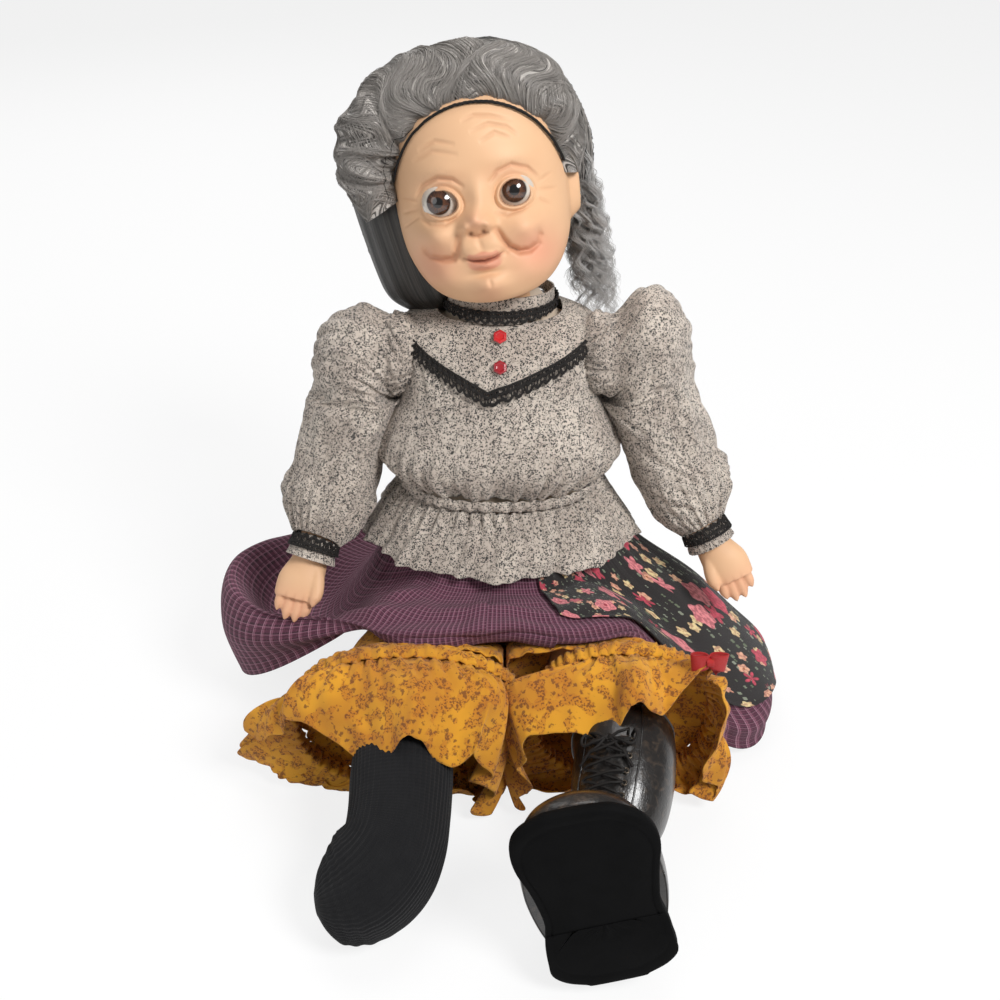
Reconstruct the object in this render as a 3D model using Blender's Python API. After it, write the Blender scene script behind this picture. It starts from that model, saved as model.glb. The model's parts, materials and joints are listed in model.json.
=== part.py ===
"""Seated grandmother doll: stuffed cloth body, vinyl head and limbs, wig, blouse, skirt,
apron, bloomers, one sock and one laced boot. Metres, +Z up. The doll faces -Y, and left
and right are its own, so its left is +X. The origin is on the floor under the seat."""

import math

import bmesh
import bpy
from mathutils import Matrix, Vector

MM = 0.001

# Gaps and cloth
CLEARANCE = 0.4 * MM
CLOTH = 1.2 * MM
THIN_CLOTH = 0.8 * MM
LACE = 0.6 * MM
CUT_OVERRUN = 3.0 * MM
FLOOR_GAP = 0.6 * MM

# Stuffed body
TORSO_HEIGHT = 188.0 * MM
TORSO_WIDTH = 92.0 * MM
TORSO_DEPTH = 70.0 * MM
SEAT_WIDTH = 31.0 * MM
SEAT_GAP = 0.7 * MM

# Joints
SHOULDER_HEIGHT = 172.0 * MM
SHOULDER_BACK = 17.0 * MM
SHOULDER_HALF_WIDTH = 38.5 * MM
HIP_HEIGHT = 38.0 * MM
HIP_HALF_WIDTH = SEAT_WIDTH / 2
PIN_RADIUS = 2.0 * MM
PIN_DISC_RADIUS = 7.0 * MM
PIN_DISC_THICKNESS = 2.0 * MM
PIN_REACH = 6.0 * MM
WASHER_RADIUS = 10.0 * MM
WASHER_THICKNESS = 1.2 * MM

# Head, in its own tilted frame
HEAD_CENTRE = Vector((-8.5 * MM, 40.0 * MM, 240.0 * MM))
HEAD_TILT_BACK = math.radians(19.5)
HEAD_ROLL = math.radians(9.3)
HEAD_WIDTH = 71.0 * MM
HEAD_DEPTH = 84.0 * MM
HEAD_HEIGHT = 96.0 * MM
HEAD_WALL = 2.5 * MM
NECK_RADIUS = 13.0 * MM
NECK_DEPTH = 62.0 * MM
NECK_WALL = 3.0 * MM
NECK_BACK = 6.0 * MM
NECK_TIE = 0.7 * MM
NECK_TIE_GAP = 0.5 * MM
NECK_TIE_WIDTH = 1.5 * MM
EYE_RADIUS = 8.5 * MM
EYE_SPACING = 28.0 * MM
EYE_HEIGHT = -8.0 * MM
FACE_SHIFT = -1.3 * MM
WIG_CAP = 1.0 * MM
HAIR_ROLL_RADIUS = 13.0 * MM
ELASTIC_RADIUS = 0.9 * MM

# Blouse
BLOUSE_LENGTH = 67.0 * MM
WAIST_HEIGHT = 121.0 * MM
BUST_HALF_WIDTH = 52.5 * MM
BUST_HALF_DEPTH = 35.0 * MM
COLLAR_HEIGHT = 10.0 * MM
COLLAR_BACK_HEIGHT = 3.0 * MM
LACE_WIDTH = 7.0 * MM
BUTTON_RADIUS = 3.0 * MM
BUTTON_THICKNESS = 1.6 * MM
PEPLUM_LENGTH = 23.6 * MM
PEPLUM_FLARE = 18.5 * MM
PEPLUM_DEPTH_FLARE = 13.0 * MM
CASING_HEIGHT = 5.0 * MM
ARMHOLE_RADIUS = 15.0 * MM
SLEEVE_RADIUS = 17.0 * MM
CUFF_RADIUS = 9.4 * MM
CUFF_LENGTH = 12.0 * MM
ARM_RADIUS = 11.0 * MM
ARM_LENGTH = 112.0 * MM

# Skirt, apron and bloomers
SKIRT_REACH = 130.0 * MM
SKIRT_WAIST_HEIGHT = 117.0 * MM
BLOOMER_RISE = 102.0 * MM
BAND_WIDTH = 5.0 * MM
RUFFLE_DEPTH = 40.0 * MM
RUFFLE_WAVE = 4.0 * MM

# Legs, sock and boot
LEG_REACH = 150.0 * MM
THIGH_RADIUS = 26.0 * MM
LEG_OFFSET = 36.0 * MM
SOCK = 1.2 * MM
BOOT_LENGTH = 75.0 * MM
BOOT_WIDTH = 54.0 * MM
SOLE_THICKNESS = 5.0 * MM
HEEL_THICKNESS = 2.4 * MM
BOOT_WALL = 2.0 * MM
BOOT_FIT = 1.2 * MM
LACE_CORD_RADIUS = 0.8 * MM
BOW_WIDTH = 14.0 * MM

# How finely the forms are divided
COARSE = 10
ROUND = 16
FINE = 20


def clear_scene():
    for obj in list(bpy.data.objects):
        bpy.data.objects.remove(obj, do_unlink=True)


def material(name, colour, roughness=0.7, metallic=0.0):
    made = bpy.data.materials.new(name)
    made.use_nodes = True
    shader = made.node_tree.nodes["Principled BSDF"]
    shader.inputs["Base Color"].default_value = (*colour, 1.0)
    shader.inputs["Roughness"].default_value = roughness
    shader.inputs["Metallic"].default_value = metallic
    made.diffuse_color = (*colour, 1.0)
    return made


def smooth_step(value):
    value = min(max(value, 0.0), 1.0)
    return value * value * (3.0 - 2.0 * value)


def bump(value, centre, width):
    """A smooth hill of height 1 at centre that fades out over width."""
    return math.exp(-((value - centre) / width) ** 2)


def along(table, place):
    """Read a table of rows smoothly, with place running from 0 to 1 over its rows."""
    last = len(table) - 1
    spot = min(max(place, 0.0), 1.0) * last
    index = min(int(spot), last - 1)
    t = spot - index
    rows = [table[min(max(index + step, 0), last)] for step in (-1, 0, 1, 2)]
    values = []
    for a, b, c, d in zip(*rows):
        bend = (2.0 * a - 5.0 * b + 4.0 * c - d) * t + (3.0 * b - a - 3.0 * c + d) * t * t
        values.append(b + 0.5 * t * (c - a + bend))
    return values


def around(table, turn):
    """Read a closed table of rows smoothly, with turn running from 0 to 1 round it."""
    count = len(table)
    spot = (turn % 1.0) * count
    index = int(spot) % count
    t = smooth_step(spot - int(spot))
    return [a + (b - a) * t for a, b in zip(table[index], table[(index + 1) % count])]


def oval(centre, across, up, half_across, half_up, count, square=2.0):
    """One closed ring: an ellipse, or a squarer oval where square is over 2."""
    ring = []
    for index in range(count):
        angle = 2.0 * math.pi * index / count
        c, s = math.cos(angle), math.sin(angle)
        share = 2.0 / square
        x = math.copysign(abs(c) ** share, c) * half_across
        y = math.copysign(abs(s) ** share, s) * half_up
        ring.append(centre + across * x + up * y)
    return ring


def finish(name, mesh_data, colour, smooth=True):
    mesh_data.normal_update()
    bmesh.ops.recalc_face_normals(mesh_data, faces=mesh_data.faces)
    if mesh_data.calc_volume(signed=True) < 0.0:
        bmesh.ops.reverse_faces(mesh_data, faces=mesh_data.faces)
    mesh = bpy.data.meshes.new(name)
    mesh_data.to_mesh(mesh)
    mesh_data.free()
    if smooth:
        mesh.shade_smooth()
    obj = bpy.data.objects.new(name, mesh)
    bpy.context.scene.collection.objects.link(obj)
    obj.data.materials.append(colour)
    return obj


def bridge(mesh_data, low, high):
    count = len(low)
    for index in range(count):
        after = (index + 1) % count
        mesh_data.faces.new((low[index], low[after], high[after]))
        mesh_data.faces.new((low[index], high[after], high[index]))


def loft(name, rings, colour, smooth=True):
    """A closed solid through rings of equal count, with flat ends."""
    mesh_data = bmesh.new()
    loops = [[mesh_data.verts.new(point) for point in ring] for ring in rings]
    for low, high in zip(loops, loops[1:]):
        bridge(mesh_data, low, high)
    mesh_data.faces.new(loops[0])
    mesh_data.faces.new(loops[-1])
    return finish(name, mesh_data, colour, smooth)


def cloth_tube(name, rings, inner_rings, colour, closed_end=False):
    """A tube of cloth with a wall: outer rings, inner rings, and a rim at each open end."""
    mesh_data = bmesh.new()
    outer = [[mesh_data.verts.new(point) for point in ring] for ring in rings]
    inner = [[mesh_data.verts.new(point) for point in ring] for ring in inner_rings]
    for loops in (outer, inner):
        for low, high in zip(loops, loops[1:]):
            bridge(mesh_data, low, high)
    bridge(mesh_data, outer[0], inner[0])
    if closed_end:
        mesh_data.faces.new(outer[-1])
        mesh_data.faces.new(inner[-1])
    else:
        bridge(mesh_data, outer[-1], inner[-1])
    return finish(name, mesh_data, colour)


def sheet(name, point_at, columns, rows, thickness, colour):
    """An open sheet: point_at(u, v) gives its outer face, and it thickens inwards."""
    step = 0.5 / max(columns, rows)
    mesh_data = bmesh.new()
    faces = [[], []]
    for row in range(rows + 1):
        lines = [[], []]
        for column in range(columns + 1):
            u, v = column / columns, row / rows
            point = point_at(u, v)
            side = point_at(min(u + step, 1.0), v) - point_at(max(u - step, 0.0), v)
            rise = point_at(u, min(v + step, 1.0)) - point_at(u, max(v - step, 0.0))
            inward = side.cross(rise).normalized() * thickness
            lines[0].append(mesh_data.verts.new(point))
            lines[1].append(mesh_data.verts.new(point + inward))
        faces[0].append(lines[0])
        faces[1].append(lines[1])
    for side in faces:
        for row in range(rows):
            for column in range(columns):
                low, high = side[row], side[row + 1]
                mesh_data.faces.new((low[column], low[column + 1], high[column + 1]))
                mesh_data.faces.new((low[column], high[column + 1], high[column]))
    edges = [(faces[0][0], faces[1][0]), (faces[0][-1], faces[1][-1])]
    edges.append(([line[0] for line in faces[0]], [line[0] for line in faces[1]]))
    edges.append(([line[-1] for line in faces[0]], [line[-1] for line in faces[1]]))
    for front, back in edges:
        for index in range(len(front) - 1):
            mesh_data.faces.new((front[index], front[index + 1], back[index + 1]))
            mesh_data.faces.new((front[index], back[index + 1], back[index]))
    return finish(name, mesh_data, colour)


def wrapped_sheet(name, point_at, columns, rows, thickness, colour, flip=False):
    """A sheet closed round u, with a wall thickened along its own normals."""
    outer, inner = [], []
    step_u, step_v = 0.5 / columns, 0.5 / rows
    for row in range(rows + 1):
        v = row / rows
        ring, wall = [], []
        for column in range(columns):
            u = column / columns
            point = point_at(u, v)
            side = point_at(u + step_u, v) - point_at(u - step_u, v)
            rise = point_at(u, min(v + step_v, 1.0)) - point_at(u, max(v - step_v, 0.0))
            inward = side.cross(rise).normalized() * thickness
            ring.append(point)
            wall.append(point - inward if flip else point + inward)
        outer.append(ring)
        inner.append(wall)
    return cloth_tube(name, outer, inner, colour)


def swept(name, points, radius_at, colour, sides=8, flat=1.0):
    """A closed tube along points, its radius from radius_at(0..1)."""
    rings = []
    count = len(points)
    across = None
    for index, point in enumerate(points):
        ahead = points[min(index + 1, count - 1)] - points[max(index - 1, 0)]
        ahead.normalize()
        if across is None:
            guide = Vector((0.0, 0.0, 1.0)) if abs(ahead.z) < 0.9 else Vector((1.0, 0.0, 0.0))
            across = ahead.cross(guide).normalized()
        across = (across - ahead * across.dot(ahead)).normalized()
        up = ahead.cross(across)
        radius = radius_at(index / (count - 1))
        rings.append(oval(point, across, up, radius, radius * flat, sides))
    return loft(name, rings, colour)


def turned(name, profile, centre, axis, colour, sides=ROUND):
    """A closed turned solid: profile holds (distance along axis, radius) pairs."""
    guide = Vector((0.0, 0.0, 1.0)) if abs(axis.z) < 0.9 else Vector((1.0, 0.0, 0.0))
    across = axis.cross(guide).normalized()
    up = axis.cross(across)
    rings = [oval(centre + axis * far, across, up, radius, radius, sides) for far, radius in profile]
    return loft(name, rings, colour)


def ring_solid(name, centre, axis, inner_radius, outer_radius, thickness, colour, sides=ROUND):
    """A flat ring, such as a washer, from centre along axis."""
    guide = Vector((0.0, 0.0, 1.0)) if abs(axis.z) < 0.9 else Vector((1.0, 0.0, 0.0))
    across = axis.cross(guide).normalized()
    up = axis.cross(across)
    far = centre + axis * thickness
    outer = [oval(place, across, up, outer_radius, outer_radius, sides) for place in (centre, far)]
    inner = [oval(place, across, up, inner_radius, inner_radius, sides) for place in (centre, far)]
    return cloth_tube(name, outer, inner, colour)


def cut(obj, cutter, keep_cutter=False):
    """Take the cutter's shape out of obj, for good, and drop the cutter."""
    modifier = obj.modifiers.new("cut_" + cutter.name, "BOOLEAN")
    modifier.operation = "DIFFERENCE"
    modifier.solver = "EXACT"
    modifier.object = cutter
    bpy.context.view_layer.update()
    graph = bpy.context.evaluated_depsgraph_get()
    mesh = bpy.data.meshes.new_from_object(obj.evaluated_get(graph))
    obj.modifiers.clear()
    old = obj.data
    obj.data = mesh
    bpy.data.meshes.remove(old)
    if not keep_cutter:
        bpy.data.objects.remove(cutter, do_unlink=True)


X_AXIS = Vector((1.0, 0.0, 0.0))
Y_AXIS = Vector((0.0, 1.0, 0.0))
Z_AXIS = Vector((0.0, 0.0, 1.0))
SIDES = (("left", 1.0), ("right", -1.0))

# Rows of the stuffed body from the seat up: height, centre, half width and half depth,
# as shares of the torso's height, depth, width and depth
BODY_SHARES = (
    (0.012, 0.02, 0.155, 0.42),
    (0.140, 0.02, 0.168, 0.46),
    (0.330, 0.02, 0.168, 0.46),
    (0.420, 0.06, 0.360, 0.46),
    (0.520, 0.10, 0.385, 0.39),
    (0.640, 0.15, 0.400, 0.36),
    (0.740, 0.19, 0.450, 0.40),
    (0.850, 0.24, 0.420, 0.34),
    (0.925, 0.26, 0.414, 0.27),
    (0.970, 0.34, 0.360, 0.220),
    (0.990, 0.385, 0.215, 0.215),
    (0.998, 0.42, 0.197, 0.228),
    (1.022, 0.42, 0.197, 0.228),
)


def body_ring(row, spare):
    """One ring of the stuffed body, grown outwards by spare."""
    height, centre, half_width, half_depth = row
    place = Vector((0.0, centre * TORSO_DEPTH, height * TORSO_HEIGHT))
    return oval(place, X_AXIS, Y_AXIS, half_width * TORSO_WIDTH + spare,
                half_depth * TORSO_DEPTH + spare, FINE, 2.4)


def shoulder(side):
    return Vector((side * SHOULDER_HALF_WIDTH, SHOULDER_BACK, SHOULDER_HEIGHT))


def hip(side):
    return Vector((side * HIP_HALF_WIDTH, 0.0, HIP_HEIGHT))


JOINT_GAP = WASHER_THICKNESS + 2 * CLEARANCE


def pin_profile(spare):
    """A pin with a disc at each end: one disc in the body, the other in the limb."""
    inner = -PIN_REACH - PIN_DISC_THICKNESS
    outer = JOINT_GAP + PIN_REACH + PIN_DISC_THICKNESS
    stem = PIN_RADIUS + spare
    disc = PIN_DISC_RADIUS + spare
    return ((inner - spare, disc), (-PIN_REACH + spare, disc), (-PIN_REACH + spare, stem),
            (outer - PIN_DISC_THICKNESS - spare, stem),
            (outer - PIN_DISC_THICKNESS - spare, disc), (outer + spare, disc))


def pin_cutter(centre, side):
    return turned("pin_space", pin_profile(CLEARANCE), centre, X_AXIS * side, None, COARSE)


def pinned_joint(word, end, side, centre, plastic):
    """The two-disc pin of a limb and its washer, on an axis across the body."""
    turned(word + "_pin_" + end, pin_profile(0.0), centre, X_AXIS * side, plastic, COARSE)
    start = centre + X_AXIS * side * CLEARANCE
    ring_solid(word + "_washer_" + end, start, X_AXIS * side, PIN_RADIUS + CLEARANCE,
               WASHER_RADIUS, WASHER_THICKNESS, plastic, COARSE)


def neck_frame():
    """The head's own axes: across to its left, back, and up along the neck."""
    turn = Matrix.Rotation(-HEAD_TILT_BACK, 3, "X") @ Matrix.Rotation(-HEAD_ROLL, 3, "Y")
    return turn @ X_AXIS, turn @ Y_AXIS, turn @ Z_AXIS


def in_head(across, forward, up):
    """A place given in the head's own frame."""
    side, rear, top = neck_frame()
    return HEAD_CENTRE + side * across - rear * forward + top * up


def make_body(cloth, plastic):
    body = loft("cloth_body", [body_ring(row, 0.0) for row in BODY_SHARES], cloth)
    for end, side in SIDES:
        cut(body, pin_cutter(shoulder(side), side))
        cut(body, pin_cutter(hip(side), side))
    top = neck_frame()[2]
    socket = turned("neck_socket", ((-NECK_DEPTH - CUT_OVERRUN, NECK_RADIUS + CLEARANCE),
                                    (0.0, NECK_RADIUS + CLEARANCE)), neck_base(), top, None)
    cut(body, socket)
    for end, side in SIDES:
        pinned_joint("shoulder", end, side, shoulder(side), plastic)
        pinned_joint("hip", end, side, hip(side), plastic)


# Rows of the blouse's body from the waist to the neck: height above the waist, centre,
# half width and half depth, as shares of its length, bust depth, bust width and bust depth
BLOUSE_SHARES = (
    (0.00, 0.31, 0.80, 0.87),
    (0.15, 0.34, 0.98, 1.00),
    (0.33, 0.40, 0.93, 0.98),
    (0.51, 0.48, 0.80, 0.86),
    (0.67, 0.52, 0.78, 0.77),
    (0.82, 0.60, 0.82, 0.66),
    (0.94, 0.74, 0.76, 0.56),
    (1.00, 0.83, 0.50, 0.54),
)


def blouse_point(turn, rise, spare=0.0):
    """The blouse's face at a turn (0 is the front, 0.25 its left side) and a rise."""
    height, centre, half_width, half_depth = along(BLOUSE_SHARES, rise)
    angle = 2.0 * math.pi * turn
    share = 2.0 / 2.4
    c, s = math.cos(angle), math.sin(angle)
    x = math.copysign(abs(s) ** share, s) * (half_width * BUST_HALF_WIDTH + spare)
    y = -math.copysign(abs(c) ** share, c) * (half_depth * BUST_HALF_DEPTH + spare)
    return Vector((x, centre * BUST_HALF_DEPTH + y, WAIST_HEIGHT + height * BLOUSE_LENGTH))


# The yoke's lower edge from its right end to the point and up to its left end, as shares
# of the turn round the blouse and of its rise
YOKE_EDGE_SHARES = ((-0.16, 0.79), (-0.08, 0.70), (0.0, 0.53), (0.08, 0.70), (0.16, 0.79))
YOKE_TOP_SHARE = 0.93
BUTTON_RISE_SHARES = (0.86, 0.70)


def yoke_edge(u):
    return along(YOKE_EDGE_SHARES, u)


def make_blouse(cloth, lace, red):
    def shell(turn, rise):
        return blouse_point(-turn, rise)
    bodice = wrapped_sheet("bodice", shell, FINE, 7, CLOTH, cloth)
    reach = BUST_HALF_WIDTH + CUT_OVERRUN
    for end, side in SIDES:
        start = Vector((0.0, SHOULDER_BACK, SHOULDER_HEIGHT))
        profile = ((BUST_HALF_WIDTH / 2, ARMHOLE_RADIUS), (reach, ARMHOLE_RADIUS))
        cut(bodice, turned("armhole", profile, start, X_AXIS * side, None))

    def yoke_point(u, v):
        turn, low = yoke_edge(u)
        return blouse_point(turn, low + (YOKE_TOP_SHARE - low) * v, CLEARANCE + THIN_CLOTH)

    def lace_point(u, v):
        turn, low = yoke_edge(u)
        drop = LACE_WIDTH / BLOUSE_LENGTH
        spare = 4 * CLEARANCE + THIN_CLOTH + LACE
        return blouse_point(turn, low + drop * (v - 0.5), spare)
    sheet("yoke", yoke_point, 14, 5, THIN_CLOTH, cloth)
    sheet("yoke_lace", lace_point, 20, 1, LACE, lace)
    for word, rise in zip(("button_upper", "button_lower"), BUTTON_RISE_SHARES):
        place = blouse_point(0.0, rise, 2 * CLEARANCE + THIN_CLOTH)
        out = (blouse_point(0.02, rise) - blouse_point(-0.02, rise)).cross(
            blouse_point(0.0, rise + 0.02) - blouse_point(0.0, rise - 0.02)).normalized()
        seat = place + out * BUTTON_SEAT
        profile = ((0.0, BUTTON_RADIUS), (BUTTON_THICKNESS, BUTTON_RADIUS * 0.8))
        turned(word, profile, seat, out, red, 6)


BUTTON_SEAT = 0.9 * MM

# The collar: its radius, and how far its foot stands before the blouse's neck
COLLAR_RADIUS = 23.0 * MM
COLLAR_BACK = 31.0 * MM
COLLAR_FOOT = WAIST_HEIGHT + BLOUSE_LENGTH + CLEARANCE


def collar_point(turn, rise, spare=0.0):
    """The stand collar: highest in front, and low behind under the hair."""
    angle = -2.0 * math.pi * turn
    radius = COLLAR_RADIUS + spare
    front = 0.5 + 0.5 * math.cos(angle)
    height = rise * (COLLAR_BACK_HEIGHT + (COLLAR_HEIGHT - COLLAR_BACK_HEIGHT) * front)
    lean = height * math.tan(HEAD_TILT_BACK)
    return Vector((radius * math.sin(angle), COLLAR_BACK + lean - radius * math.cos(angle),
                   COLLAR_FOOT + height))


def make_collar(cloth, lace):
    wrapped_sheet("collar", collar_point, 20, 2, CLOTH, cloth)

    def lace_point(turn, rise):
        return collar_point(turn, rise / 2, LACE + 2 * CLEARANCE)
    wrapped_sheet("collar_lace", lace_point, 20, 1, LACE, lace)


PEPLUM_WAVES = 9
PEPLUM_WAVE = 1.6 * MM
PEPLUM_CENTRE = 10.0 * MM
PEPLUM_FORWARD = 3.0 * MM


def peplum_point(turn, drop):
    """The peplum from the gathered waist at drop 0 to its hem at drop 1."""
    angle = -2.0 * math.pi * turn
    wave = PEPLUM_WAVE * drop * math.cos(PEPLUM_WAVES * angle)
    spread = drop ** 0.8
    across = BLOUSE_SHARES[0][2] * BUST_HALF_WIDTH + PEPLUM_FLARE * spread + wave
    depth = BLOUSE_SHARES[0][3] * BUST_HALF_DEPTH + PEPLUM_DEPTH_FLARE * spread + wave
    centre = PEPLUM_CENTRE - PEPLUM_FORWARD * drop
    return Vector((across * math.sin(angle), centre - depth * math.cos(angle),
                   WAIST_HEIGHT - CASING_HEIGHT - 2 * CLEARANCE - PEPLUM_LENGTH * drop))


def make_peplum(cloth, plain):
    wrapped_sheet("peplum", peplum_point, 36, 3, CLOTH, cloth, flip=True)

    def casing_point(turn, rise):
        point = blouse_point(-turn, 0.0, THIN_CLOTH)
        point.z -= CLEARANCE + CASING_HEIGHT * (1.0 - rise)
        return point
    wrapped_sheet("waist_casing", casing_point, FINE, 1, CLOTH, plain)


def make_seat_cover(cloth):
    """The seat of the bloomers: a cloth shell on the body, flat under the seat."""
    rows = [row for row in BODY_SHARES if row[0] * TORSO_HEIGHT < BLOOMER_RISE]
    outer = [body_ring(row, SEAT_GAP + CLOTH)[::-1] for row in reversed(rows)]
    inner = [body_ring(row, SEAT_GAP)[::-1] for row in reversed(rows)]
    for point in outer[-1]:
        point.z = 0.0
    for point in inner[-1]:
        point.z = CLOTH
    return cloth_tube("bloomers_seat", outer, inner, cloth, closed_end=True)


def neck_base():
    """The point of the neck's axis that is level with the head's centre."""
    return in_head(0.0, -NECK_BACK, 0.0)


def make_neck_tie(plastic):
    low = list(BODY_SHARES[-1])
    low[0] -= 2 * NECK_TIE_WIDTH / TORSO_HEIGHT
    high = list(BODY_SHARES[-1])
    high[0] -= NECK_TIE_WIDTH / TORSO_HEIGHT
    rows = (low, high)
    outer = [body_ring(row, NECK_TIE_GAP + NECK_TIE) for row in rows]
    inner = [body_ring(row, NECK_TIE_GAP) for row in rows]
    cloth_tube("neck_tie", outer, inner, plastic)


# The arm's stations from the shoulder's turn to the fingers: out to the side, forward and
# down, as shares of the arm's length, then half width and half thickness, as shares of the
# arm's radius
ARM_SHARES = (
    (0.00, 0.00, 0.00, 1.00, 1.00),
    (0.04, 0.05, 0.20, 0.95, 0.95),
    (0.07, 0.11, 0.42, 0.86, 0.88),
    (0.11, 0.20, 0.60, 0.80, 0.80),
    (0.15, 0.29, 0.72, 0.62, 0.66),
    (0.17, 0.33, 0.79, 0.72, 0.58),
    (0.20, 0.38, 0.86, 0.90, 0.55),
    (0.22, 0.42, 0.93, 0.86, 0.48),
    (0.23, 0.44, 0.98, 0.40, 0.28),
)
# How far each arm goes out, forward and down, as shares of the stations above
ARM_WAY_SHARES = {"left": (1.60, 0.65, 0.80), "right": (1.0, 1.0, 0.745)}
ARMPIT_GAP = 2.0 * MM
SLEEVE_ROOM = 3.5 * MM
ARMPIT_DROP = ARMPIT_GAP + SLEEVE_RADIUS
# The sleeve's swell over the shoulder, then along the arm: its place from the shoulder's
# turn to the cuff, its reach inwards, outwards and its half depth, as shares of its radius
PUFF_SHARES = {
    "left": ((0.97, 0.97, 0.97), (1.04, 1.72, 1.20), (1.00, 1.66, 1.30), (0.90, 1.40, 1.20),
             (0.86, 1.18, 1.08)),
    "right": ((0.97, 0.97, 0.97), (1.04, 1.20, 1.10), (1.00, 1.14, 1.20), (0.90, 1.04, 1.14),
              (0.86, 0.96, 1.06)),
}
SLEEVE_SHARES = (
    (0.86, 1.00, 1.07),
    (0.84, 1.02, 1.04),
    (0.90, 1.10, 1.06),
    (0.92, 1.16, 1.06),
    (0.58, 0.64, 0.70),
)


def armpit(side):
    start = SLEEVE_STARTS["left" if side > 0 else "right"]
    far = SHOULDER_HALF_WIDTH + JOINT_GAP + start
    return Vector((side * far, SHOULDER_BACK, SHOULDER_HEIGHT - ARMPIT_DROP))


SLEEVE_STARTS = {"left": 8.0 * MM, "right": 6.5 * MM}
# How far each sleeve turns down over the shoulder before it follows the arm
SLEEVE_TURNS = {"left": math.radians(66.0), "right": math.radians(82.0)}


def arm_place(end, side, place):
    """A point of the arm's middle line below the shoulder, with its direction."""
    def spot(t):
        out, forward, down = along([row[:3] for row in ARM_SHARES], t)
        turn = SLEEVE_TURNS[end]
        way = X_AXIS * side * math.sin(turn) + Z_AXIS * math.cos(turn)
        start = armpit(side) + way * (ARMPIT_GAP + SLEEVE_ROOM + ARM_RADIUS)
        spread, ahead, drop = ARM_WAY_SHARES[end]
        return start + Vector((side * out * spread, -forward * ahead, -down * drop)) * ARM_LENGTH
    step = 0.02
    ahead = (spot(min(place + step, 1.0)) - spot(max(place - step, 0.0))).normalized()
    across = (X_AXIS * side - ahead * (X_AXIS * side).dot(ahead)).normalized()
    return spot(place), across, ahead.cross(across) * -side


def shoulder_rings(end, side, gap, radius, swell, count, sides):
    """Rings that turn from the body's side down to the arm, about the armpit."""
    rings = []
    for index in range(count):
        t = index / (count - 1)
        inner, outer, depth = along(swell, t)
        angle = t * SLEEVE_TURNS[end]
        out = Z_AXIS * math.cos(angle) + X_AXIS * side * math.sin(angle)
        half = radius * (inner + outer) / 2
        shift = ARMPIT_GAP + gap + half
        rings.append(oval(armpit(side) + out * shift, out, Y_AXIS, half, radius * depth, sides))
    return rings


PLAIN_SHARES = ((1.18, 1.18, 1.18), (1.05, 1.05, 1.05), (1.0, 1.0, 1.0))


def make_arm(end, side, vinyl):
    """The vinyl arm: a flat disc at the shoulder, the bend, and down to a cupped hand."""
    rings = shoulder_rings(end, side, SLEEVE_ROOM, ARM_RADIUS, PLAIN_SHARES, 5, COARSE)
    disc = []
    reach = SHOULDER_HALF_WIDTH + JOINT_GAP
    for point in rings[0]:
        disc.append(Vector((side * reach, point.y, point.z)))
    rings.insert(0, disc)
    last = len(ARM_SHARES) - 1
    for index in range(1, last + 1):
        centre, across, depth = arm_place(end, side, index / last)
        width, thick = ARM_SHARES[index][3:]
        rings.append(oval(centre, across, depth, width * ARM_RADIUS, thick * ARM_RADIUS, COARSE))
    arm = loft("arm_" + end, rings, vinyl)
    cut(arm, pin_cutter(shoulder(side), side))


def sleeve_rings(end, side, spare, sides):
    """The sleeve's rings from the armhole to the cuff, grown by spare."""
    radius = SLEEVE_RADIUS
    rings = shoulder_rings(end, side, -spare, radius + spare, PUFF_SHARES[end], 6, sides)
    mouth = []
    reach = SHOULDER_HALF_WIDTH + JOINT_GAP + SLEEVE_MOUTH
    for point in rings[0]:
        mouth.append(Vector((side * reach, point.y, point.z)))
    rings.insert(0, mouth)
    steps = 6
    for index in range(1, steps + 1):
        t = index / steps
        centre, across, depth = arm_place(end, side, t * SLEEVE_END_SHARE)
        inner, outer, half = along(SLEEVE_SHARES, t)
        shift = radius * (outer - inner) / 2
        rings.append(oval(centre + across * shift, across, depth,
                          radius * (inner + outer) / 2 + spare, radius * half + spare, sides))
    return rings


SLEEVE_MOUTH = 3.4 * MM
SLEEVE_END_SHARE = 0.47
CUFF_END_SHARE = 0.60


def make_sleeve(end, side, cloth, lace):
    outer = sleeve_rings(end, side, 0.0, COARSE)
    inner = sleeve_rings(end, side, -CLOTH, COARSE)
    cloth_tube("sleeve_" + end, outer, inner, cloth)

    def cuff_rings(start, finish_at, spare, grow):
        rings = []
        for t in (start, finish_at):
            centre, across, depth = arm_place(end, side, t)
            half = CUFF_RADIUS + spare + grow * (t - start)
            rings.append(oval(centre, across, depth, half, half, ROUND))
        return rings
    start = SLEEVE_END_SHARE + CUFF_START_SHARE
    flare = CUFF_RADIUS * CUFF_FLARE_SHARE / (CUFF_END_SHARE - start)
    cloth_tube("cuff_" + end, cuff_rings(start, CUFF_END_SHARE, 0.0, flare),
               cuff_rings(start, CUFF_END_SHARE, -CLOTH, flare), cloth)
    spare = CLEARANCE + LACE
    trim = start + (CUFF_END_SHARE - start) * CUFF_LACE_SHARE
    cloth_tube("cuff_lace_" + end, cuff_rings(start, trim, spare, flare),
               cuff_rings(start, trim, CLEARANCE, flare), lace)


CUFF_START_SHARE = 0.005
CUFF_FLARE_SHARE = 0.15
CUFF_LACE_SHARE = 0.45


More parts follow.
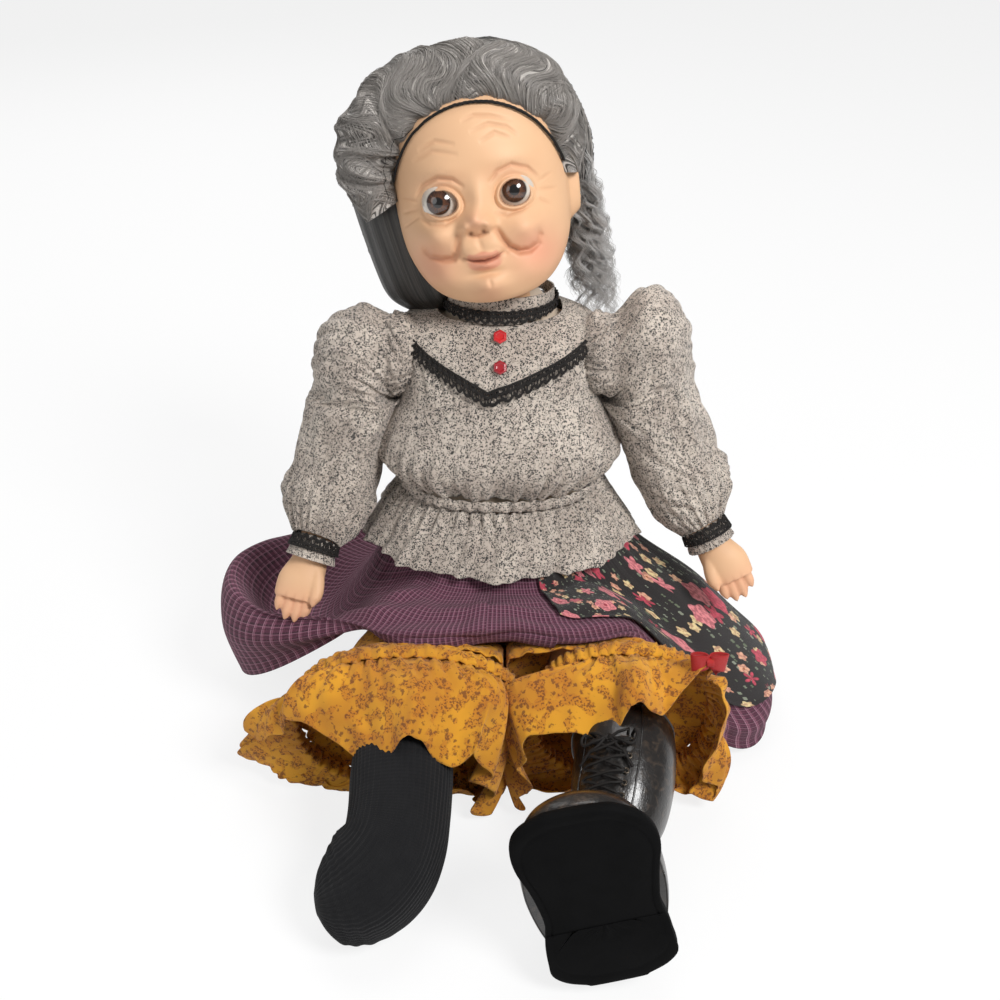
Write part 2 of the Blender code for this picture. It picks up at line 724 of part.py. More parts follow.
# Rows of the head from the chin up: height, reach forward, reach back and half width, and
# how much higher the row runs behind than in front, as shares of the head's height, depth,
# depth, width and height
HEAD_SHARES = (
    (-0.480, 0.165, 0.260, 0.225, 0.085),
    (-0.515, 0.290, 0.360, 0.340, 0.210),
    (-0.460, 0.365, 0.430, 0.410, 0.190),
    (-0.355, 0.405, 0.475, 0.460, 0.125),
    (-0.230, 0.417, 0.500, 0.487, 0.040),
    (-0.083, 0.411, 0.500, 0.500, 0.000),
    (0.083, 0.423, 0.500, 0.500, 0.000),
    (0.230, 0.393, 0.476, 0.480, 0.000),
    (0.344, 0.310, 0.405, 0.400, 0.000),
    (0.427, 0.190, 0.286, 0.268, 0.000),
    (0.474, 0.060, 0.107, 0.100, 0.000),
)
# What stands out of the face or sinks into it: across, height, width and height of the
# spot, and how far it stands out, as shares of the head's width, height, width, height
# and depth
FACE_SHARES = (
    (0.00, -0.190, 0.085, 0.055, 0.075),
    (0.00, -0.110, 0.075, 0.080, 0.022),
    (-0.21, -0.083, 0.120, 0.070, -0.034),
    (0.21, -0.083, 0.120, 0.070, -0.034),
    (-0.26, -0.235, 0.120, 0.090, 0.030),
    (0.26, -0.235, 0.120, 0.090, 0.030),
    (0.00, -0.330, 0.120, 0.035, 0.024),
    (0.00, -0.390, 0.130, 0.022, -0.016),
    (0.00, -0.455, 0.130, 0.050, 0.026),
    (0.00, 0.050, 0.350, 0.050, 0.010),
)
EAR_HEIGHT_SHARE = -0.11
EAR_BACK_SHARE = 0.04
EAR_STAND = 4.0 * MM
EAR_LENGTH = 9.0 * MM
EAR_WIDTH = 5.0 * MM
FRONT_CROWDING = 0.5


def head_local(turn, rise, spare=0.0, features=True):
    """Across, forward and up of a spot on the head; turn 0 is the middle of the face."""
    row, front, back, half_width, tilt = along(HEAD_SHARES, rise)
    angle = 2.0 * math.pi * turn
    c, s = math.cos(angle), math.sin(angle)
    across = s * (half_width * HEAD_WIDTH + spare)
    forward = c * ((front if c > 0 else back) * HEAD_DEPTH + spare)
    shift = spare * (smooth_step(rise * 4.0 - 3.0) - smooth_step(1.0 - rise * 5.0))
    up = (row + tilt * (1.0 - c) / 2) * HEAD_HEIGHT + shift
    if features:
        front_share = smooth_step(c * 2.0)
        for x, z, width, height, stand in FACE_SHARES:
            hill = bump(across, x * HEAD_WIDTH, width * HEAD_WIDTH)
            hill *= bump(up, z * HEAD_HEIGHT, height * HEAD_HEIGHT)
            forward += hill * stand * HEAD_DEPTH * front_share
        ear = bump(up, EAR_HEIGHT_SHARE * HEAD_HEIGHT, EAR_LENGTH)
        ear *= bump(forward, -EAR_BACK_SHARE * HEAD_DEPTH, EAR_WIDTH)
        across += math.copysign(EAR_STAND * ear, s)
    return across, forward, up


def head_ring(rise, spare, features, count):
    ring = []
    for index in range(count):
        turn = index / count
        turn -= FRONT_CROWDING * math.sin(2.0 * math.pi * turn) / (2.0 * math.pi)
        ring.append(in_head(*head_local(turn, rise, spare, features)))
    return ring


def neck_ring(up, radius, count):
    side, rear, top = neck_frame()
    ring = []
    for index in range(count):
        turn = index / count
        turn -= FRONT_CROWDING * math.sin(2.0 * math.pi * turn) / (2.0 * math.pi)
        angle = 2.0 * math.pi * turn
        ring.append(in_head(radius * math.sin(angle), radius * math.cos(angle) - NECK_BACK, up))
    return ring


HEAD_COLUMNS = 26
HEAD_ROWS = 13
HEAD_LINING_ROWS = 6
NECK_TOP_SHARE = -0.44


def head_form(name, spare):
    """A plain closed head, grown by spare, to cut what is worn on the head."""
    rings = []
    for index in range(HEAD_ROWS + 1):
        rings.append(head_ring(index / HEAD_ROWS, spare, False, HEAD_COLUMNS))
    return loft(name, rings, None)


def eye_place(side):
    return in_head(side * EYE_SPACING / 2 + FACE_SHIFT, EYE_FORWARD, EYE_HEIGHT)


EYE_FORWARD = 24.0 * MM


def ball(name, centre, radius, colour, rings=6, sides=12):
    axis = neck_frame()[1]
    profile = []
    for index in range(1, rings):
        angle = math.pi * index / rings
        profile.append((-radius * math.cos(angle), radius * math.sin(angle)))
    return turned(name, profile, centre, axis, colour, sides)


def make_head(vinyl, white):
    rings = [neck_ring(-NECK_DEPTH, NECK_RADIUS, HEAD_COLUMNS)]
    rings.append(neck_ring(NECK_TOP_SHARE * HEAD_HEIGHT, NECK_RADIUS, HEAD_COLUMNS))
    for index in range(HEAD_ROWS + 1):
        rings.append(head_ring(index / HEAD_ROWS, 0.0, True, HEAD_COLUMNS))
    hole = NECK_RADIUS - NECK_WALL
    inside = [neck_ring(-NECK_DEPTH, hole, HEAD_COLUMNS)]
    inside.append(neck_ring((NECK_TOP_SHARE + 0.04) * HEAD_HEIGHT, hole, HEAD_COLUMNS))
    for index in range(HEAD_LINING_ROWS + 1):
        rise = 0.12 + 0.86 * index / HEAD_LINING_ROWS
        inside.append(head_ring(rise, -HEAD_WALL - EYE_SINK, False, HEAD_COLUMNS))
    shell = cloth_tube("head_shell", rings, inside, vinyl, closed_end=True)
    for end, side in SIDES:
        cut(shell, ball("eye_socket", eye_place(side), EYE_RADIUS + CLEARANCE, None))
        ball("eye_" + end, eye_place(side), EYE_RADIUS, white)


EYE_SINK = 3.0 * MM


# The wig cap's rim: its rise on the head in front, beside and behind
CAP_RIM_SHARES = ((0.80,), (0.70,), (0.45,), (0.24,), (0.45,), (0.70,))
CAP_TOP_SHARE = 0.97
CAP_ROWS = 7
WIG_GAP = 1.4 * MM


def make_wig_cap(plain):
    rings = []
    for spare in (WIG_GAP + WIG_CAP, WIG_GAP):
        loops = []
        for row in range(CAP_ROWS + 1):
            ring = []
            for index in range(HEAD_COLUMNS):
                turn = index / HEAD_COLUMNS
                turn -= FRONT_CROWDING * math.sin(2.0 * math.pi * turn) / (2.0 * math.pi)
                rim = around(CAP_RIM_SHARES, turn)[0]
                rise = rim + (CAP_TOP_SHARE - rim) * row / CAP_ROWS
                ring.append(in_head(*head_local(turn, rise, spare, False)))
            loops.append(ring)
        rings.append(loops)
    cloth_tube("wig_cap", rings[0], rings[1], plain, closed_end=True)


# Rows of the hair behind the roll, from the nape up: height, reach forward, reach back,
# half width and shift across, as shares of the head's height, depth, depth, width, width
HAIR_SHARES = (
    (-0.370, 0.00, 0.46, 0.44, -0.12),
    (-0.290, 0.08, 0.54, 0.60, -0.09),
    (-0.150, 0.12, 0.61, 0.68, -0.07),
    (0.040, 0.14, 0.64, 0.73, -0.05),
    (0.210, 0.14, 0.64, 0.71, -0.05),
    (0.355, 0.14, 0.57, 0.62, -0.04),
    (0.470, 0.12, 0.43, 0.48, -0.04),
    (0.540, 0.07, 0.24, 0.26, -0.04),
)
ROLL_START = math.radians(-112.0)
ROLL_END = math.radians(104.0)
# The front roll's middle line and thickness: reach across, rise, reach forward, radius
# and how flat it is, as shares of the head's width, height, depth and the roll's radius
ROLL_SHARES = (
    (0.56, 0.36, 0.08, 0.66),
    (0.57, 0.36, 0.14, 1.00),
    (0.56, 0.33, 0.20, 1.04),
    (0.55, 0.32, 0.23, 1.04),
    (0.54, 0.33, 0.20, 1.02),
    (0.53, 0.36, 0.12, 0.95),
    (0.52, 0.38, 0.04, 0.60),
)
ROLL_RISE_SHARE = 0.06
ROLL_SHIFT_SHARE = -0.045


def hair_point(angle, rise, spare=0.0):
    height, front, back, half_width, shift = along(HAIR_SHARES, rise)
    middle = (front - back) / 2 * HEAD_DEPTH
    half_depth = (front + back) / 2 * HEAD_DEPTH + spare
    c, s = math.cos(angle), math.sin(angle)
    share = 2.0 / 2.6
    across = math.copysign(abs(s) ** share, s) * (half_width * HEAD_WIDTH + spare)
    forward = math.copysign(abs(c) ** share, c) * half_depth
    return in_head(shift * HEAD_WIDTH + across, middle + forward, height * HEAD_HEIGHT)


def roll_line(t):
    """A point of the front roll's middle line and its radius; t runs right to left."""
    angle = ROLL_START + (ROLL_END - ROLL_START) * t
    across, rise, forward, radius = along(ROLL_SHARES, t)
    place = in_head(ROLL_SHIFT_SHARE * HEAD_WIDTH + across * HEAD_WIDTH * math.sin(angle),
                    forward * HEAD_DEPTH,
                    ROLL_RISE_SHARE * HEAD_HEIGHT + rise * HEAD_HEIGHT * math.cos(angle))
    return place, radius * HAIR_ROLL_RADIUS


ROLL_STEPS = 18
HAIR_COLUMNS = 20
NET_WALL = 0.6 * MM


def make_hair(grey, net, dark):
    points = [roll_line(index / ROLL_STEPS)[0] for index in range(ROLL_STEPS + 1)]
    worn = WIG_GAP + WIG_CAP + WIG_GAP
    roll = swept("front_hair_roll", points, lambda t: roll_line(t)[1], grey, 10)
    cut(roll, head_form("head_space", worn))
    rows = 8
    rings = []
    for index in range(rows + 1):
        ring = []
        for column in range(HAIR_COLUMNS):
            ring.append(hair_point(2.0 * math.pi * column / HAIR_COLUMNS, index / rows))
        rings.append(ring)
    back = loft("back_hair", rings, grey)
    cut(back, head_form("head_space", worn))
    points.insert(0, points[0] + (points[0] - points[1]).normalized() * CUT_OVERRUN)
    points.append(points[-1] + (points[-1] - points[-2]).normalized() * CUT_OVERRUN)
    cut(back, swept("roll_space", points, lambda t: roll_line(t)[1] + 2 * CLEARANCE, None, 10))

    def net_point(u, v):
        column = NET_EDGE + (HAIR_COLUMNS - 2 * NET_EDGE) * u
        row = NET_LOW + (NET_HIGH - NET_LOW) * v
        return hair_point(2.0 * math.pi * column / HAIR_COLUMNS, row / rows,
                          CLEARANCE + NET_WALL)
    sheet("hairnet", net_point, HAIR_COLUMNS - 2 * NET_EDGE, NET_HIGH - NET_LOW, NET_WALL, net)
    points = []
    for index in range(ELASTIC_STEPS + 1):
        angle = ELASTIC_REACH * (2.0 * index / ELASTIC_STEPS - 1.0)
        turn = angle / (2.0 * math.pi)
        sink = (1.0 - math.cos(angle)) / (1.0 - math.cos(ELASTIC_REACH))
        rise = ELASTIC_TOP_SHARE - (ELASTIC_TOP_SHARE - ELASTIC_LOW_SHARE) * sink
        spare = ELASTIC_RADIUS + 2 * CLEARANCE
        points.append(in_head(*head_local(turn, rise, spare, False)))
    swept("hairnet_elastic", points, lambda t: ELASTIC_RADIUS, dark, 5)
    points = []
    for index in range(CURL_STEPS + 1):
        t = index / CURL_STEPS
        angle = 2.0 * math.pi * CURL_TURNS * t
        radius = CURL_RADIUS * (0.6 + 0.4 * math.sin(math.pi * t))
        points.append(in_head(CURL_ACROSS + CURL_SPREAD * t + radius * math.cos(angle),
                              -CURL_BACK + radius * math.sin(angle),
                              CURL_TOP - CURL_LENGTH * t))
    swept("side_curl", points, lambda t: CURL_STRAND * (1.0 - 0.5 * t), grey, 5)


# The hairnet's edges, in the hair's own columns and rows
NET_EDGE = 5
NET_LOW = 1
NET_HIGH = 6
ELASTIC_STEPS = 16
ELASTIC_REACH = math.radians(62.0)
ELASTIC_TOP_SHARE = 0.735
ELASTIC_LOW_SHARE = 0.50
CURL_STEPS = 20
CURL_TURNS = 2.5
CURL_RADIUS = 5.0 * MM
CURL_STRAND = 2.4 * MM
CURL_ACROSS = 48.0 * MM
CURL_SPREAD = 4.0 * MM
CURL_BACK = 14.0 * MM
CURL_TOP = -8.0 * MM
CURL_LENGTH = 36.0 * MM


def lifted(point_at, u, v, lift):
    """A point above the face of point_at, by lift along its normal."""
    step = 0.02
    side = point_at(u + step, v) - point_at(u - step, v)
    rise = point_at(u, min(v + step, 1.0)) - point_at(u, max(v - step, 0.0))
    return point_at(u, v) - side.cross(rise).normalized() * lift


# The skirt at eight turns from the front round by its left: reach from the middle and
# height of each row from the waist to the hem, as shares of its reach and waist height
SKIRT_SHARES = (
    (0.195, 0.91, 0.240, 0.85, 0.30, 0.712, 0.39, 0.728, 0.445, 0.712, 0.47, 0.675, 0.44,
     0.658, 0.40, 0.662),
    (0.232, 0.91, 0.288, 0.83, 0.35, 0.72, 0.46, 0.72, 0.55, 0.70, 0.595, 0.665, 0.58, 0.655,
     0.54, 0.657),
    (0.305, 0.91, 0.37, 0.81, 0.50, 0.67, 0.69, 0.50, 0.84, 0.32, 0.96, 0.17, 0.99, 0.07,
     0.93, 0.013),
    (0.295, 0.91, 0.33, 0.82, 0.43, 0.66, 0.55, 0.47, 0.68, 0.27, 0.77, 0.12, 0.80, 0.06,
     0.76, 0.013),
    (0.262, 0.91, 0.29, 0.82, 0.37, 0.65, 0.48, 0.44, 0.57, 0.26, 0.65, 0.12, 0.67, 0.06,
     0.64, 0.013),
    (0.295, 0.91, 0.33, 0.80, 0.43, 0.60, 0.57, 0.40, 0.71, 0.36, 0.84, 0.38, 0.88, 0.20,
     0.84, 0.05),
    (0.305, 0.91, 0.37, 0.78, 0.49, 0.54, 0.64, 0.35, 0.80, 0.37, 0.95, 0.56, 1.00, 0.36,
     0.96, 0.12),
    (0.232, 0.91, 0.288, 0.83, 0.35, 0.72, 0.45, 0.71, 0.54, 0.70, 0.595, 0.668, 0.58, 0.655,
     0.54, 0.657),
)
SKIRT_CENTRE = 5.0 * MM
SKIRT_FOLDS = 15
SKIRT_FOLD = 1.4 * MM
# Where the skirt spreads forward on the floor beside the left leg
SKIRT_SPREAD = 30.0 * MM
SPREAD_TURN_SHARE = 0.185
SPREAD_WIDTH_SHARE = 0.035
SPREAD_HEIGHT_SHARE = 0.03


def skirt_point(turn, drop):
    values = around(SKIRT_SHARES, turn)
    pairs = list(zip(values[0::2], values[1::2]))
    reach, height = along(pairs, drop)
    angle = 2.0 * math.pi * turn
    side_share = 0.5 - 0.5 * math.cos(angle)
    fold = SKIRT_FOLD * drop * side_share * math.cos(SKIRT_FOLDS * angle)
    spread = bump(turn % 1.0, SPREAD_TURN_SHARE, SPREAD_WIDTH_SHARE) * drop * drop
    radius = reach * SKIRT_REACH + fold + SKIRT_SPREAD * spread
    level = height * (1.0 - spread) + SPREAD_HEIGHT_SHARE * spread
    return Vector((radius * math.sin(angle), SKIRT_CENTRE - radius * math.cos(angle),
                   level * SKIRT_WAIST_HEIGHT))


SKIRT_COLUMNS = 45
SKIRT_ROWS = 9
# The apron on the skirt: its edges in the skirt's own columns and rows
APRON_START = 3
APRON_END = 12
APRON_TOP = 2
APRON_LOW = 8
# The cut hem's two ends, down the apron's right and left edges
APRON_HEM_SHARES = (0.475, 0.907)
APRON_TRIM = 120.0 * MM
APRON_GAP = 1.5 * MM


def apron_point(u, v, lift=APRON_GAP):
    turn = (APRON_START + (APRON_END - APRON_START) * u) / SKIRT_COLUMNS
    drop = (APRON_TOP + (APRON_LOW - APRON_TOP) * v) / SKIRT_ROWS
    return lifted(skirt_point, turn, drop, lift)


def trim_apron(apron):
    """Cut the apron's hem on the slant it hangs at."""
    near = apron_point(0.0, APRON_HEM_SHARES[0])
    far = apron_point(1.0, APRON_HEM_SHARES[1])
    along_hem = (far - near).normalized()
    down = apron_point(0.5, 1.0) - apron_point(0.5, 0.5)
    down = (down - along_hem * down.dot(along_hem)).normalized()
    out = along_hem.cross(down)
    middle = (near + far) / 2
    rings = []
    for depth in (0.0, APRON_TRIM):
        ring = []
        for a, b in ((-1.0, -1.0), (1.0, -1.0), (1.0, 1.0), (-1.0, 1.0)):
            ring.append(middle + down * depth + (along_hem * a + out * b) * APRON_TRIM)
        rings.append(ring)
    cut(apron, loft("apron_trim", rings, None))


def make_skirt(plaid, floral):
    wrapped_sheet("skirt", skirt_point, SKIRT_COLUMNS, SKIRT_ROWS, CLOTH, plaid, flip=True)

    def apron_face(u, v):
        return apron_point(1.0 - u, v)
    trim_apron(sheet("apron", apron_face, APRON_END - APRON_START, APRON_LOW - APRON_TOP,
                     THIN_CLOTH, floral))

    def band_point(turn, rise):
        point = skirt_point(turn, 0.0)
        return point + Z_AXIS * (2 * CLEARANCE + CLOTH + WAISTBAND_WIDTH * rise)
    wrapped_sheet("skirt_waistband", band_point, FINE, 1, THIN_CLOTH, plaid)


WAISTBAND_WIDTH = 1.6 * MM

# The thigh's rounded root behind the hip's axis: place behind it and half width, as
# shares of the thigh's radius and half width
ROOT_SHARES = ((0.985, 0.70), (0.86, 0.92), (0.52, 1.00))
# Each leg's stations from the hip to the toe: out from the body, forward and height, as
# shares of the leg's reach, then half width and half height as shares of its thigh radius
LEG_SHARES = {
    "right": (
        (0.237, 0.000, 0.253, 0.672, 1.000),
        (0.241, 0.170, 0.260, 0.700, 0.950),
        (0.256, 0.340, 0.267, 0.760, 0.860),
        (0.266, 0.500, 0.267, 0.840, 0.800),
        (0.266, 0.650, 0.240, 0.900, 0.790),
        (0.268, 0.780, 0.204, 0.880, 0.740),
        (0.286, 0.852, 0.178, 0.880, 0.700),
        (0.328, 0.900, 0.154, 0.850, 0.650),
        (0.388, 0.928, 0.132, 0.730, 0.565),
        (0.442, 0.943, 0.119, 0.420, 0.380),
        (0.467, 0.948, 0.115, 0.120, 0.120),
    ),
    "left": (
        (0.237, 0.000, 0.253, 0.672, 1.000),
        (0.250, 0.170, 0.262, 0.700, 0.950),
        (0.290, 0.340, 0.280, 0.710, 0.860),
        (0.330, 0.500, 0.290, 0.700, 0.720),
        (0.335, 0.613, 0.285, 0.665, 0.665),
        (0.315, 0.733, 0.240, 0.630, 0.630),
        (0.292, 0.820, 0.202, 0.480, 0.480),
        (0.283, 0.870, 0.190, 0.360, 0.360),
        (0.276, 0.900, 0.186, 0.200, 0.200),
    ),
}
LEG_COLUMNS = 12
LEG_SQUARE = {"right": 2.3, "left": 2.05}
SOCK_TOP_SHARE = 4 / 13


def leg_rings(end, side, spare, start_share, count):
    """Rings along a leg's middle line, from start_share of its way, grown by spare."""
    table = LEG_SHARES[end]

    def spot(t):
        out, forward, height = along([row[:3] for row in table], t)
        return Vector((side * out * LEG_REACH, -forward * LEG_REACH, height * LEG_REACH))
    rings = []
    across = X_AXIS * side
    step = 0.01
    for index in range(count + 1):
        t = start_share + (1.0 - start_share) * index / count
        ahead = (spot(min(t + step, 1.0)) - spot(max(t - step, 0.0))).normalized()
        across = (across - ahead * across.dot(ahead)).normalized()
        up = ahead.cross(across)
        width, height = along([row[3:] for row in table], t)
        rings.append(oval(spot(t), across, up, width * THIGH_RADIUS + spare,
                          height * THIGH_RADIUS + spare, LEG_COLUMNS, LEG_SQUARE[end]))
    return rings


def make_leg(end, side, vinyl, sock_cloth):
    rings = []
    out, forward, height, half_width = LEG_SHARES[end][0][:4]
    for back, share in ROOT_SHARES:
        centre = Vector((side * out * LEG_REACH, back * THIGH_RADIUS, HIP_HEIGHT))
        half_up = THIGH_RADIUS * math.sqrt(1.0 - back * back)
        up = (-Y_AXIS).cross(X_AXIS * side)
        rings.append(oval(centre, X_AXIS * side, up, half_width * THIGH_RADIUS * share,
                          half_up, LEG_COLUMNS, 2.3))
    rings += leg_rings(end, side, 0.0, 0.0, 13)
    leg = loft("leg_" + end, rings, vinyl)
    cut(leg, pin_cutter(hip(side), side))
    if end == "right":
        outer = leg_rings(end, side, CLEARANCE + SOCK, SOCK_TOP_SHARE, 9)
        inner = leg_rings(end, side, CLEARANCE, SOCK_TOP_SHARE, 9)
        cap = leg_rings(end, side, CLEARANCE + SOCK, 1.0, 1)[-1]
        lead = (sum(cap, Vector()) - sum(outer[-2], Vector())).normalized() * (SOCK + CLEARANCE)
        outer[-1] = [point + lead for point in outer[-1]]
        inner[-1] = [point + lead.normalized() * CLEARANCE for point in inner[-1]]
        cloth_tube("sock", outer, inner, sock_cloth, closed_end=True)


# The loop where each bloomer leg is gathered: its middle out from the body, forward and
# height, its half width and half height
LOOPS = {
    "right": (38.0 * MM, 61.0 * MM, 39.4 * MM, 48.0 * MM, 36.0 * MM),
    "left": (52.0 * MM, 58.0 * MM, 40.0 * MM, 37.0 * MM, 34.5 * MM),
}
# How the bloomer leg widens to that loop: place along it, middle, half width and half
# height, as shares from the thigh's size to the loop's
WIDEN_SHARES = ((0.3, 0.40, 0.66), (0.75, 0.78, 0.88), (1.0, 1.0, 1.0), (1.0, 1.0, 1.0))
LEG_START = 51.6 * MM
# Where each ruffle's hem lies from its loop, at eight turns from the top round by the
# outer side: out, forward and up, as shares of the ruffle's depth
RUFFLE_SHARES = {
    "right": (
        (0.00, 0.95, -0.36), (0.62, 0.40, -0.42), (0.95, -0.25, -0.62), (0.62, 0.06, -0.24),
        (0.00, 0.10, 0.00), (0.00, 0.30, -0.20), (0.00, 0.48, -0.80), (0.00, 0.85, -0.45),
    ),
    "left": (
        (0.05, 0.78, -0.08), (0.35, 0.30, 0.42), (0.20, 0.45, -0.80), (0.15, 0.35, -0.24),
        (0.00, 0.20, -0.02), (0.02, 0.30, -0.22), (0.00, 0.50, -0.80), (0.00, 0.72, -0.40),
    ),
}
RUFFLE_WAVES = 11


def loop_point(end, side, turn, widen, forward, spare=0.0):
    """A point of a bloomer leg; turn 0 is its top, and it goes round by the outer side."""
    out, ahead, height, half_width, half_height = LOOPS[end]
    thigh_out, thigh_ahead, thigh_height = [share * LEG_REACH for share in LEG_SHARES[end][2][:3]]
    middle, width, tall = widen
    centre = thigh_out + (out - thigh_out) * middle
    level = thigh_height + (height - thigh_height) * middle
    half = BLOOMER_START_WIDTH + (half_width - BLOOMER_START_WIDTH) * width + spare
    rise = BLOOMER_START_HEIGHT + (half_height - BLOOMER_START_HEIGHT) * tall + spare
    angle = 2.0 * math.pi * turn
    share = 2.0 / 2.3
    s, c = math.sin(angle), math.cos(angle)
    return Vector((side * (centre + math.copysign(abs(s) ** share, s) * half), -forward,
                   max(level + math.copysign(abs(c) ** share, c) * rise, FLOOR_GAP + CLOTH)))


BLOOMER_START_WIDTH = 21.0 * MM
BLOOMER_START_HEIGHT = 25.0 * MM


def ruffle_point(end, side, turn, drop):
    out, ahead, up = around(RUFFLE_SHARES[end], turn)
    start = LOOPS[end][1] + BAND_WIDTH + 3 * CLEARANCE
    root = loop_point(end, side, turn, (1.0, 1.0, 1.0), start)
    fall = drop ** 1.5
    wave = math.cos(2.0 * math.pi * RUFFLE_WAVES * turn) * RUFFLE_WAVE * drop
    angle = 2.0 * math.pi * turn
    point = root + Vector((side * out * drop, -ahead * drop, up * fall)) * RUFFLE_DEPTH
    point += Vector((side * math.sin(angle), 0.0, math.cos(angle))) * wave
    point.z = max(point.z, FLOOR_GAP + CLOTH)
    point.x = side * max(side * point.x, INNER_LIMITS[end])
    return point


INNER_LIMITS = {"right": -11.5 * MM, "left": 14.5 * MM}


def make_bloomer_leg(end, side, cloth, plain):
    start, stop = LEG_START, LOOPS[end][1]

    def leg_point(turn, place):
        widen = along(WIDEN_SHARES, place)
        return loop_point(end, side, turn, widen, start + (stop - start) * place)

    def band_point(turn, place):
        ahead = stop + CLEARANCE + BAND_WIDTH * place
        return loop_point(end, side, turn, (1.0, 1.0, 1.0), ahead)
    flip = side < 0
    wrapped_sheet("bloomer_leg_" + end, leg_point, FINE, 3, CLOTH, cloth, flip)
    wrapped_sheet("bloomer_band_" + end, band_point, FINE, 1, CLOTH, plain, flip)

    def hem_point(turn, drop):
        return ruffle_point(end, side, turn, drop)
    wrapped_sheet("bloomer_ruffle_" + end, hem_point, 40, 3, THIN_CLOTH, cloth, flip)


# The boot, on its sole's middle, with its long axis to the toe and its face to the floor
SOLE_MIDDLE = Vector((34.0 * MM, -157.0 * MM, 44.0 * MM))
SOLE_TURN = math.radians(15.0)
SOLE_LEAN = math.radians(10.0)
# The sole's outline from heel to toe: place along it, half width on the outer side and on
# the inner side, as shares of its length and width
SOLE_SHARES = (
    (0.000, 0.16, 0.16), (0.035, 0.33, 0.33), (0.110, 0.44, 0.43), (0.240, 0.44, 0.43),
    (0.400, 0.41, 0.38), (0.560, 0.45, 0.40), (0.720, 0.51, 0.46), (0.850, 0.49, 0.47),
    (0.935, 0.38, 0.41), (0.985, 0.22, 0.26), (1.000, 0.10, 0.13),
)
HEEL_SHARE = 0.33
# The boot's rings from the sole into the shaft: height over the sole, the toe's and the
# heel's reach, and the half width, as shares of the boot's length, and of its width
FOOT_SHARES = (
    (0.00, 0.485, 0.485, 0.47), (0.09, 0.490, 0.490, 0.49), (0.19, 0.430, 0.480, 0.47),
    (0.28, 0.290, 0.470, 0.44), (0.35, 0.140, 0.455, 0.42),
)
SHAFT_RINGS = 7
SHAFT_START_SHARE = 0.75
SHAFT_END_SHARE = 0.42
BOOT_COLUMNS = 14


def boot_frame():
    """The toe's way, the way across and the way out of the sole."""
    lean = Vector((0.0, math.sin(SOLE_LEAN), math.cos(SOLE_LEAN)))
    out = Vector((0.0, -math.cos(SOLE_LEAN), math.sin(SOLE_LEAN)))
    turn = Matrix.Rotation(SOLE_TURN, 3, out)
    ahead = turn @ lean
    return ahead, ahead.cross(out), out


def sole_ring(place, low, high, spare=0.0):
    """The sole's outline between two places along it, laid at a place across it."""
    ahead, across, out = boot_frame()
    ring = []
    count = 14
    for side in (1, 2):
        for index in range(count + (0 if side == 1 else 1)):
            t = index / count
            t = t if side == 1 else 1.0 - t
            spot = low + (high - low) * (0.5 - 0.5 * math.cos(math.pi * t))
            half = sole_half(spot, side) * BOOT_WIDTH + spare
            half = half if side == 1 else -half
            far = (spot - 0.5) * (BOOT_LENGTH + 2 * spare)
            ring.append(place + ahead * far + across * half)
    return ring


def sole_half(spot, side):
    """Half width of the sole at a place along it, read between its rows."""
    for low, high in zip(SOLE_SHARES, SOLE_SHARES[1:]):
        if spot <= high[0]:
            t = (spot - low[0]) / (high[0] - low[0])
            return low[side] + (high[side] - low[side]) * t
    return SOLE_SHARES[-1][side]


def boot_rings(spare, lift):
    """The boot upper's rings from the sole to the top of the shaft."""
    ahead, across, out = boot_frame()
    rings = []
    base = SOLE_MIDDLE - out * (CLEARANCE + lift)
    for row, toe, heel, half_width in FOOT_SHARES:
        centre = base - out * row * (BOOT_LENGTH - lift) + ahead * (toe - heel) / 2 * BOOT_LENGTH
        rings.append(oval(centre, across, ahead, half_width * BOOT_WIDTH + spare,
                          (toe + heel) / 2 * BOOT_LENGTH + spare, BOOT_COLUMNS, 2.3))
    table = LEG_SHARES["left"]
    for index in range(SHAFT_RINGS):
        t = SHAFT_START_SHARE + (SHAFT_END_SHARE - SHAFT_START_SHARE) * index / (SHAFT_RINGS - 1)
        centre, tangent, width, height = leg_spot(table, 1.0, t)
        up = (ahead - tangent * ahead.dot(tangent)).normalized()
        side = up.cross(tangent)
        side *= math.copysign(1.0, side.dot(across))
        grow = BOOT_FIT + BOOT_WALL + spare
        rings.append(oval(centre, side, up, width * THIGH_RADIUS + grow,
                          height * THIGH_RADIUS + grow, BOOT_COLUMNS, 2.1))
    return rings


def leg_spot(table, side, t):
    """A leg's middle point, its direction and its half sizes as shares of the thigh."""
    def spot(place):
        out, forward, height = along([row[:3] for row in table], place)
        return Vector((side * out * LEG_REACH, -forward * LEG_REACH, height * LEG_REACH))
    step = 0.01
    tangent = (spot(t + step) - spot(t - step)).normalized()
    width, height = along([row[3:] for row in table], t)
    return spot(t), tangent, width, height


def slab(name, ring, other, colour):
    return loft(name, [ring, other], colour, smooth=False)


def tongue_point(u, v):
    """The laced front of the boot, from the shaft's top down to the instep."""
    rings = boot_rings(0.0, 0.0)
    place = (len(rings) - 1) - LACING_START - (LACING_END - LACING_START) * v
    low = min(math.floor(place), len(rings) - 2)
    column = BOOT_COLUMNS / 4 - TONGUE_REACH * (2.0 * u - 1.0)
    first = math.floor(column)
    ends = []
    for ring in (rings[low], rings[low + 1]):
        ends.append(ring[first].lerp(ring[first + 1], column - first))
    return ends[0].lerp(ends[1], place - low)


def tongue_face(u, v):
    return lifted(tongue_point, u, v, TONGUE_GAP)


# The lacing's first and last place, counted in the boot's rings from the shaft's top, and
# its half width in the boot's columns
LACING_START = 1.6
LACING_END = 5.0
TONGUE_REACH = 1.0
TONGUE_WALL = 1.2 * MM
TONGUE_GAP = 0.7 * MM
LACE_CROSSINGS = 5


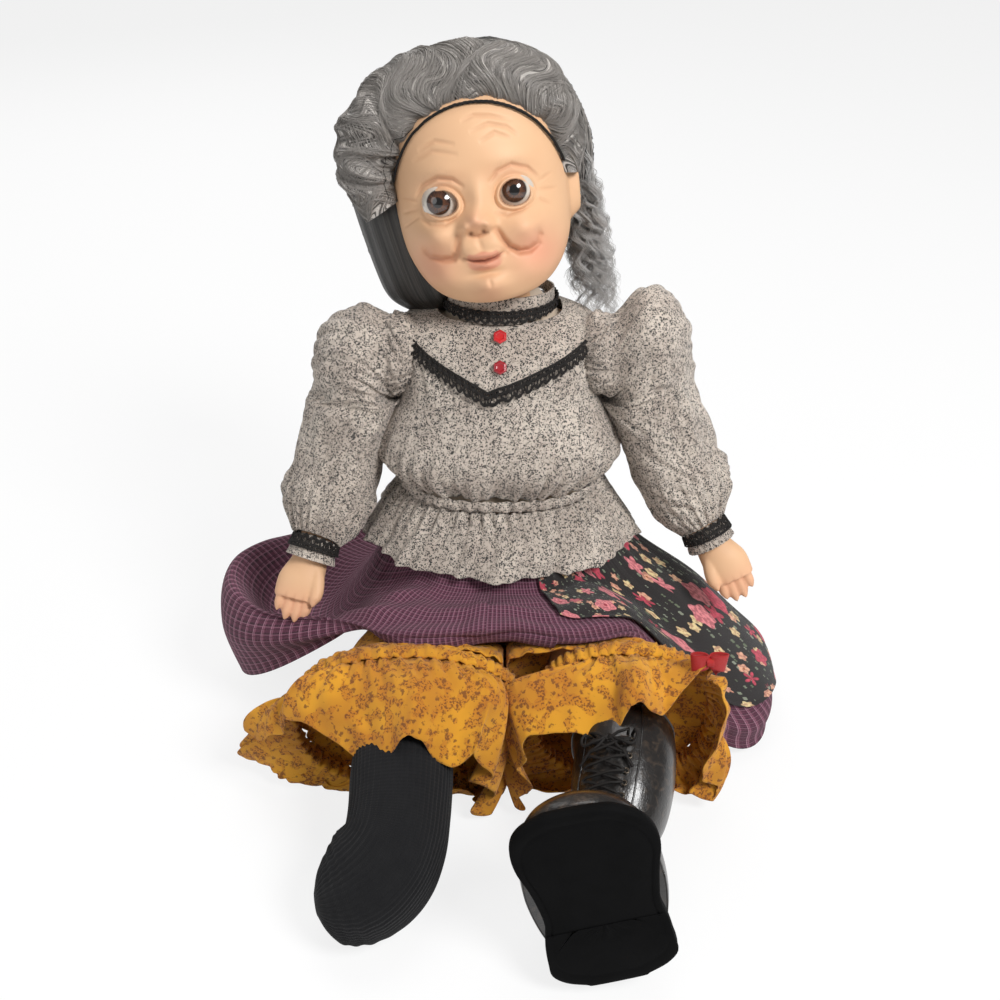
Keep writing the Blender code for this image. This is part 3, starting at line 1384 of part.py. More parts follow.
def make_boot(leather, sole_rubber, cord):
    ahead, across, out = boot_frame()
    face = SOLE_MIDDLE + out * SOLE_THICKNESS
    slab("boot_sole", sole_ring(SOLE_MIDDLE, 0.0, 1.0), sole_ring(face, 0.0, 1.0), sole_rubber)
    low = face + out * CLEARANCE
    slab("boot_heel", sole_ring(low, 0.0, HEEL_SHARE),
         sole_ring(low + out * HEEL_THICKNESS, 0.0, HEEL_SHARE), sole_rubber)
    cloth_tube("boot_upper", list(reversed(boot_rings(0.0, 0.0))),
               list(reversed(boot_rings(-BOOT_WALL, BOOT_WALL))), leather, closed_end=True)
    sheet("boot_tongue", lambda u, v: tongue_face(1.0 - u, v), 4, 8, TONGUE_WALL, leather)
    points = []
    turns = 4 * LACE_CROSSINGS
    for index in range(turns + 1):
        v = 0.06 + 0.88 * index / turns
        u = 0.5 + LACE_SWING_SHARE * math.sin(2.0 * math.pi * index / 4.0 + math.pi / 4)
        lift = TONGUE_GAP + TONGUE_WALL + 2 * CLEARANCE + LACE_CORD_RADIUS
        points.append(lifted(tongue_point, u, v, lift))
    swept("boot_laces", points, lambda t: LACE_CORD_RADIUS, cord, 5)


LACE_SWING_SHARE = 0.34
# The bow across its width: place, half height and half thickness, as shares of its width
BOW_SHARES = (
    (-0.50, 0.30, 0.07), (-0.30, 0.26, 0.10), (-0.08, 0.10, 0.07), (0.00, 0.12, 0.10),
    (0.08, 0.10, 0.07), (0.30, 0.26, 0.10), (0.50, 0.30, 0.07),
)
BOW_TURN_SHARE = 0.20
BOW_DROP_SHARE = 0.62


def make_bow(red):
    def face(turn, drop):
        return ruffle_point("left", 1.0, turn, drop)
    spot = face(BOW_TURN_SHARE, BOW_DROP_SHARE)
    step = 0.01
    side = face(BOW_TURN_SHARE + step, BOW_DROP_SHARE) - face(BOW_TURN_SHARE - step,
                                                             BOW_DROP_SHARE)
    rise = face(BOW_TURN_SHARE, BOW_DROP_SHARE + step) - face(BOW_TURN_SHARE,
                                                             BOW_DROP_SHARE - step)
    normal = side.cross(rise).normalized()
    if normal.y > 0:
        normal = -normal
    middle = spot + normal * (BOW_SEAT + BOW_SHARES[1][2] * BOW_WIDTH)
    along_bow = (side - normal * side.dot(normal)).normalized()
    up = normal.cross(along_bow)
    rings = []
    for place, tall, thick in BOW_SHARES:
        rings.append(oval(middle + along_bow * place * BOW_WIDTH, up, normal,
                          tall * BOW_WIDTH, thick * BOW_WIDTH, COARSE))
    loft("red_bow", rings, red)


BOW_SEAT = 1.6 * MM


def main():
    clear_scene()
    vinyl = material("vinyl", (0.71, 0.47, 0.31), 0.45)
    body_cloth = material("body_cloth", (0.72, 0.62, 0.50), 0.9)
    plastic = material("joint_plastic", (0.80, 0.79, 0.75), 0.5)
    white = material("eye_white", (0.85, 0.82, 0.76), 0.15)
    calico = material("calico", (0.33, 0.28, 0.23), 0.9)
    black_lace = material("black_lace", (0.02, 0.02, 0.022), 0.9)
    red = material("red_button", (0.55, 0.01, 0.04), 0.3)
    plaid = material("plum_plaid", (0.075, 0.025, 0.06), 0.85)
    floral = material("black_floral", (0.03, 0.03, 0.03), 0.85)
    ochre = material("ochre_calico", (0.72, 0.36, 0.02), 0.9)
    grey_hair = material("grey_hair", (0.27, 0.27, 0.27), 0.6)
    net = material("black_net", (0.015, 0.015, 0.018), 0.8)
    leather = material("boot_leather", (0.02, 0.018, 0.015), 0.25)
    rubber = material("sole_rubber", (0.006, 0.006, 0.006), 0.8)
    knit = material("sock_knit", (0.008, 0.008, 0.009), 0.95)
    ribbon = material("red_ribbon", (0.65, 0.01, 0.02), 0.5)

    make_body(body_cloth, plastic)
    make_neck_tie(plastic)
    cover = make_seat_cover(ochre)
    for end, side in SIDES:
        reach = HIP_HALF_WIDTH + CUT_OVERRUN
        profile = ((HIP_HALF_WIDTH / 2, WASHER_RADIUS + CLEARANCE),
                   (reach, WASHER_RADIUS + CLEARANCE))
        cut(cover, turned("pin_hole", profile, Vector((0.0, 0.0, HIP_HEIGHT)),
                          X_AXIS * side, None))
    make_blouse(calico, black_lace, red)
    make_collar(calico, black_lace)
    make_peplum(calico, calico)
    make_skirt(plaid, floral)
    make_head(vinyl, white)
    make_wig_cap(net)
    make_hair(grey_hair, net, net)
    for end, side in SIDES:
        make_arm(end, side, vinyl)
        make_sleeve(end, side, calico, black_lace)
        make_leg(end, side, vinyl, knit)
        make_bloomer_leg(end, side, ochre, ochre)
    make_boot(leather, rubber, net)
    make_bow(ribbon)


main()
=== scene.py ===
"""The looks of a seated old-woman doll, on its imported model."""
import json
import math
import random

import bmesh
import bpy
from mathutils import Matrix, Vector, noise


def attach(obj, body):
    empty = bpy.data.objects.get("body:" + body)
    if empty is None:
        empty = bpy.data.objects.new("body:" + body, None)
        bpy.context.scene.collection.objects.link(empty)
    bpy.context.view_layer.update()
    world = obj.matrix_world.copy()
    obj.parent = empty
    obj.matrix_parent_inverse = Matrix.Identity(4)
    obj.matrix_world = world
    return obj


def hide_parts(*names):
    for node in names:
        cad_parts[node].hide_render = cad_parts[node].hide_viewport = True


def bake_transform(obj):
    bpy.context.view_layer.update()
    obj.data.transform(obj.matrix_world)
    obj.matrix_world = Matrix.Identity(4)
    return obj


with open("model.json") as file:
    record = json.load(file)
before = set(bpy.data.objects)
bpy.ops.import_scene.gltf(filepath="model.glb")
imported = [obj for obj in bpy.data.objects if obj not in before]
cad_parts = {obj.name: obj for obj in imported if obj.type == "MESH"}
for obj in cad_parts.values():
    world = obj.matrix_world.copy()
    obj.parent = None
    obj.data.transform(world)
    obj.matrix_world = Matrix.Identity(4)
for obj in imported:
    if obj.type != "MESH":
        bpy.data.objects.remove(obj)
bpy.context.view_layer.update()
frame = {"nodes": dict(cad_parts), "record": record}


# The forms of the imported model, in metres

MM = 0.001

# Gaps and cloth
CLEARANCE = 0.4 * MM
CLOTH = 1.2 * MM
THIN_CLOTH = 0.8 * MM
FLOOR_GAP = 0.6 * MM

# Stuffed body
TORSO_HEIGHT = 188.0 * MM
TORSO_WIDTH = 92.0 * MM
TORSO_DEPTH = 70.0 * MM
SEAT_GAP = 0.7 * MM

# Joints
SHOULDER_HEIGHT = 172.0 * MM
SHOULDER_BACK = 17.0 * MM
SHOULDER_HALF_WIDTH = 38.5 * MM
HIP_HEIGHT = 38.0 * MM
WASHER_THICKNESS = 1.2 * MM

# Head, in its own tilted frame
HEAD_CENTRE = Vector((-8.5 * MM, 40.0 * MM, 240.0 * MM))
HEAD_TILT_BACK = math.radians(19.5)
HEAD_ROLL = math.radians(9.3)
HEAD_WIDTH = 71.0 * MM
HEAD_DEPTH = 84.0 * MM
HEAD_HEIGHT = 96.0 * MM
NECK_RADIUS = 13.0 * MM
NECK_DEPTH = 62.0 * MM
NECK_BACK = 6.0 * MM
EYE_RADIUS = 8.5 * MM
EYE_SPACING = 28.0 * MM
EYE_HEIGHT = -8.0 * MM
FACE_SHIFT = -1.3 * MM
HAIR_ROLL_RADIUS = 13.0 * MM
ELASTIC_RADIUS = 0.9 * MM

# Blouse
BLOUSE_LENGTH = 67.0 * MM
WAIST_HEIGHT = 121.0 * MM
BUST_HALF_WIDTH = 52.5 * MM
BUST_HALF_DEPTH = 35.0 * MM
COLLAR_HEIGHT = 10.0 * MM
COLLAR_BACK_HEIGHT = 3.0 * MM
LACE_WIDTH = 7.0 * MM
BUTTON_RADIUS = 3.0 * MM
BUTTON_THICKNESS = 1.6 * MM
PEPLUM_LENGTH = 23.6 * MM
PEPLUM_FLARE = 18.5 * MM
PEPLUM_DEPTH_FLARE = 13.0 * MM
CASING_HEIGHT = 5.0 * MM
ARMHOLE_RADIUS = 15.0 * MM
SLEEVE_RADIUS = 17.0 * MM
CUFF_RADIUS = 9.4 * MM
ARM_RADIUS = 11.0 * MM
ARM_LENGTH = 112.0 * MM

# Skirt, apron and bloomers
SKIRT_REACH = 130.0 * MM
SKIRT_WAIST_HEIGHT = 117.0 * MM
BLOOMER_RISE = 102.0 * MM
BAND_WIDTH = 5.0 * MM
RUFFLE_DEPTH = 40.0 * MM
RUFFLE_WAVE = 4.0 * MM

# Legs, sock and boot
LEG_REACH = 150.0 * MM
THIGH_RADIUS = 26.0 * MM
SOCK = 1.2 * MM
BOOT_LENGTH = 75.0 * MM
BOOT_WIDTH = 54.0 * MM
SOLE_THICKNESS = 5.0 * MM
HEEL_THICKNESS = 2.4 * MM
BOOT_WALL = 2.0 * MM
BOOT_FIT = 1.2 * MM
LACE_CORD_RADIUS = 0.8 * MM
BOW_WIDTH = 14.0 * MM
FINE = 20


def smooth_step(value):
    value = min(max(value, 0.0), 1.0)
    return value * value * (3.0 - 2.0 * value)


def bump(value, centre, width):
    """A smooth hill of height 1 at centre that fades out over width."""
    return math.exp(-((value - centre) / width) ** 2)


def along(table, place):
    """Read a table of rows smoothly, with place running from 0 to 1 over its rows."""
    last = len(table) - 1
    spot = min(max(place, 0.0), 1.0) * last
    index = min(int(spot), last - 1)
    t = spot - index
    rows = [table[min(max(index + step, 0), last)] for step in (-1, 0, 1, 2)]
    values = []
    for a, b, c, d in zip(*rows):
        bend = (2.0 * a - 5.0 * b + 4.0 * c - d) * t + (3.0 * b - a - 3.0 * c + d) * t * t
        values.append(b + 0.5 * t * (c - a + bend))
    return values


def around(table, turn):
    """Read a closed table of rows smoothly, with turn running from 0 to 1 round it."""
    count = len(table)
    spot = (turn % 1.0) * count
    index = int(spot) % count
    t = smooth_step(spot - int(spot))
    return [a + (b - a) * t for a, b in zip(table[index], table[(index + 1) % count])]


def oval(centre, across, up, half_across, half_up, count, square=2.0):
    """One closed ring: an ellipse, or a squarer oval where square is over 2."""
    ring = []
    for index in range(count):
        angle = 2.0 * math.pi * index / count
        c, s = math.cos(angle), math.sin(angle)
        share = 2.0 / square
        x = math.copysign(abs(c) ** share, c) * half_across
        y = math.copysign(abs(s) ** share, s) * half_up
        ring.append(centre + across * x + up * y)
    return ring


X_AXIS = Vector((1.0, 0.0, 0.0))
Y_AXIS = Vector((0.0, 1.0, 0.0))
Z_AXIS = Vector((0.0, 0.0, 1.0))
SIDES = (("left", 1.0), ("right", -1.0))

# Rows of the stuffed body from the seat up: height, centre, half width and half depth,
# as shares of the torso's height, depth, width and depth
BODY_SHARES = (
    (0.012, 0.02, 0.155, 0.42),
    (0.140, 0.02, 0.168, 0.46),
    (0.330, 0.02, 0.168, 0.46),
    (0.420, 0.06, 0.360, 0.46),
    (0.520, 0.10, 0.385, 0.39),
    (0.640, 0.15, 0.400, 0.36),
    (0.740, 0.19, 0.450, 0.40),
    (0.850, 0.24, 0.420, 0.34),
    (0.925, 0.26, 0.414, 0.27),
    (0.970, 0.34, 0.360, 0.220),
    (0.990, 0.385, 0.215, 0.215),
    (0.998, 0.42, 0.197, 0.228),
    (1.022, 0.42, 0.197, 0.228),
)


def body_ring(row, spare):
    """One ring of the stuffed body, grown outwards by spare."""
    height, centre, half_width, half_depth = row
    place = Vector((0.0, centre * TORSO_DEPTH, height * TORSO_HEIGHT))
    return oval(place, X_AXIS, Y_AXIS, half_width * TORSO_WIDTH + spare,
                half_depth * TORSO_DEPTH + spare, FINE, 2.4)


JOINT_GAP = WASHER_THICKNESS + 2 * CLEARANCE


def neck_frame():
    """The head's own axes: across to its left, back, and up along the neck."""
    turn = Matrix.Rotation(-HEAD_TILT_BACK, 3, "X") @ Matrix.Rotation(-HEAD_ROLL, 3, "Y")
    return turn @ X_AXIS, turn @ Y_AXIS, turn @ Z_AXIS


def in_head(across, forward, up):
    """A place given in the head's own frame."""
    side, rear, top = neck_frame()
    return HEAD_CENTRE + side * across - rear * forward + top * up


# Rows of the blouse's body from the waist to the neck: height above the waist, centre,
# half width and half depth, as shares of its length, bust depth, bust width and bust depth
BLOUSE_SHARES = (
    (0.00, 0.31, 0.80, 0.87),
    (0.15, 0.34, 0.98, 1.00),
    (0.33, 0.40, 0.93, 0.98),
    (0.51, 0.48, 0.80, 0.86),
    (0.67, 0.52, 0.78, 0.77),
    (0.82, 0.60, 0.82, 0.66),
    (0.94, 0.74, 0.76, 0.56),
    (1.00, 0.83, 0.50, 0.54),
)


def blouse_point(turn, rise, spare=0.0):
    """The blouse's face at a turn (0 is the front, 0.25 its left side) and a rise."""
    height, centre, half_width, half_depth = along(BLOUSE_SHARES, rise)
    angle = 2.0 * math.pi * turn
    share = 2.0 / 2.4
    c, s = math.cos(angle), math.sin(angle)
    x = math.copysign(abs(s) ** share, s) * (half_width * BUST_HALF_WIDTH + spare)
    y = -math.copysign(abs(c) ** share, c) * (half_depth * BUST_HALF_DEPTH + spare)
    return Vector((x, centre * BUST_HALF_DEPTH + y, WAIST_HEIGHT + height * BLOUSE_LENGTH))


# The yoke's lower edge from its right end to the point and up to its left end, as shares
# of the turn round the blouse and of its rise
YOKE_EDGE_SHARES = ((-0.16, 0.79), (-0.08, 0.70), (0.0, 0.53), (0.08, 0.70), (0.16, 0.79))
YOKE_TOP_SHARE = 0.93
BUTTON_RISE_SHARES = (0.86, 0.70)


def yoke_edge(u):
    return along(YOKE_EDGE_SHARES, u)


BUTTON_SEAT = 0.9 * MM

# The collar: its radius, and how far its foot stands before the blouse's neck
COLLAR_RADIUS = 23.0 * MM
COLLAR_BACK = 31.0 * MM
COLLAR_FOOT = WAIST_HEIGHT + BLOUSE_LENGTH + CLEARANCE


def collar_point(turn, rise, spare=0.0):
    """The stand collar: highest in front, and low behind under the hair."""
    angle = -2.0 * math.pi * turn
    radius = COLLAR_RADIUS + spare
    front = 0.5 + 0.5 * math.cos(angle)
    height = rise * (COLLAR_BACK_HEIGHT + (COLLAR_HEIGHT - COLLAR_BACK_HEIGHT) * front)
    lean = height * math.tan(HEAD_TILT_BACK)
    return Vector((radius * math.sin(angle), COLLAR_BACK + lean - radius * math.cos(angle),
                   COLLAR_FOOT + height))


PEPLUM_WAVES = 9
PEPLUM_WAVE = 1.6 * MM
PEPLUM_CENTRE = 10.0 * MM
PEPLUM_FORWARD = 3.0 * MM


def peplum_point(turn, drop):
    """The peplum from the gathered waist at drop 0 to its hem at drop 1."""
    angle = -2.0 * math.pi * turn
    wave = PEPLUM_WAVE * drop * math.cos(PEPLUM_WAVES * angle)
    spread = drop ** 0.8
    across = BLOUSE_SHARES[0][2] * BUST_HALF_WIDTH + PEPLUM_FLARE * spread + wave
    depth = BLOUSE_SHARES[0][3] * BUST_HALF_DEPTH + PEPLUM_DEPTH_FLARE * spread + wave
    centre = PEPLUM_CENTRE - PEPLUM_FORWARD * drop
    return Vector((across * math.sin(angle), centre - depth * math.cos(angle),
                   WAIST_HEIGHT - CASING_HEIGHT - 2 * CLEARANCE - PEPLUM_LENGTH * drop))


# The arm's stations from the shoulder's turn to the fingers: out to the side, forward and
# down, as shares of the arm's length, then half width and half thickness, as shares of the
# arm's radius
ARM_SHARES = (
    (0.00, 0.00, 0.00, 1.00, 1.00),
    (0.04, 0.05, 0.20, 0.95, 0.95),
    (0.07, 0.11, 0.42, 0.86, 0.88),
    (0.11, 0.20, 0.60, 0.80, 0.80),
    (0.15, 0.29, 0.72, 0.62, 0.66),
    (0.17, 0.33, 0.79, 0.72, 0.58),
    (0.20, 0.38, 0.86, 0.90, 0.55),
    (0.22, 0.42, 0.93, 0.86, 0.48),
    (0.23, 0.44, 0.98, 0.40, 0.28),
)
# How far each arm goes out, forward and down, as shares of the stations above
ARM_WAY_SHARES = {"left": (1.60, 0.65, 0.80), "right": (1.0, 1.0, 0.745)}
ARMPIT_GAP = 2.0 * MM
SLEEVE_ROOM = 3.5 * MM
ARMPIT_DROP = ARMPIT_GAP + SLEEVE_RADIUS
# The sleeve's swell over the shoulder, then along the arm: its place from the shoulder's
# turn to the cuff, its reach inwards, outwards and its half depth, as shares of its radius
PUFF_SHARES = {
    "left": ((0.97, 0.97, 0.97), (1.04, 1.72, 1.20), (1.00, 1.66, 1.30), (0.90, 1.40, 1.20),
             (0.86, 1.18, 1.08)),
    "right": ((0.97, 0.97, 0.97), (1.04, 1.20, 1.10), (1.00, 1.14, 1.20), (0.90, 1.04, 1.14),
              (0.86, 0.96, 1.06)),
}
SLEEVE_SHARES = (
    (0.86, 1.00, 1.07),
    (0.84, 1.02, 1.04),
    (0.90, 1.10, 1.06),
    (0.92, 1.16, 1.06),
    (0.58, 0.64, 0.70),
)


def armpit(side):
    start = SLEEVE_STARTS["left" if side > 0 else "right"]
    far = SHOULDER_HALF_WIDTH + JOINT_GAP + start
    return Vector((side * far, SHOULDER_BACK, SHOULDER_HEIGHT - ARMPIT_DROP))


SLEEVE_STARTS = {"left": 8.0 * MM, "right": 6.5 * MM}
# How far each sleeve turns down over the shoulder before it follows the arm
SLEEVE_TURNS = {"left": math.radians(66.0), "right": math.radians(82.0)}


def arm_place(end, side, place):
    """A point of the arm's middle line below the shoulder, with its direction."""
    def spot(t):
        out, forward, down = along([row[:3] for row in ARM_SHARES], t)
        turn = SLEEVE_TURNS[end]
        way = X_AXIS * side * math.sin(turn) + Z_AXIS * math.cos(turn)
        start = armpit(side) + way * (ARMPIT_GAP + SLEEVE_ROOM + ARM_RADIUS)
        spread, ahead, drop = ARM_WAY_SHARES[end]
        return start + Vector((side * out * spread, -forward * ahead, -down * drop)) * ARM_LENGTH
    step = 0.02
    ahead = (spot(min(place + step, 1.0)) - spot(max(place - step, 0.0))).normalized()
    across = (X_AXIS * side - ahead * (X_AXIS * side).dot(ahead)).normalized()
    return spot(place), across, ahead.cross(across) * -side


def shoulder_rings(end, side, gap, radius, swell, count, sides):
    """Rings that turn from the body's side down to the arm, about the armpit."""
    rings = []
    for index in range(count):
        t = index / (count - 1)
        inner, outer, depth = along(swell, t)
        angle = t * SLEEVE_TURNS[end]
        out = Z_AXIS * math.cos(angle) + X_AXIS * side * math.sin(angle)
        half = radius * (inner + outer) / 2
        shift = ARMPIT_GAP + gap + half
        rings.append(oval(armpit(side) + out * shift, out, Y_AXIS, half, radius * depth, sides))
    return rings


PLAIN_SHARES = ((1.18, 1.18, 1.18), (1.05, 1.05, 1.05), (1.0, 1.0, 1.0))


def sleeve_rings(end, side, spare, sides):
    """The sleeve's rings from the armhole to the cuff, grown by spare."""
    radius = SLEEVE_RADIUS
    rings = shoulder_rings(end, side, -spare, radius + spare, PUFF_SHARES[end], 6, sides)
    mouth = []
    reach = SHOULDER_HALF_WIDTH + JOINT_GAP + SLEEVE_MOUTH
    for point in rings[0]:
        mouth.append(Vector((side * reach, point.y, point.z)))
    rings.insert(0, mouth)
    steps = 6
    for index in range(1, steps + 1):
        t = index / steps
        centre, across, depth = arm_place(end, side, t * SLEEVE_END_SHARE)
        inner, outer, half = along(SLEEVE_SHARES, t)
        shift = radius * (outer - inner) / 2
        rings.append(oval(centre + across * shift, across, depth,
                          radius * (inner + outer) / 2 + spare, radius * half + spare, sides))
    return rings


SLEEVE_MOUTH = 3.4 * MM
SLEEVE_END_SHARE = 0.47
CUFF_END_SHARE = 0.60

CUFF_START_SHARE = 0.005
CUFF_FLARE_SHARE = 0.15
CUFF_LACE_SHARE = 0.45

# Rows of the head from the chin up: height, reach forward, reach back and half width, and
# how much higher the row runs behind than in front, as shares of the head's height, depth,
# depth, width and height
HEAD_SHARES = (
    (-0.480, 0.165, 0.260, 0.225, 0.085),
    (-0.515, 0.290, 0.360, 0.340, 0.210),
    (-0.460, 0.365, 0.430, 0.410, 0.190),
    (-0.355, 0.405, 0.475, 0.460, 0.125),
    (-0.230, 0.417, 0.500, 0.487, 0.040),
    (-0.083, 0.411, 0.500, 0.500, 0.000),
    (0.083, 0.423, 0.500, 0.500, 0.000),
    (0.230, 0.393, 0.476, 0.480, 0.000),
    (0.344, 0.310, 0.405, 0.400, 0.000),
    (0.427, 0.190, 0.286, 0.268, 0.000),
    (0.474, 0.060, 0.107, 0.100, 0.000),
)
# What stands out of the face or sinks into it: across, height, width and height of the
# spot, and how far it stands out, as shares of the head's width, height, width, height
# and depth
FACE_SHARES = (
    (0.00, -0.190, 0.085, 0.055, 0.075),
    (0.00, -0.110, 0.075, 0.080, 0.022),
    (-0.21, -0.083, 0.120, 0.070, -0.034),
    (0.21, -0.083, 0.120, 0.070, -0.034),
    (-0.26, -0.235, 0.120, 0.090, 0.030),
    (0.26, -0.235, 0.120, 0.090, 0.030),
    (0.00, -0.330, 0.120, 0.035, 0.024),
    (0.00, -0.390, 0.130, 0.022, -0.016),
    (0.00, -0.455, 0.130, 0.050, 0.026),
    (0.00, 0.050, 0.350, 0.050, 0.010),
)
EAR_HEIGHT_SHARE = -0.11
EAR_BACK_SHARE = 0.04
EAR_STAND = 4.0 * MM
EAR_LENGTH = 9.0 * MM
EAR_WIDTH = 5.0 * MM


def head_local(turn, rise, spare=0.0, features=True):
    """Across, forward and up of a spot on the head; turn 0 is the middle of the face."""
    row, front, back, half_width, tilt = along(HEAD_SHARES, rise)
    angle = 2.0 * math.pi * turn
    c, s = math.cos(angle), math.sin(angle)
    across = s * (half_width * HEAD_WIDTH + spare)
    forward = c * ((front if c > 0 else back) * HEAD_DEPTH + spare)
    shift = spare * (smooth_step(rise * 4.0 - 3.0) - smooth_step(1.0 - rise * 5.0))
    up = (row + tilt * (1.0 - c) / 2) * HEAD_HEIGHT + shift
    if features:
        front_share = smooth_step(c * 2.0)
        for x, z, width, height, stand in FACE_SHARES:
            hill = bump(across, x * HEAD_WIDTH, width * HEAD_WIDTH)
            hill *= bump(up, z * HEAD_HEIGHT, height * HEAD_HEIGHT)
            forward += hill * stand * HEAD_DEPTH * front_share
        ear = bump(up, EAR_HEIGHT_SHARE * HEAD_HEIGHT, EAR_LENGTH)
        ear *= bump(forward, -EAR_BACK_SHARE * HEAD_DEPTH, EAR_WIDTH)
        across += math.copysign(EAR_STAND * ear, s)
    return across, forward, up


NECK_TOP_SHARE = -0.44


def eye_place(side):
    return in_head(side * EYE_SPACING / 2 + FACE_SHIFT, EYE_FORWARD, EYE_HEIGHT)


EYE_FORWARD = 24.0 * MM

# Rows of the hair behind the roll, from the nape up: height, reach forward, reach back,
# half width and shift across, as shares of the head's height, depth, depth, width, width
HAIR_SHARES = (
    (-0.370, 0.00, 0.46, 0.44, -0.12),
    (-0.290, 0.08, 0.54, 0.60, -0.09),
    (-0.150, 0.12, 0.61, 0.68, -0.07),
    (0.040, 0.14, 0.64, 0.73, -0.05),
    (0.210, 0.14, 0.64, 0.71, -0.05),
    (0.355, 0.14, 0.57, 0.62, -0.04),
    (0.470, 0.12, 0.43, 0.48, -0.04),
    (0.540, 0.07, 0.24, 0.26, -0.04),
)
ROLL_START = math.radians(-112.0)
ROLL_END = math.radians(104.0)
# The front roll's middle line and thickness: reach across, rise, reach forward, radius
# and how flat it is, as shares of the head's width, height, depth and the roll's radius
ROLL_SHARES = (
    (0.56, 0.36, 0.08, 0.66),
    (0.57, 0.36, 0.14, 1.00),
    (0.56, 0.33, 0.20, 1.04),
    (0.55, 0.32, 0.23, 1.04),
    (0.54, 0.33, 0.20, 1.02),
    (0.53, 0.36, 0.12, 0.95),
    (0.52, 0.38, 0.04, 0.60),
)
ROLL_RISE_SHARE = 0.06
ROLL_SHIFT_SHARE = -0.045


def hair_point(angle, rise, spare=0.0):
    height, front, back, half_width, shift = along(HAIR_SHARES, rise)
    middle = (front - back) / 2 * HEAD_DEPTH
    half_depth = (front + back) / 2 * HEAD_DEPTH + spare
    c, s = math.cos(angle), math.sin(angle)
    share = 2.0 / 2.6
    across = math.copysign(abs(s) ** share, s) * (half_width * HEAD_WIDTH + spare)
    forward = math.copysign(abs(c) ** share, c) * half_depth
    return in_head(shift * HEAD_WIDTH + across, middle + forward, height * HEAD_HEIGHT)


def roll_line(t):
    """A point of the front roll's middle line and its radius; t runs right to left."""
    angle = ROLL_START + (ROLL_END - ROLL_START) * t
    across, rise, forward, radius = along(ROLL_SHARES, t)
    place = in_head(ROLL_SHIFT_SHARE * HEAD_WIDTH + across * HEAD_WIDTH * math.sin(angle),
                    forward * HEAD_DEPTH,
                    ROLL_RISE_SHARE * HEAD_HEIGHT + rise * HEAD_HEIGHT * math.cos(angle))
    return place, radius * HAIR_ROLL_RADIUS


HAIR_COLUMNS = 20

# The hairnet's edges, in the hair's own columns and rows
NET_EDGE = 5
NET_LOW = 1
NET_HIGH = 6
ELASTIC_REACH = math.radians(62.0)
ELASTIC_TOP_SHARE = 0.735


def lifted(point_at, u, v, lift):
    """A point above the face of point_at, by lift along its normal."""
    step = 0.02
    side = point_at(u + step, v) - point_at(u - step, v)
    rise = point_at(u, min(v + step, 1.0)) - point_at(u, max(v - step, 0.0))
    return point_at(u, v) - side.cross(rise).normalized() * lift


# The skirt at eight turns from the front round by its left: reach from the middle and
# height of each row from the waist to the hem, as shares of its reach and waist height
SKIRT_SHARES = (
    (0.195, 0.91, 0.240, 0.85, 0.30, 0.712, 0.39, 0.728, 0.445, 0.712, 0.47, 0.675, 0.44,
     0.658, 0.40, 0.662),
    (0.232, 0.91, 0.288, 0.83, 0.35, 0.72, 0.46, 0.72, 0.55, 0.70, 0.595, 0.665, 0.58, 0.655,
     0.54, 0.657),
    (0.305, 0.91, 0.37, 0.81, 0.50, 0.67, 0.69, 0.50, 0.84, 0.32, 0.96, 0.17, 0.99, 0.07,
     0.93, 0.013),
    (0.295, 0.91, 0.33, 0.82, 0.43, 0.66, 0.55, 0.47, 0.68, 0.27, 0.77, 0.12, 0.80, 0.06,
     0.76, 0.013),
    (0.262, 0.91, 0.29, 0.82, 0.37, 0.65, 0.48, 0.44, 0.57, 0.26, 0.65, 0.12, 0.67, 0.06,
     0.64, 0.013),
    (0.295, 0.91, 0.33, 0.80, 0.43, 0.60, 0.57, 0.40, 0.71, 0.36, 0.84, 0.38, 0.88, 0.20,
     0.84, 0.05),
    (0.305, 0.91, 0.37, 0.78, 0.49, 0.54, 0.64, 0.35, 0.80, 0.37, 0.95, 0.56, 1.00, 0.36,
     0.96, 0.12),
    (0.232, 0.91, 0.288, 0.83, 0.35, 0.72, 0.45, 0.71, 0.54, 0.70, 0.595, 0.668, 0.58, 0.655,
     0.54, 0.657),
)
SKIRT_CENTRE = 5.0 * MM
SKIRT_FOLDS = 15
SKIRT_FOLD = 1.4 * MM
# Where the skirt spreads forward on the floor beside the left leg
SKIRT_SPREAD = 30.0 * MM
SPREAD_TURN_SHARE = 0.185
SPREAD_WIDTH_SHARE = 0.035
SPREAD_HEIGHT_SHARE = 0.03


def skirt_point(turn, drop):
    values = around(SKIRT_SHARES, turn)
    pairs = list(zip(values[0::2], values[1::2]))
    reach, height = along(pairs, drop)
    angle = 2.0 * math.pi * turn
    side_share = 0.5 - 0.5 * math.cos(angle)
    fold = SKIRT_FOLD * drop * side_share * math.cos(SKIRT_FOLDS * angle)
    spread = bump(turn % 1.0, SPREAD_TURN_SHARE, SPREAD_WIDTH_SHARE) * drop * drop
    radius = reach * SKIRT_REACH + fold + SKIRT_SPREAD * spread
    level = height * (1.0 - spread) + SPREAD_HEIGHT_SHARE * spread
    return Vector((radius * math.sin(angle), SKIRT_CENTRE - radius * math.cos(angle),
                   level * SKIRT_WAIST_HEIGHT))


SKIRT_COLUMNS = 45
SKIRT_ROWS = 9
# The apron on the skirt: its edges in the skirt's own columns and rows
APRON_START = 3
APRON_END = 12
APRON_TOP = 2
APRON_LOW = 8
# The cut hem's two ends, down the apron's right and left edges
APRON_HEM_SHARES = (0.475, 0.907)

# The thigh's rounded root behind the hip's axis: place behind it and half width, as
# shares of the thigh's radius and half width
ROOT_SHARES = ((0.985, 0.70), (0.86, 0.92), (0.52, 1.00))
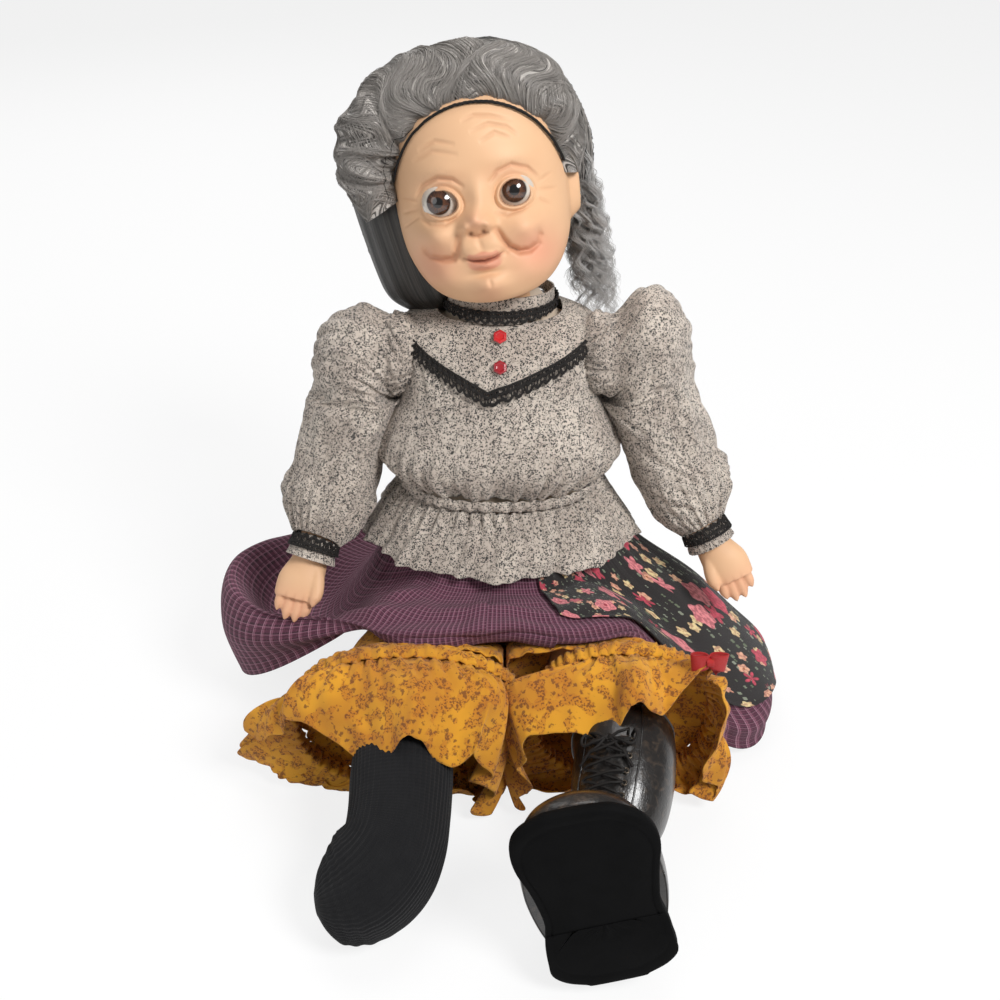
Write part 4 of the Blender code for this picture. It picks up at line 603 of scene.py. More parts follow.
# Each leg's stations from the hip to the toe: out from the body, forward and height, as
# shares of the leg's reach, then half width and half height as shares of its thigh radius
LEG_SHARES = {
    "right": (
        (0.237, 0.000, 0.253, 0.672, 1.000),
        (0.241, 0.170, 0.260, 0.700, 0.950),
        (0.256, 0.340, 0.267, 0.760, 0.860),
        (0.266, 0.500, 0.267, 0.840, 0.800),
        (0.266, 0.650, 0.240, 0.900, 0.790),
        (0.268, 0.780, 0.204, 0.880, 0.740),
        (0.286, 0.852, 0.178, 0.880, 0.700),
        (0.328, 0.900, 0.154, 0.850, 0.650),
        (0.388, 0.928, 0.132, 0.730, 0.565),
        (0.442, 0.943, 0.119, 0.420, 0.380),
        (0.467, 0.948, 0.115, 0.120, 0.120),
    ),
    "left": (
        (0.237, 0.000, 0.253, 0.672, 1.000),
        (0.250, 0.170, 0.262, 0.700, 0.950),
        (0.290, 0.340, 0.280, 0.710, 0.860),
        (0.330, 0.500, 0.290, 0.700, 0.720),
        (0.335, 0.613, 0.285, 0.665, 0.665),
        (0.315, 0.733, 0.240, 0.630, 0.630),
        (0.292, 0.820, 0.202, 0.480, 0.480),
        (0.283, 0.870, 0.190, 0.360, 0.360),
        (0.276, 0.900, 0.186, 0.200, 0.200),
    ),
}
LEG_COLUMNS = 12
LEG_SQUARE = {"right": 2.3, "left": 2.05}
SOCK_TOP_SHARE = 4 / 13


def leg_rings(end, side, spare, start_share, count):
    """Rings along a leg's middle line, from start_share of its way, grown by spare."""
    table = LEG_SHARES[end]

    def spot(t):
        out, forward, height = along([row[:3] for row in table], t)
        return Vector((side * out * LEG_REACH, -forward * LEG_REACH, height * LEG_REACH))
    rings = []
    across = X_AXIS * side
    step = 0.01
    for index in range(count + 1):
        t = start_share + (1.0 - start_share) * index / count
        ahead = (spot(min(t + step, 1.0)) - spot(max(t - step, 0.0))).normalized()
        across = (across - ahead * across.dot(ahead)).normalized()
        up = ahead.cross(across)
        width, height = along([row[3:] for row in table], t)
        rings.append(oval(spot(t), across, up, width * THIGH_RADIUS + spare,
                          height * THIGH_RADIUS + spare, LEG_COLUMNS, LEG_SQUARE[end]))
    return rings


# The loop where each bloomer leg is gathered: its middle out from the body, forward and
# height, its half width and half height
LOOPS = {
    "right": (38.0 * MM, 61.0 * MM, 39.4 * MM, 48.0 * MM, 36.0 * MM),
    "left": (52.0 * MM, 58.0 * MM, 40.0 * MM, 37.0 * MM, 34.5 * MM),
}
# How the bloomer leg widens to that loop: place along it, middle, half width and half
# height, as shares from the thigh's size to the loop's
WIDEN_SHARES = ((0.3, 0.40, 0.66), (0.75, 0.78, 0.88), (1.0, 1.0, 1.0), (1.0, 1.0, 1.0))
LEG_START = 51.6 * MM
# Where each ruffle's hem lies from its loop, at eight turns from the top round by the
# outer side: out, forward and up, as shares of the ruffle's depth
RUFFLE_SHARES = {
    "right": (
        (0.00, 0.95, -0.36), (0.62, 0.40, -0.42), (0.95, -0.25, -0.62), (0.62, 0.06, -0.24),
        (0.00, 0.10, 0.00), (0.00, 0.30, -0.20), (0.00, 0.48, -0.80), (0.00, 0.85, -0.45),
    ),
    "left": (
        (0.05, 0.78, -0.08), (0.35, 0.30, 0.42), (0.20, 0.45, -0.80), (0.15, 0.35, -0.24),
        (0.00, 0.20, -0.02), (0.02, 0.30, -0.22), (0.00, 0.50, -0.80), (0.00, 0.72, -0.40),
    ),
}
RUFFLE_WAVES = 11


def loop_point(end, side, turn, widen, forward, spare=0.0):
    """A point of a bloomer leg; turn 0 is its top, and it goes round by the outer side."""
    out, _, height, half_width, half_height = LOOPS[end]
    thigh_out, _, thigh_height = [share * LEG_REACH for share in LEG_SHARES[end][2][:3]]
    middle, width, tall = widen
    centre = thigh_out + (out - thigh_out) * middle
    level = thigh_height + (height - thigh_height) * middle
    half = BLOOMER_START_WIDTH + (half_width - BLOOMER_START_WIDTH) * width + spare
    rise = BLOOMER_START_HEIGHT + (half_height - BLOOMER_START_HEIGHT) * tall + spare
    angle = 2.0 * math.pi * turn
    share = 2.0 / 2.3
    s, c = math.sin(angle), math.cos(angle)
    return Vector((side * (centre + math.copysign(abs(s) ** share, s) * half), -forward,
                   max(level + math.copysign(abs(c) ** share, c) * rise, FLOOR_GAP + CLOTH)))


BLOOMER_START_WIDTH = 21.0 * MM
BLOOMER_START_HEIGHT = 25.0 * MM


def ruffle_point(end, side, turn, drop):
    out, ahead, up = around(RUFFLE_SHARES[end], turn)
    start = LOOPS[end][1] + BAND_WIDTH + 3 * CLEARANCE
    root = loop_point(end, side, turn, (1.0, 1.0, 1.0), start)
    fall = drop ** 1.5
    wave = math.cos(2.0 * math.pi * RUFFLE_WAVES * turn) * RUFFLE_WAVE * drop
    angle = 2.0 * math.pi * turn
    point = root + Vector((side * out * drop, -ahead * drop, up * fall)) * RUFFLE_DEPTH
    point += Vector((side * math.sin(angle), 0.0, math.cos(angle))) * wave
    point.z = max(point.z, FLOOR_GAP + CLOTH)
    point.x = side * max(side * point.x, INNER_LIMITS[end])
    return point


INNER_LIMITS = {"right": -11.5 * MM, "left": 14.5 * MM}

# The boot, on its sole's middle, with its long axis to the toe and its face to the floor
SOLE_MIDDLE = Vector((34.0 * MM, -157.0 * MM, 44.0 * MM))
SOLE_TURN = math.radians(15.0)
SOLE_LEAN = math.radians(10.0)
# The sole's outline from heel to toe: place along it, half width on the outer side and on
# the inner side, as shares of its length and width
SOLE_SHARES = (
    (0.000, 0.16, 0.16), (0.035, 0.33, 0.33), (0.110, 0.44, 0.43), (0.240, 0.44, 0.43),
    (0.400, 0.41, 0.38), (0.560, 0.45, 0.40), (0.720, 0.51, 0.46), (0.850, 0.49, 0.47),
    (0.935, 0.38, 0.41), (0.985, 0.22, 0.26), (1.000, 0.10, 0.13),
)
HEEL_SHARE = 0.33
# The boot's rings from the sole into the shaft: height over the sole, the toe's and the
# heel's reach, and the half width, as shares of the boot's length, and of its width
FOOT_SHARES = (
    (0.00, 0.485, 0.485, 0.47), (0.09, 0.490, 0.490, 0.49), (0.19, 0.430, 0.480, 0.47),
    (0.28, 0.290, 0.470, 0.44), (0.35, 0.140, 0.455, 0.42),
)
SHAFT_RINGS = 7
SHAFT_START_SHARE = 0.75
SHAFT_END_SHARE = 0.42
BOOT_COLUMNS = 14


def boot_frame():
    """The toe's way, the way across and the way out of the sole."""
    lean = Vector((0.0, math.sin(SOLE_LEAN), math.cos(SOLE_LEAN)))
    out = Vector((0.0, -math.cos(SOLE_LEAN), math.sin(SOLE_LEAN)))
    turn = Matrix.Rotation(SOLE_TURN, 3, out)
    ahead = turn @ lean
    return ahead, ahead.cross(out), out


def sole_ring(place, low, high, spare=0.0):
    """The sole's outline between two places along it, laid at a place across it."""
    ahead, across, _ = boot_frame()
    ring = []
    count = 14
    for side in (1, 2):
        for index in range(count + (0 if side == 1 else 1)):
            t = index / count
            t = t if side == 1 else 1.0 - t
            spot = low + (high - low) * (0.5 - 0.5 * math.cos(math.pi * t))
            half = sole_half(spot, side) * BOOT_WIDTH + spare
            half = half if side == 1 else -half
            far = (spot - 0.5) * (BOOT_LENGTH + 2 * spare)
            ring.append(place + ahead * far + across * half)
    return ring


def sole_half(spot, side):
    """Half width of the sole at a place along it, read between its rows."""
    for low, high in zip(SOLE_SHARES, SOLE_SHARES[1:]):
        if spot <= high[0]:
            t = (spot - low[0]) / (high[0] - low[0])
            return low[side] + (high[side] - low[side]) * t
    return SOLE_SHARES[-1][side]


def boot_rings(spare, lift):
    """The boot upper's rings from the sole to the top of the shaft."""
    ahead, across, out = boot_frame()
    rings = []
    base = SOLE_MIDDLE - out * (CLEARANCE + lift)
    for row, toe, heel, half_width in FOOT_SHARES:
        centre = base - out * row * (BOOT_LENGTH - lift) + ahead * (toe - heel) / 2 * BOOT_LENGTH
        rings.append(oval(centre, across, ahead, half_width * BOOT_WIDTH + spare,
                          (toe + heel) / 2 * BOOT_LENGTH + spare, BOOT_COLUMNS, 2.3))
    table = LEG_SHARES["left"]
    for index in range(SHAFT_RINGS):
        t = SHAFT_START_SHARE + (SHAFT_END_SHARE - SHAFT_START_SHARE) * index / (SHAFT_RINGS - 1)
        centre, tangent, width, height = leg_spot(table, 1.0, t)
        up = (ahead - tangent * ahead.dot(tangent)).normalized()
        side = up.cross(tangent)
        side *= math.copysign(1.0, side.dot(across))
        grow = BOOT_FIT + BOOT_WALL + spare
        rings.append(oval(centre, side, up, width * THIGH_RADIUS + grow,
                          height * THIGH_RADIUS + grow, BOOT_COLUMNS, 2.1))
    return rings


def leg_spot(table, side, t):
    """A leg's middle point, its direction and its half sizes as shares of the thigh."""
    def spot(place):
        out, forward, height = along([row[:3] for row in table], place)
        return Vector((side * out * LEG_REACH, -forward * LEG_REACH, height * LEG_REACH))
    step = 0.01
    tangent = (spot(t + step) - spot(t - step)).normalized()
    width, height = along([row[3:] for row in table], t)
    return spot(t), tangent, width, height


def tongue_point(u, v):
    """The laced front of the boot, from the shaft's top down to the instep."""
    rings = boot_rings(0.0, 0.0)
    place = (len(rings) - 1) - LACING_START - (LACING_END - LACING_START) * v
    low = min(math.floor(place), len(rings) - 2)
    column = BOOT_COLUMNS / 4 - TONGUE_REACH * (2.0 * u - 1.0)
    first = math.floor(column)
    ends = []
    for ring in (rings[low], rings[low + 1]):
        ends.append(ring[first].lerp(ring[first + 1], column - first))
    return ends[0].lerp(ends[1], place - low)


# The lacing's first and last place, counted in the boot's rings from the shaft's top, and
# its half width in the boot's columns
LACING_START = 1.6
LACING_END = 5.0
TONGUE_REACH = 1.0
TONGUE_WALL = 1.2 * MM
TONGUE_GAP = 0.7 * MM
LACE_CROSSINGS = 5
# The bow across its width: place, half height and half thickness, as shares of its width
BOW_SHARES = (
    (-0.50, 0.30, 0.07), (-0.30, 0.26, 0.10), (-0.08, 0.10, 0.07), (0.00, 0.12, 0.10),
    (0.08, 0.10, 0.07), (0.30, 0.26, 0.10), (0.50, 0.30, 0.07),
)

BOW_SEAT = 1.6 * MM


# Building meshes

def grid(name, point_at, columns, rows, closed=False, size=(1.0, 1.0), keep=None):
    """Quads through point_at(u, v), with UVs that run over size metres of cloth."""
    mesh_data = bmesh.new()
    layer = mesh_data.loops.layers.uv.new("cloth")
    lines = []
    for row in range(rows + 1):
        count = columns if closed else columns + 1
        lines.append([mesh_data.verts.new(point_at(column / columns, row / rows))
                      for column in range(count)])
    for row in range(rows):
        for column in range(columns):
            if keep and not keep((column + 0.5) / columns, (row + 0.5) / rows):
                continue
            after = (column + 1) % columns if closed else column + 1
            face = mesh_data.faces.new((lines[row][column], lines[row][after],
                                        lines[row + 1][after], lines[row + 1][column]))
            face.smooth = True
            spots = ((column, row), (column + 1, row), (column + 1, row + 1), (column, row + 1))
            for loop, (u, v) in zip(face.loops, spots):
                loop[layer].uv = (u / columns * size[0], v / rows * size[1])
    loose = [vert for vert in mesh_data.verts if not vert.link_faces]
    bmesh.ops.delete(mesh_data, geom=loose, context="VERTS")
    return piece(name, mesh_data)


def piece(name, mesh_data):
    mesh = bpy.data.meshes.new(name)
    mesh_data.to_mesh(mesh)
    mesh_data.free()
    obj = bpy.data.objects.new(name, mesh)
    bpy.context.scene.collection.objects.link(obj)
    return obj


def fan(mesh_data, ring):
    """Close a ring with triangles to its middle."""
    count = len(ring)
    middle = mesh_data.verts.new(sum((vert.co for vert in ring), Vector()) / count)
    for index in range(count):
        face = mesh_data.faces.new((ring[index], ring[(index + 1) % count], middle))
        face.smooth = True


def loft_grid(name, rings, size=(1.0, 1.0), caps=(False, False)):
    """Quads through closed rings of equal count, with a fan over an end that is capped."""
    count = len(rings[0])
    obj = grid(name, lambda u, v: rings[round(v * (len(rings) - 1))][round(u * count) % count],
               count, len(rings) - 1, closed=True, size=size)
    mesh_data = bmesh.new()
    mesh_data.from_mesh(obj.data)
    verts = list(mesh_data.verts)
    for capped, ring in zip(caps, (verts[:count], verts[-count:])):
        if capped:
            fan(mesh_data, ring)
    bmesh.ops.recalc_face_normals(mesh_data, faces=mesh_data.faces)
    mesh_data.to_mesh(obj.data)
    mesh_data.free()
    return obj


def thicken(obj, thickness, offset=-1.0):
    modifier = obj.modifiers.new("thickness", "SOLIDIFY")
    modifier.thickness = thickness
    modifier.offset = offset


def tube_mesh(mesh_data, points, radius, sides=5, taper=0.0, flat=1.0):
    """One closed tube along points, added to mesh_data; radius thins out by taper."""
    loops = []
    across = None
    last = len(points) - 1
    for index, point in enumerate(points):
        ahead = (points[min(index + 1, last)] - points[max(index - 1, 0)]).normalized()
        if across is None:
            guide = Z_AXIS if abs(ahead.z) < 0.9 else X_AXIS
            across = ahead.cross(guide)
        across = (across - ahead * across.dot(ahead)).normalized()
        up = ahead.cross(across)
        size = radius * (1.0 - taper * index / last)
        loops.append([mesh_data.verts.new(point + across * (size * math.cos(angle))
                                          + up * (size * flat * math.sin(angle)))
                      for angle in [2.0 * math.pi * side / sides for side in range(sides)]])
    for low, high in zip(loops, loops[1:]):
        for index in range(sides):
            after = (index + 1) % sides
            face = mesh_data.faces.new((low[index], low[after], high[after], high[index]))
            face.smooth = True
    mesh_data.faces.new(loops[0][::-1])
    mesh_data.faces.new(loops[-1])


def tubes(name, lines, radius, sides=5, taper=0.0):
    mesh_data = bmesh.new()
    for points in lines:
        tube_mesh(mesh_data, points, radius, sides, taper)
    return piece(name, mesh_data)


def round_ripple(turn, v, seed, scale, scale_v):
    """A smooth random number from about -1 to 1 that closes on itself round a tube."""
    angle = 2.0 * math.pi * turn
    return noise.noise(Vector((math.cos(angle) * scale, math.sin(angle) * scale,
                               v * scale_v + seed * 7.31)))


def cloth(obj, body, nodes, look, thickness, offset=-1.0):
    """Thicken a sheet of cloth, and give it its material, what it rests on and what it replaces."""
    thicken(obj, thickness, offset)
    dress(obj, body, nodes, look)


def dress(obj, body, nodes, look):
    """Give a piece its material, the body it rides on and the nodes it stands for."""
    obj.data.materials.clear()
    obj.data.materials.append(look)
    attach(obj, body)
    if nodes:
        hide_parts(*nodes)


SLOTS = {part["node"]: part["material_slot"] for part in frame["record"]["subparts"]}


# Materials

class Look:
    """A material with its shader, and short calls that add nodes to it."""

    def __init__(self, name, colour, roughness):
        self.material = bpy.data.materials.new(name)
        self.material.use_nodes = True
        self.tree = self.material.node_tree
        self.shader = self.tree.nodes["Principled BSDF"]
        self.shader.inputs["Base Color"].default_value = (*colour, 1.0)
        self.shader.inputs["Roughness"].default_value = roughness
        self.place = None

    def put(self, socket, value):
        """Set a socket to a value, or link it where the value is another socket."""
        if isinstance(value, bpy.types.NodeSocket):
            self.tree.links.new(value, socket)
        elif isinstance(value, tuple) and len(value) == 3 and socket.type == "RGBA":
            socket.default_value = (*value, 1.0)
        else:
            socket.default_value = value

    def node(self, kind, inputs, **settings):
        made = self.tree.nodes.new("ShaderNode" + kind)
        for key, value in settings.items():
            setattr(made, key, value)
        for key, value in inputs.items():
            self.put(made.inputs[key], value)
        return made

    def coordinates(self, use_uv=False):
        made = self.node("TexCoord", {})
        return made.outputs["UV" if use_uv else "Object"]

    def sized(self, use_uv, scale):
        """Coordinates scaled by three factors, or by one."""
        scale = scale if isinstance(scale, tuple) else (scale, scale, scale)
        return self.node("Mapping", {"Vector": self.coordinates(use_uv), "Scale": scale}).outputs[0]

    def math(self, operation, *values):
        inputs = {index: value for index, value in enumerate(values)}
        return self.node("Math", inputs, operation=operation).outputs[0]

    def between(self, value, low, high):
        """0 below low and 1 above high, smooth between them."""
        inputs = {"Value": value, "From Min": low, "From Max": high}
        return self.node("MapRange", inputs, interpolation_type="SMOOTHSTEP").outputs[0]

    def blend(self, share, first, second):
        made = self.node("Mix", {}, data_type="RGBA")
        self.put(made.inputs[0], share)
        self.put(made.inputs[6], first)
        self.put(made.inputs[7], second)
        return made.outputs[2]

    def noise(self, vector, scale, detail=2.0, distortion=0.0):
        inputs = {"Vector": vector, "Scale": scale, "Detail": detail, "Distortion": distortion}
        return self.node("TexNoise", inputs).outputs[0]

    def cells(self, vector, scale, randomness=1.0, feature="F1"):
        inputs = {"Vector": vector, "Scale": scale, "Randomness": randomness}
        return self.node("TexVoronoi", inputs, feature=feature)

    def bump(self, height, distance, strength=1.0):
        inputs = {"Height": height, "Distance": distance, "Strength": strength}
        made = self.node("Bump", inputs)
        self.put(self.shader.inputs["Normal"], made.outputs[0])

    def colour(self, value):
        self.put(self.shader.inputs["Base Color"], value)

    def set(self, name, value):
        self.shader.inputs[name].default_value = value


def weave_height(look, use_uv, threads):
    """A plain weave's height: threads over and under, a number of them to the metre."""
    where = look.sized(use_uv, threads)
    parts = look.node("SeparateXYZ", {"Vector": where}).outputs
    first = look.math("SINE", look.math("MULTIPLY", parts[0], 2.0 * math.pi))
    second = look.math("SINE", look.math("MULTIPLY", parts[1 if use_uv else 2], 2.0 * math.pi))
    return look.math("MULTIPLY", first, second)


def cloth_look(name, colour, threads=2600.0, use_uv=False, roughness=0.92, sheen=0.15):
    look = Look(name, colour, roughness)
    look.set("Sheen Weight", sheen)
    look.set("Sheen Roughness", 0.6)
    look.bump(weave_height(look, use_uv, threads), 0.00012, 0.5)
    return look


def squiggle_calico():
    """Cream cotton printed all over with small charcoal squiggles and dots."""
    look = cloth_look("squiggle_calico", CREAM)
    where = look.sized(False, 1.0)
    ridge = look.noise(where, 760.0, 1.0, 1.2)
    squiggle = look.math("SUBTRACT", 1.0, look.between(
        look.math("ABSOLUTE", look.math("SUBTRACT", ridge, 0.5)), 0.030, 0.056))
    gap = look.between(look.noise(where, 560.0, 0.0), 0.33, 0.41)
    dots = look.cells(where, 820.0).outputs["Distance"]
    dot = look.math("SUBTRACT", 1.0, look.between(dots, 0.24, 0.34))
    print_share = look.math("MAXIMUM", look.math("MULTIPLY", squiggle, gap), dot)
    ground = look.blend(look.between(look.noise(where, 60.0), 0.35, 0.65), CREAM, GREIGE)
    look.colour(look.blend(print_share, ground, CHARCOAL))
    return look.material


def speckle_calico():
    """Yellow-ochre cotton with rust-brown sprigs."""
    look = cloth_look("speckle_calico", OCHRE, sheen=0.1)
    where = look.sized(False, 1.0)
    cells = look.cells(where, 300.0)
    wobble = look.noise(where, 850.0, 2.0)
    reach = look.math("ADD", cells.outputs["Distance"], look.math("MULTIPLY", wobble, 1.1))
    sprig = look.math("MULTIPLY", look.math("SUBTRACT", 1.0, look.between(reach, 0.70, 0.86)), 0.75)
    group = look.between(look.noise(where, 210.0, 1.0), 0.48, 0.56)
    fine = look.noise(where, 1100.0, 1.0)
    speck = look.math("MULTIPLY", look.math("MULTIPLY", look.between(fine, 0.52, 0.60), group), 0.8)
    ground = look.blend(look.between(look.noise(where, 45.0), 0.35, 0.65), OCHRE, OCHRE_DEEP)
    warm = look.blend(look.math("MULTIPLY", group, 0.45), ground, OCHRE_WARM)
    look.colour(look.blend(look.math("MAXIMUM", sprig, speck), warm, RUST))
    return look.material


def stripe(look, value, period, place, width):
    """1 on lines across value, one to each period, at place and of width as shares of it."""
    spot = look.math("FRACT", look.math("ADD", look.math("DIVIDE", value, period), 0.5 - place))
    far = look.math("ABSOLUTE", look.math("SUBTRACT", spot, 0.5))
    return look.math("SUBTRACT", 1.0, look.between(far, width * 0.35, width * 0.65))


def plum_plaid():
    """Dark plum cotton plaid: pale paired lines down the cloth and dark bands across."""
    look = cloth_look("plum_plaid", PLUM, use_uv=True, sheen=0.04)
    parts = look.node("SeparateXYZ", {"Vector": look.coordinates(True)}).outputs
    across, down = look.math("MULTIPLY", parts[0], 1.7), parts[1]
    shade = look.blend(stripe(look, across, PLAID, 0.30, 0.34), PLUM, PLUM_LIGHT)
    shade = look.blend(look.math("MULTIPLY", stripe(look, down, PLAID, 0.35, 0.30), 0.75),
                       shade, PLUM_DARK)
    for line, colour, strength in PLAID_LINES:
        mask = look.math("MULTIPLY", stripe(look, across, PLAID, line, 0.10), strength)
        shade = look.blend(mask, shade, colour)
    for line, colour, strength in PLAID_CROSS_LINES:
        mask = look.math("MULTIPLY", stripe(look, down, PLAID, line, 0.10), strength)
        shade = look.blend(mask, shade, colour)
    fibre = look.noise(look.sized(True, (5000.0, 700.0, 1.0)), 1.0, 1.0)
    look.colour(look.blend(look.math("MULTIPLY", look.between(fibre, 0.4, 0.7), 0.25),
                           shade, PLUM_PALE))
    return look.material


def petals(look, where, scale, count, size, depth):
    """Flowers scattered over where: their share, their centre's share and a random colour."""
    cells = look.cells(where, scale, 0.75)
    scaled = look.node("VectorMath", {0: where, 1: (scale, scale, scale)},
                       operation="MULTIPLY").outputs[0]
    offset = look.node("VectorMath", {0: scaled, 1: look.node(
        "VectorMath", {0: cells.outputs["Position"], 1: (scale, scale, scale)},
        operation="MULTIPLY").outputs[0]}, operation="SUBTRACT").outputs[0]
    parts = look.node("SeparateXYZ", {"Vector": offset}).outputs
    angle = look.math("ARCTAN2", parts[1], parts[0])
    lobes = look.math("MULTIPLY", look.math("COSINE", look.math("MULTIPLY", angle, count)), depth)
    reach = look.math("ADD", cells.outputs["Distance"], lobes)
    flower = look.math("SUBTRACT", 1.0, look.between(reach, size, size + 0.03))
    heart = look.math("SUBTRACT", 1.0, look.between(cells.outputs["Distance"], 0.07, 0.10))
    pick = look.node("SeparateColor", {"Color": cells.outputs["Color"]}).outputs
    return flower, heart, pick


def black_floral():
    """Black cotton strewn with small red, pink, cream and peach flowers and leaves."""
    look = cloth_look("black_floral", SOOT, use_uv=True, sheen=0.1)
    where = look.coordinates(True)
    leaves, _, leaf_pick = petals(look, look.sized(True, (1.0, 1.8, 1.0)), 260.0, 2.0, 0.27, 0.10)
    shown = look.math("GREATER_THAN", leaf_pick[1], 0.30)
    grain = look.between(look.noise(where, 700.0, 2.0), 0.38, 0.62)
    leaf_colour = look.blend(leaf_pick[0], LEAF, LEAF_GREY)
    shade = look.blend(look.math("MULTIPLY", leaves, shown), SOOT, leaf_colour)
    for scale, size, colours, share in FLOWERS:
        flower, heart, pick = petals(look, where, scale, 5.0, size, 0.05)
        shown = look.math("LESS_THAN", pick[2], share)
        first, second, middle = colours
        colour = look.blend(look.between(pick[0], 0.45, 0.55), first, second)
        colour = look.blend(look.math("MULTIPLY", grain, 0.6), colour, PETAL_SHADE)
        shade = look.blend(look.math("MULTIPLY", flower, shown), shade, colour)
        shade = look.blend(look.math("MULTIPLY", heart, shown), shade, middle)
    look.colour(shade)
    return look.material


def painted_vinyl(name, roughness):
    """Matt vinyl whose colour is painted on the mesh, painted shade in the creases included, with fine
    pores.
    """
    look = Look(name, VINYL, roughness)
    paint = look.node("Attribute", {}, attribute_name="paint").outputs["Color"]
    mottle = look.between(look.noise(look.sized(False, 1.0), 90.0, 3.0), 0.35, 0.7)
    look.colour(look.blend(look.math("MULTIPLY", mottle, 0.10), paint, VINYL_WARM))
    look.bump(look.noise(look.sized(False, 1.0), 2600.0, 2.0), 0.00006, 0.35)
    look.set("Specular IOR Level", 0.35)
    return look.material


def hair_look(name, dark, light, strands=3200.0):
    """Fine fibres that run down the v of the UVs, in soft streaks."""
    look = Look(name, light, 0.42)
    fine = look.noise(look.sized(True, (strands, 30.0, 1.0)), 1.0, 2.0)
    wide = look.noise(look.sized(True, (strands / 7.0, 14.0, 1.0)), 1.0, 1.0)
    share = look.between(look.math("ADD", look.math("MULTIPLY", fine, 0.52),
                                   look.math("MULTIPLY", wide, 0.48)), 0.40, 0.61)
    look.colour(look.blend(share, dark, light))
    look.bump(fine, 0.0004, 0.8)
    look.set("Anisotropic", 0.5)
    return look.material


def knit_look():
    """Black ribbed knit: rows of small loops over the modelled ribs."""
    look = Look("knit_sock", (0.007, 0.007, 0.008), 0.95)
    look.set("Sheen Weight", 0.08)
    look.set("Specular IOR Level", 0.15)
    parts = look.node("SeparateXYZ", {"Vector": look.coordinates(True)}).outputs
    loops = look.math("SINE", look.math("MULTIPLY", parts[1], 2.0 * math.pi / 0.0011))
    slant = look.math("SINE", look.math("MULTIPLY", parts[0], 2.0 * math.pi / 0.0009))
    height = look.math("ADD", loops, look.math("MULTIPLY", slant, 0.7))
    look.bump(height, 0.00006, 0.6)
    share = look.noise(look.sized(False, 1.0), 160.0, 3.0)
    look.colour(look.blend(share, (0.008, 0.008, 0.009), (0.013, 0.013, 0.014)))
    return look.material


def leather_look():
    look = Look("boot_leather", (0.012, 0.009, 0.008), 0.30)
    where = look.sized(False, 1.0)
    grain = look.cells(where, 1500.0, feature="SMOOTH_F1").outputs["Distance"]
    creases = look.noise(where, 260.0, 3.0, 0.8)
    look.bump(look.math("ADD", look.math("MULTIPLY", grain, 0.4), creases), 0.00035, 0.55)
    look.put(look.shader.inputs["Roughness"],
             look.math("ADD", 0.22, look.math("MULTIPLY", look.noise(where, 120.0), 0.22)))
    look.set("Coat Weight", 0.35)
    look.set("Coat Roughness", 0.15)
    look.colour(look.blend(look.between(creases, 0.5, 0.75), (0.008, 0.006, 0.005),
                           (0.045, 0.030, 0.020)))
    return look.material


def plain_look(name, colour, roughness, grain=1200.0, depth=0.00005, coat=0.0, shine=0.25):
    """One colour with a faint mottle and a fine grain in the surface."""
    look = Look(name, colour, roughness)
    where = look.sized(False, 1.0)
    deep = tuple(value * 0.72 for value in colour)
    look.colour(look.blend(look.between(look.noise(where, 110.0, 3.0), 0.4, 0.7), colour, deep))
    look.bump(look.noise(where, grain, 2.0), depth, 0.5)
    look.set("Coat Weight", coat)
    look.set("Specular IOR Level", 0.5 if coat else shine)
    return look.material


CREAM = (0.60, 0.525, 0.45)
GREIGE = (0.47, 0.40, 0.34)
CHARCOAL = (0.030, 0.027, 0.026)
OCHRE = (0.66, 0.30, 0.012)
OCHRE_DEEP = (0.50, 0.20, 0.008)
OCHRE_WARM = (0.42, 0.12, 0.006)
RUST = (0.12, 0.030, 0.005)
PLUM = (0.085, 0.019, 0.042)
PLUM_LIGHT = (0.14, 0.036, 0.066)
PLUM_DARK = (0.022, 0.007, 0.014)
PLUM_PALE = (0.21, 0.09, 0.13)
PLAID = 0.0038
PLAID_LINES = ((0.14, (0.42, 0.22, 0.29), 0.75), (0.32, (0.30, 0.12, 0.18), 0.7))
PLAID_CROSS_LINES = ((0.50, (0.34, 0.16, 0.22), 0.60), (0.80, (0.012, 0.005, 0.009), 0.6))
SOOT = (0.014, 0.011, 0.011)
LEAF = (0.10, 0.13, 0.07)
LEAF_GREY = (0.26, 0.28, 0.22)
PETAL_SHADE = (0.20, 0.022, 0.035)
FLOWERS = (
    (170.0, 0.34, ((0.72, 0.58, 0.30), (0.72, 0.40, 0.26), (0.35, 0.10, 0.03)), 0.35),
    (88.0, 0.42, ((0.55, 0.06, 0.10), (0.72, 0.24, 0.26), (0.30, 0.02, 0.04)), 0.70),
)
VINYL = (0.71, 0.435, 0.252)
VINYL_WARM = (0.62, 0.33, 0.18)


# The head

def face_gauss(a, h, spot):
    """A hill at (across, up) with half widths and height, all in mm."""
    across, up, wide, tall, height = spot
    return height * math.exp(-((a - across) / wide) ** 2 - ((h - up) / tall) ** 2)


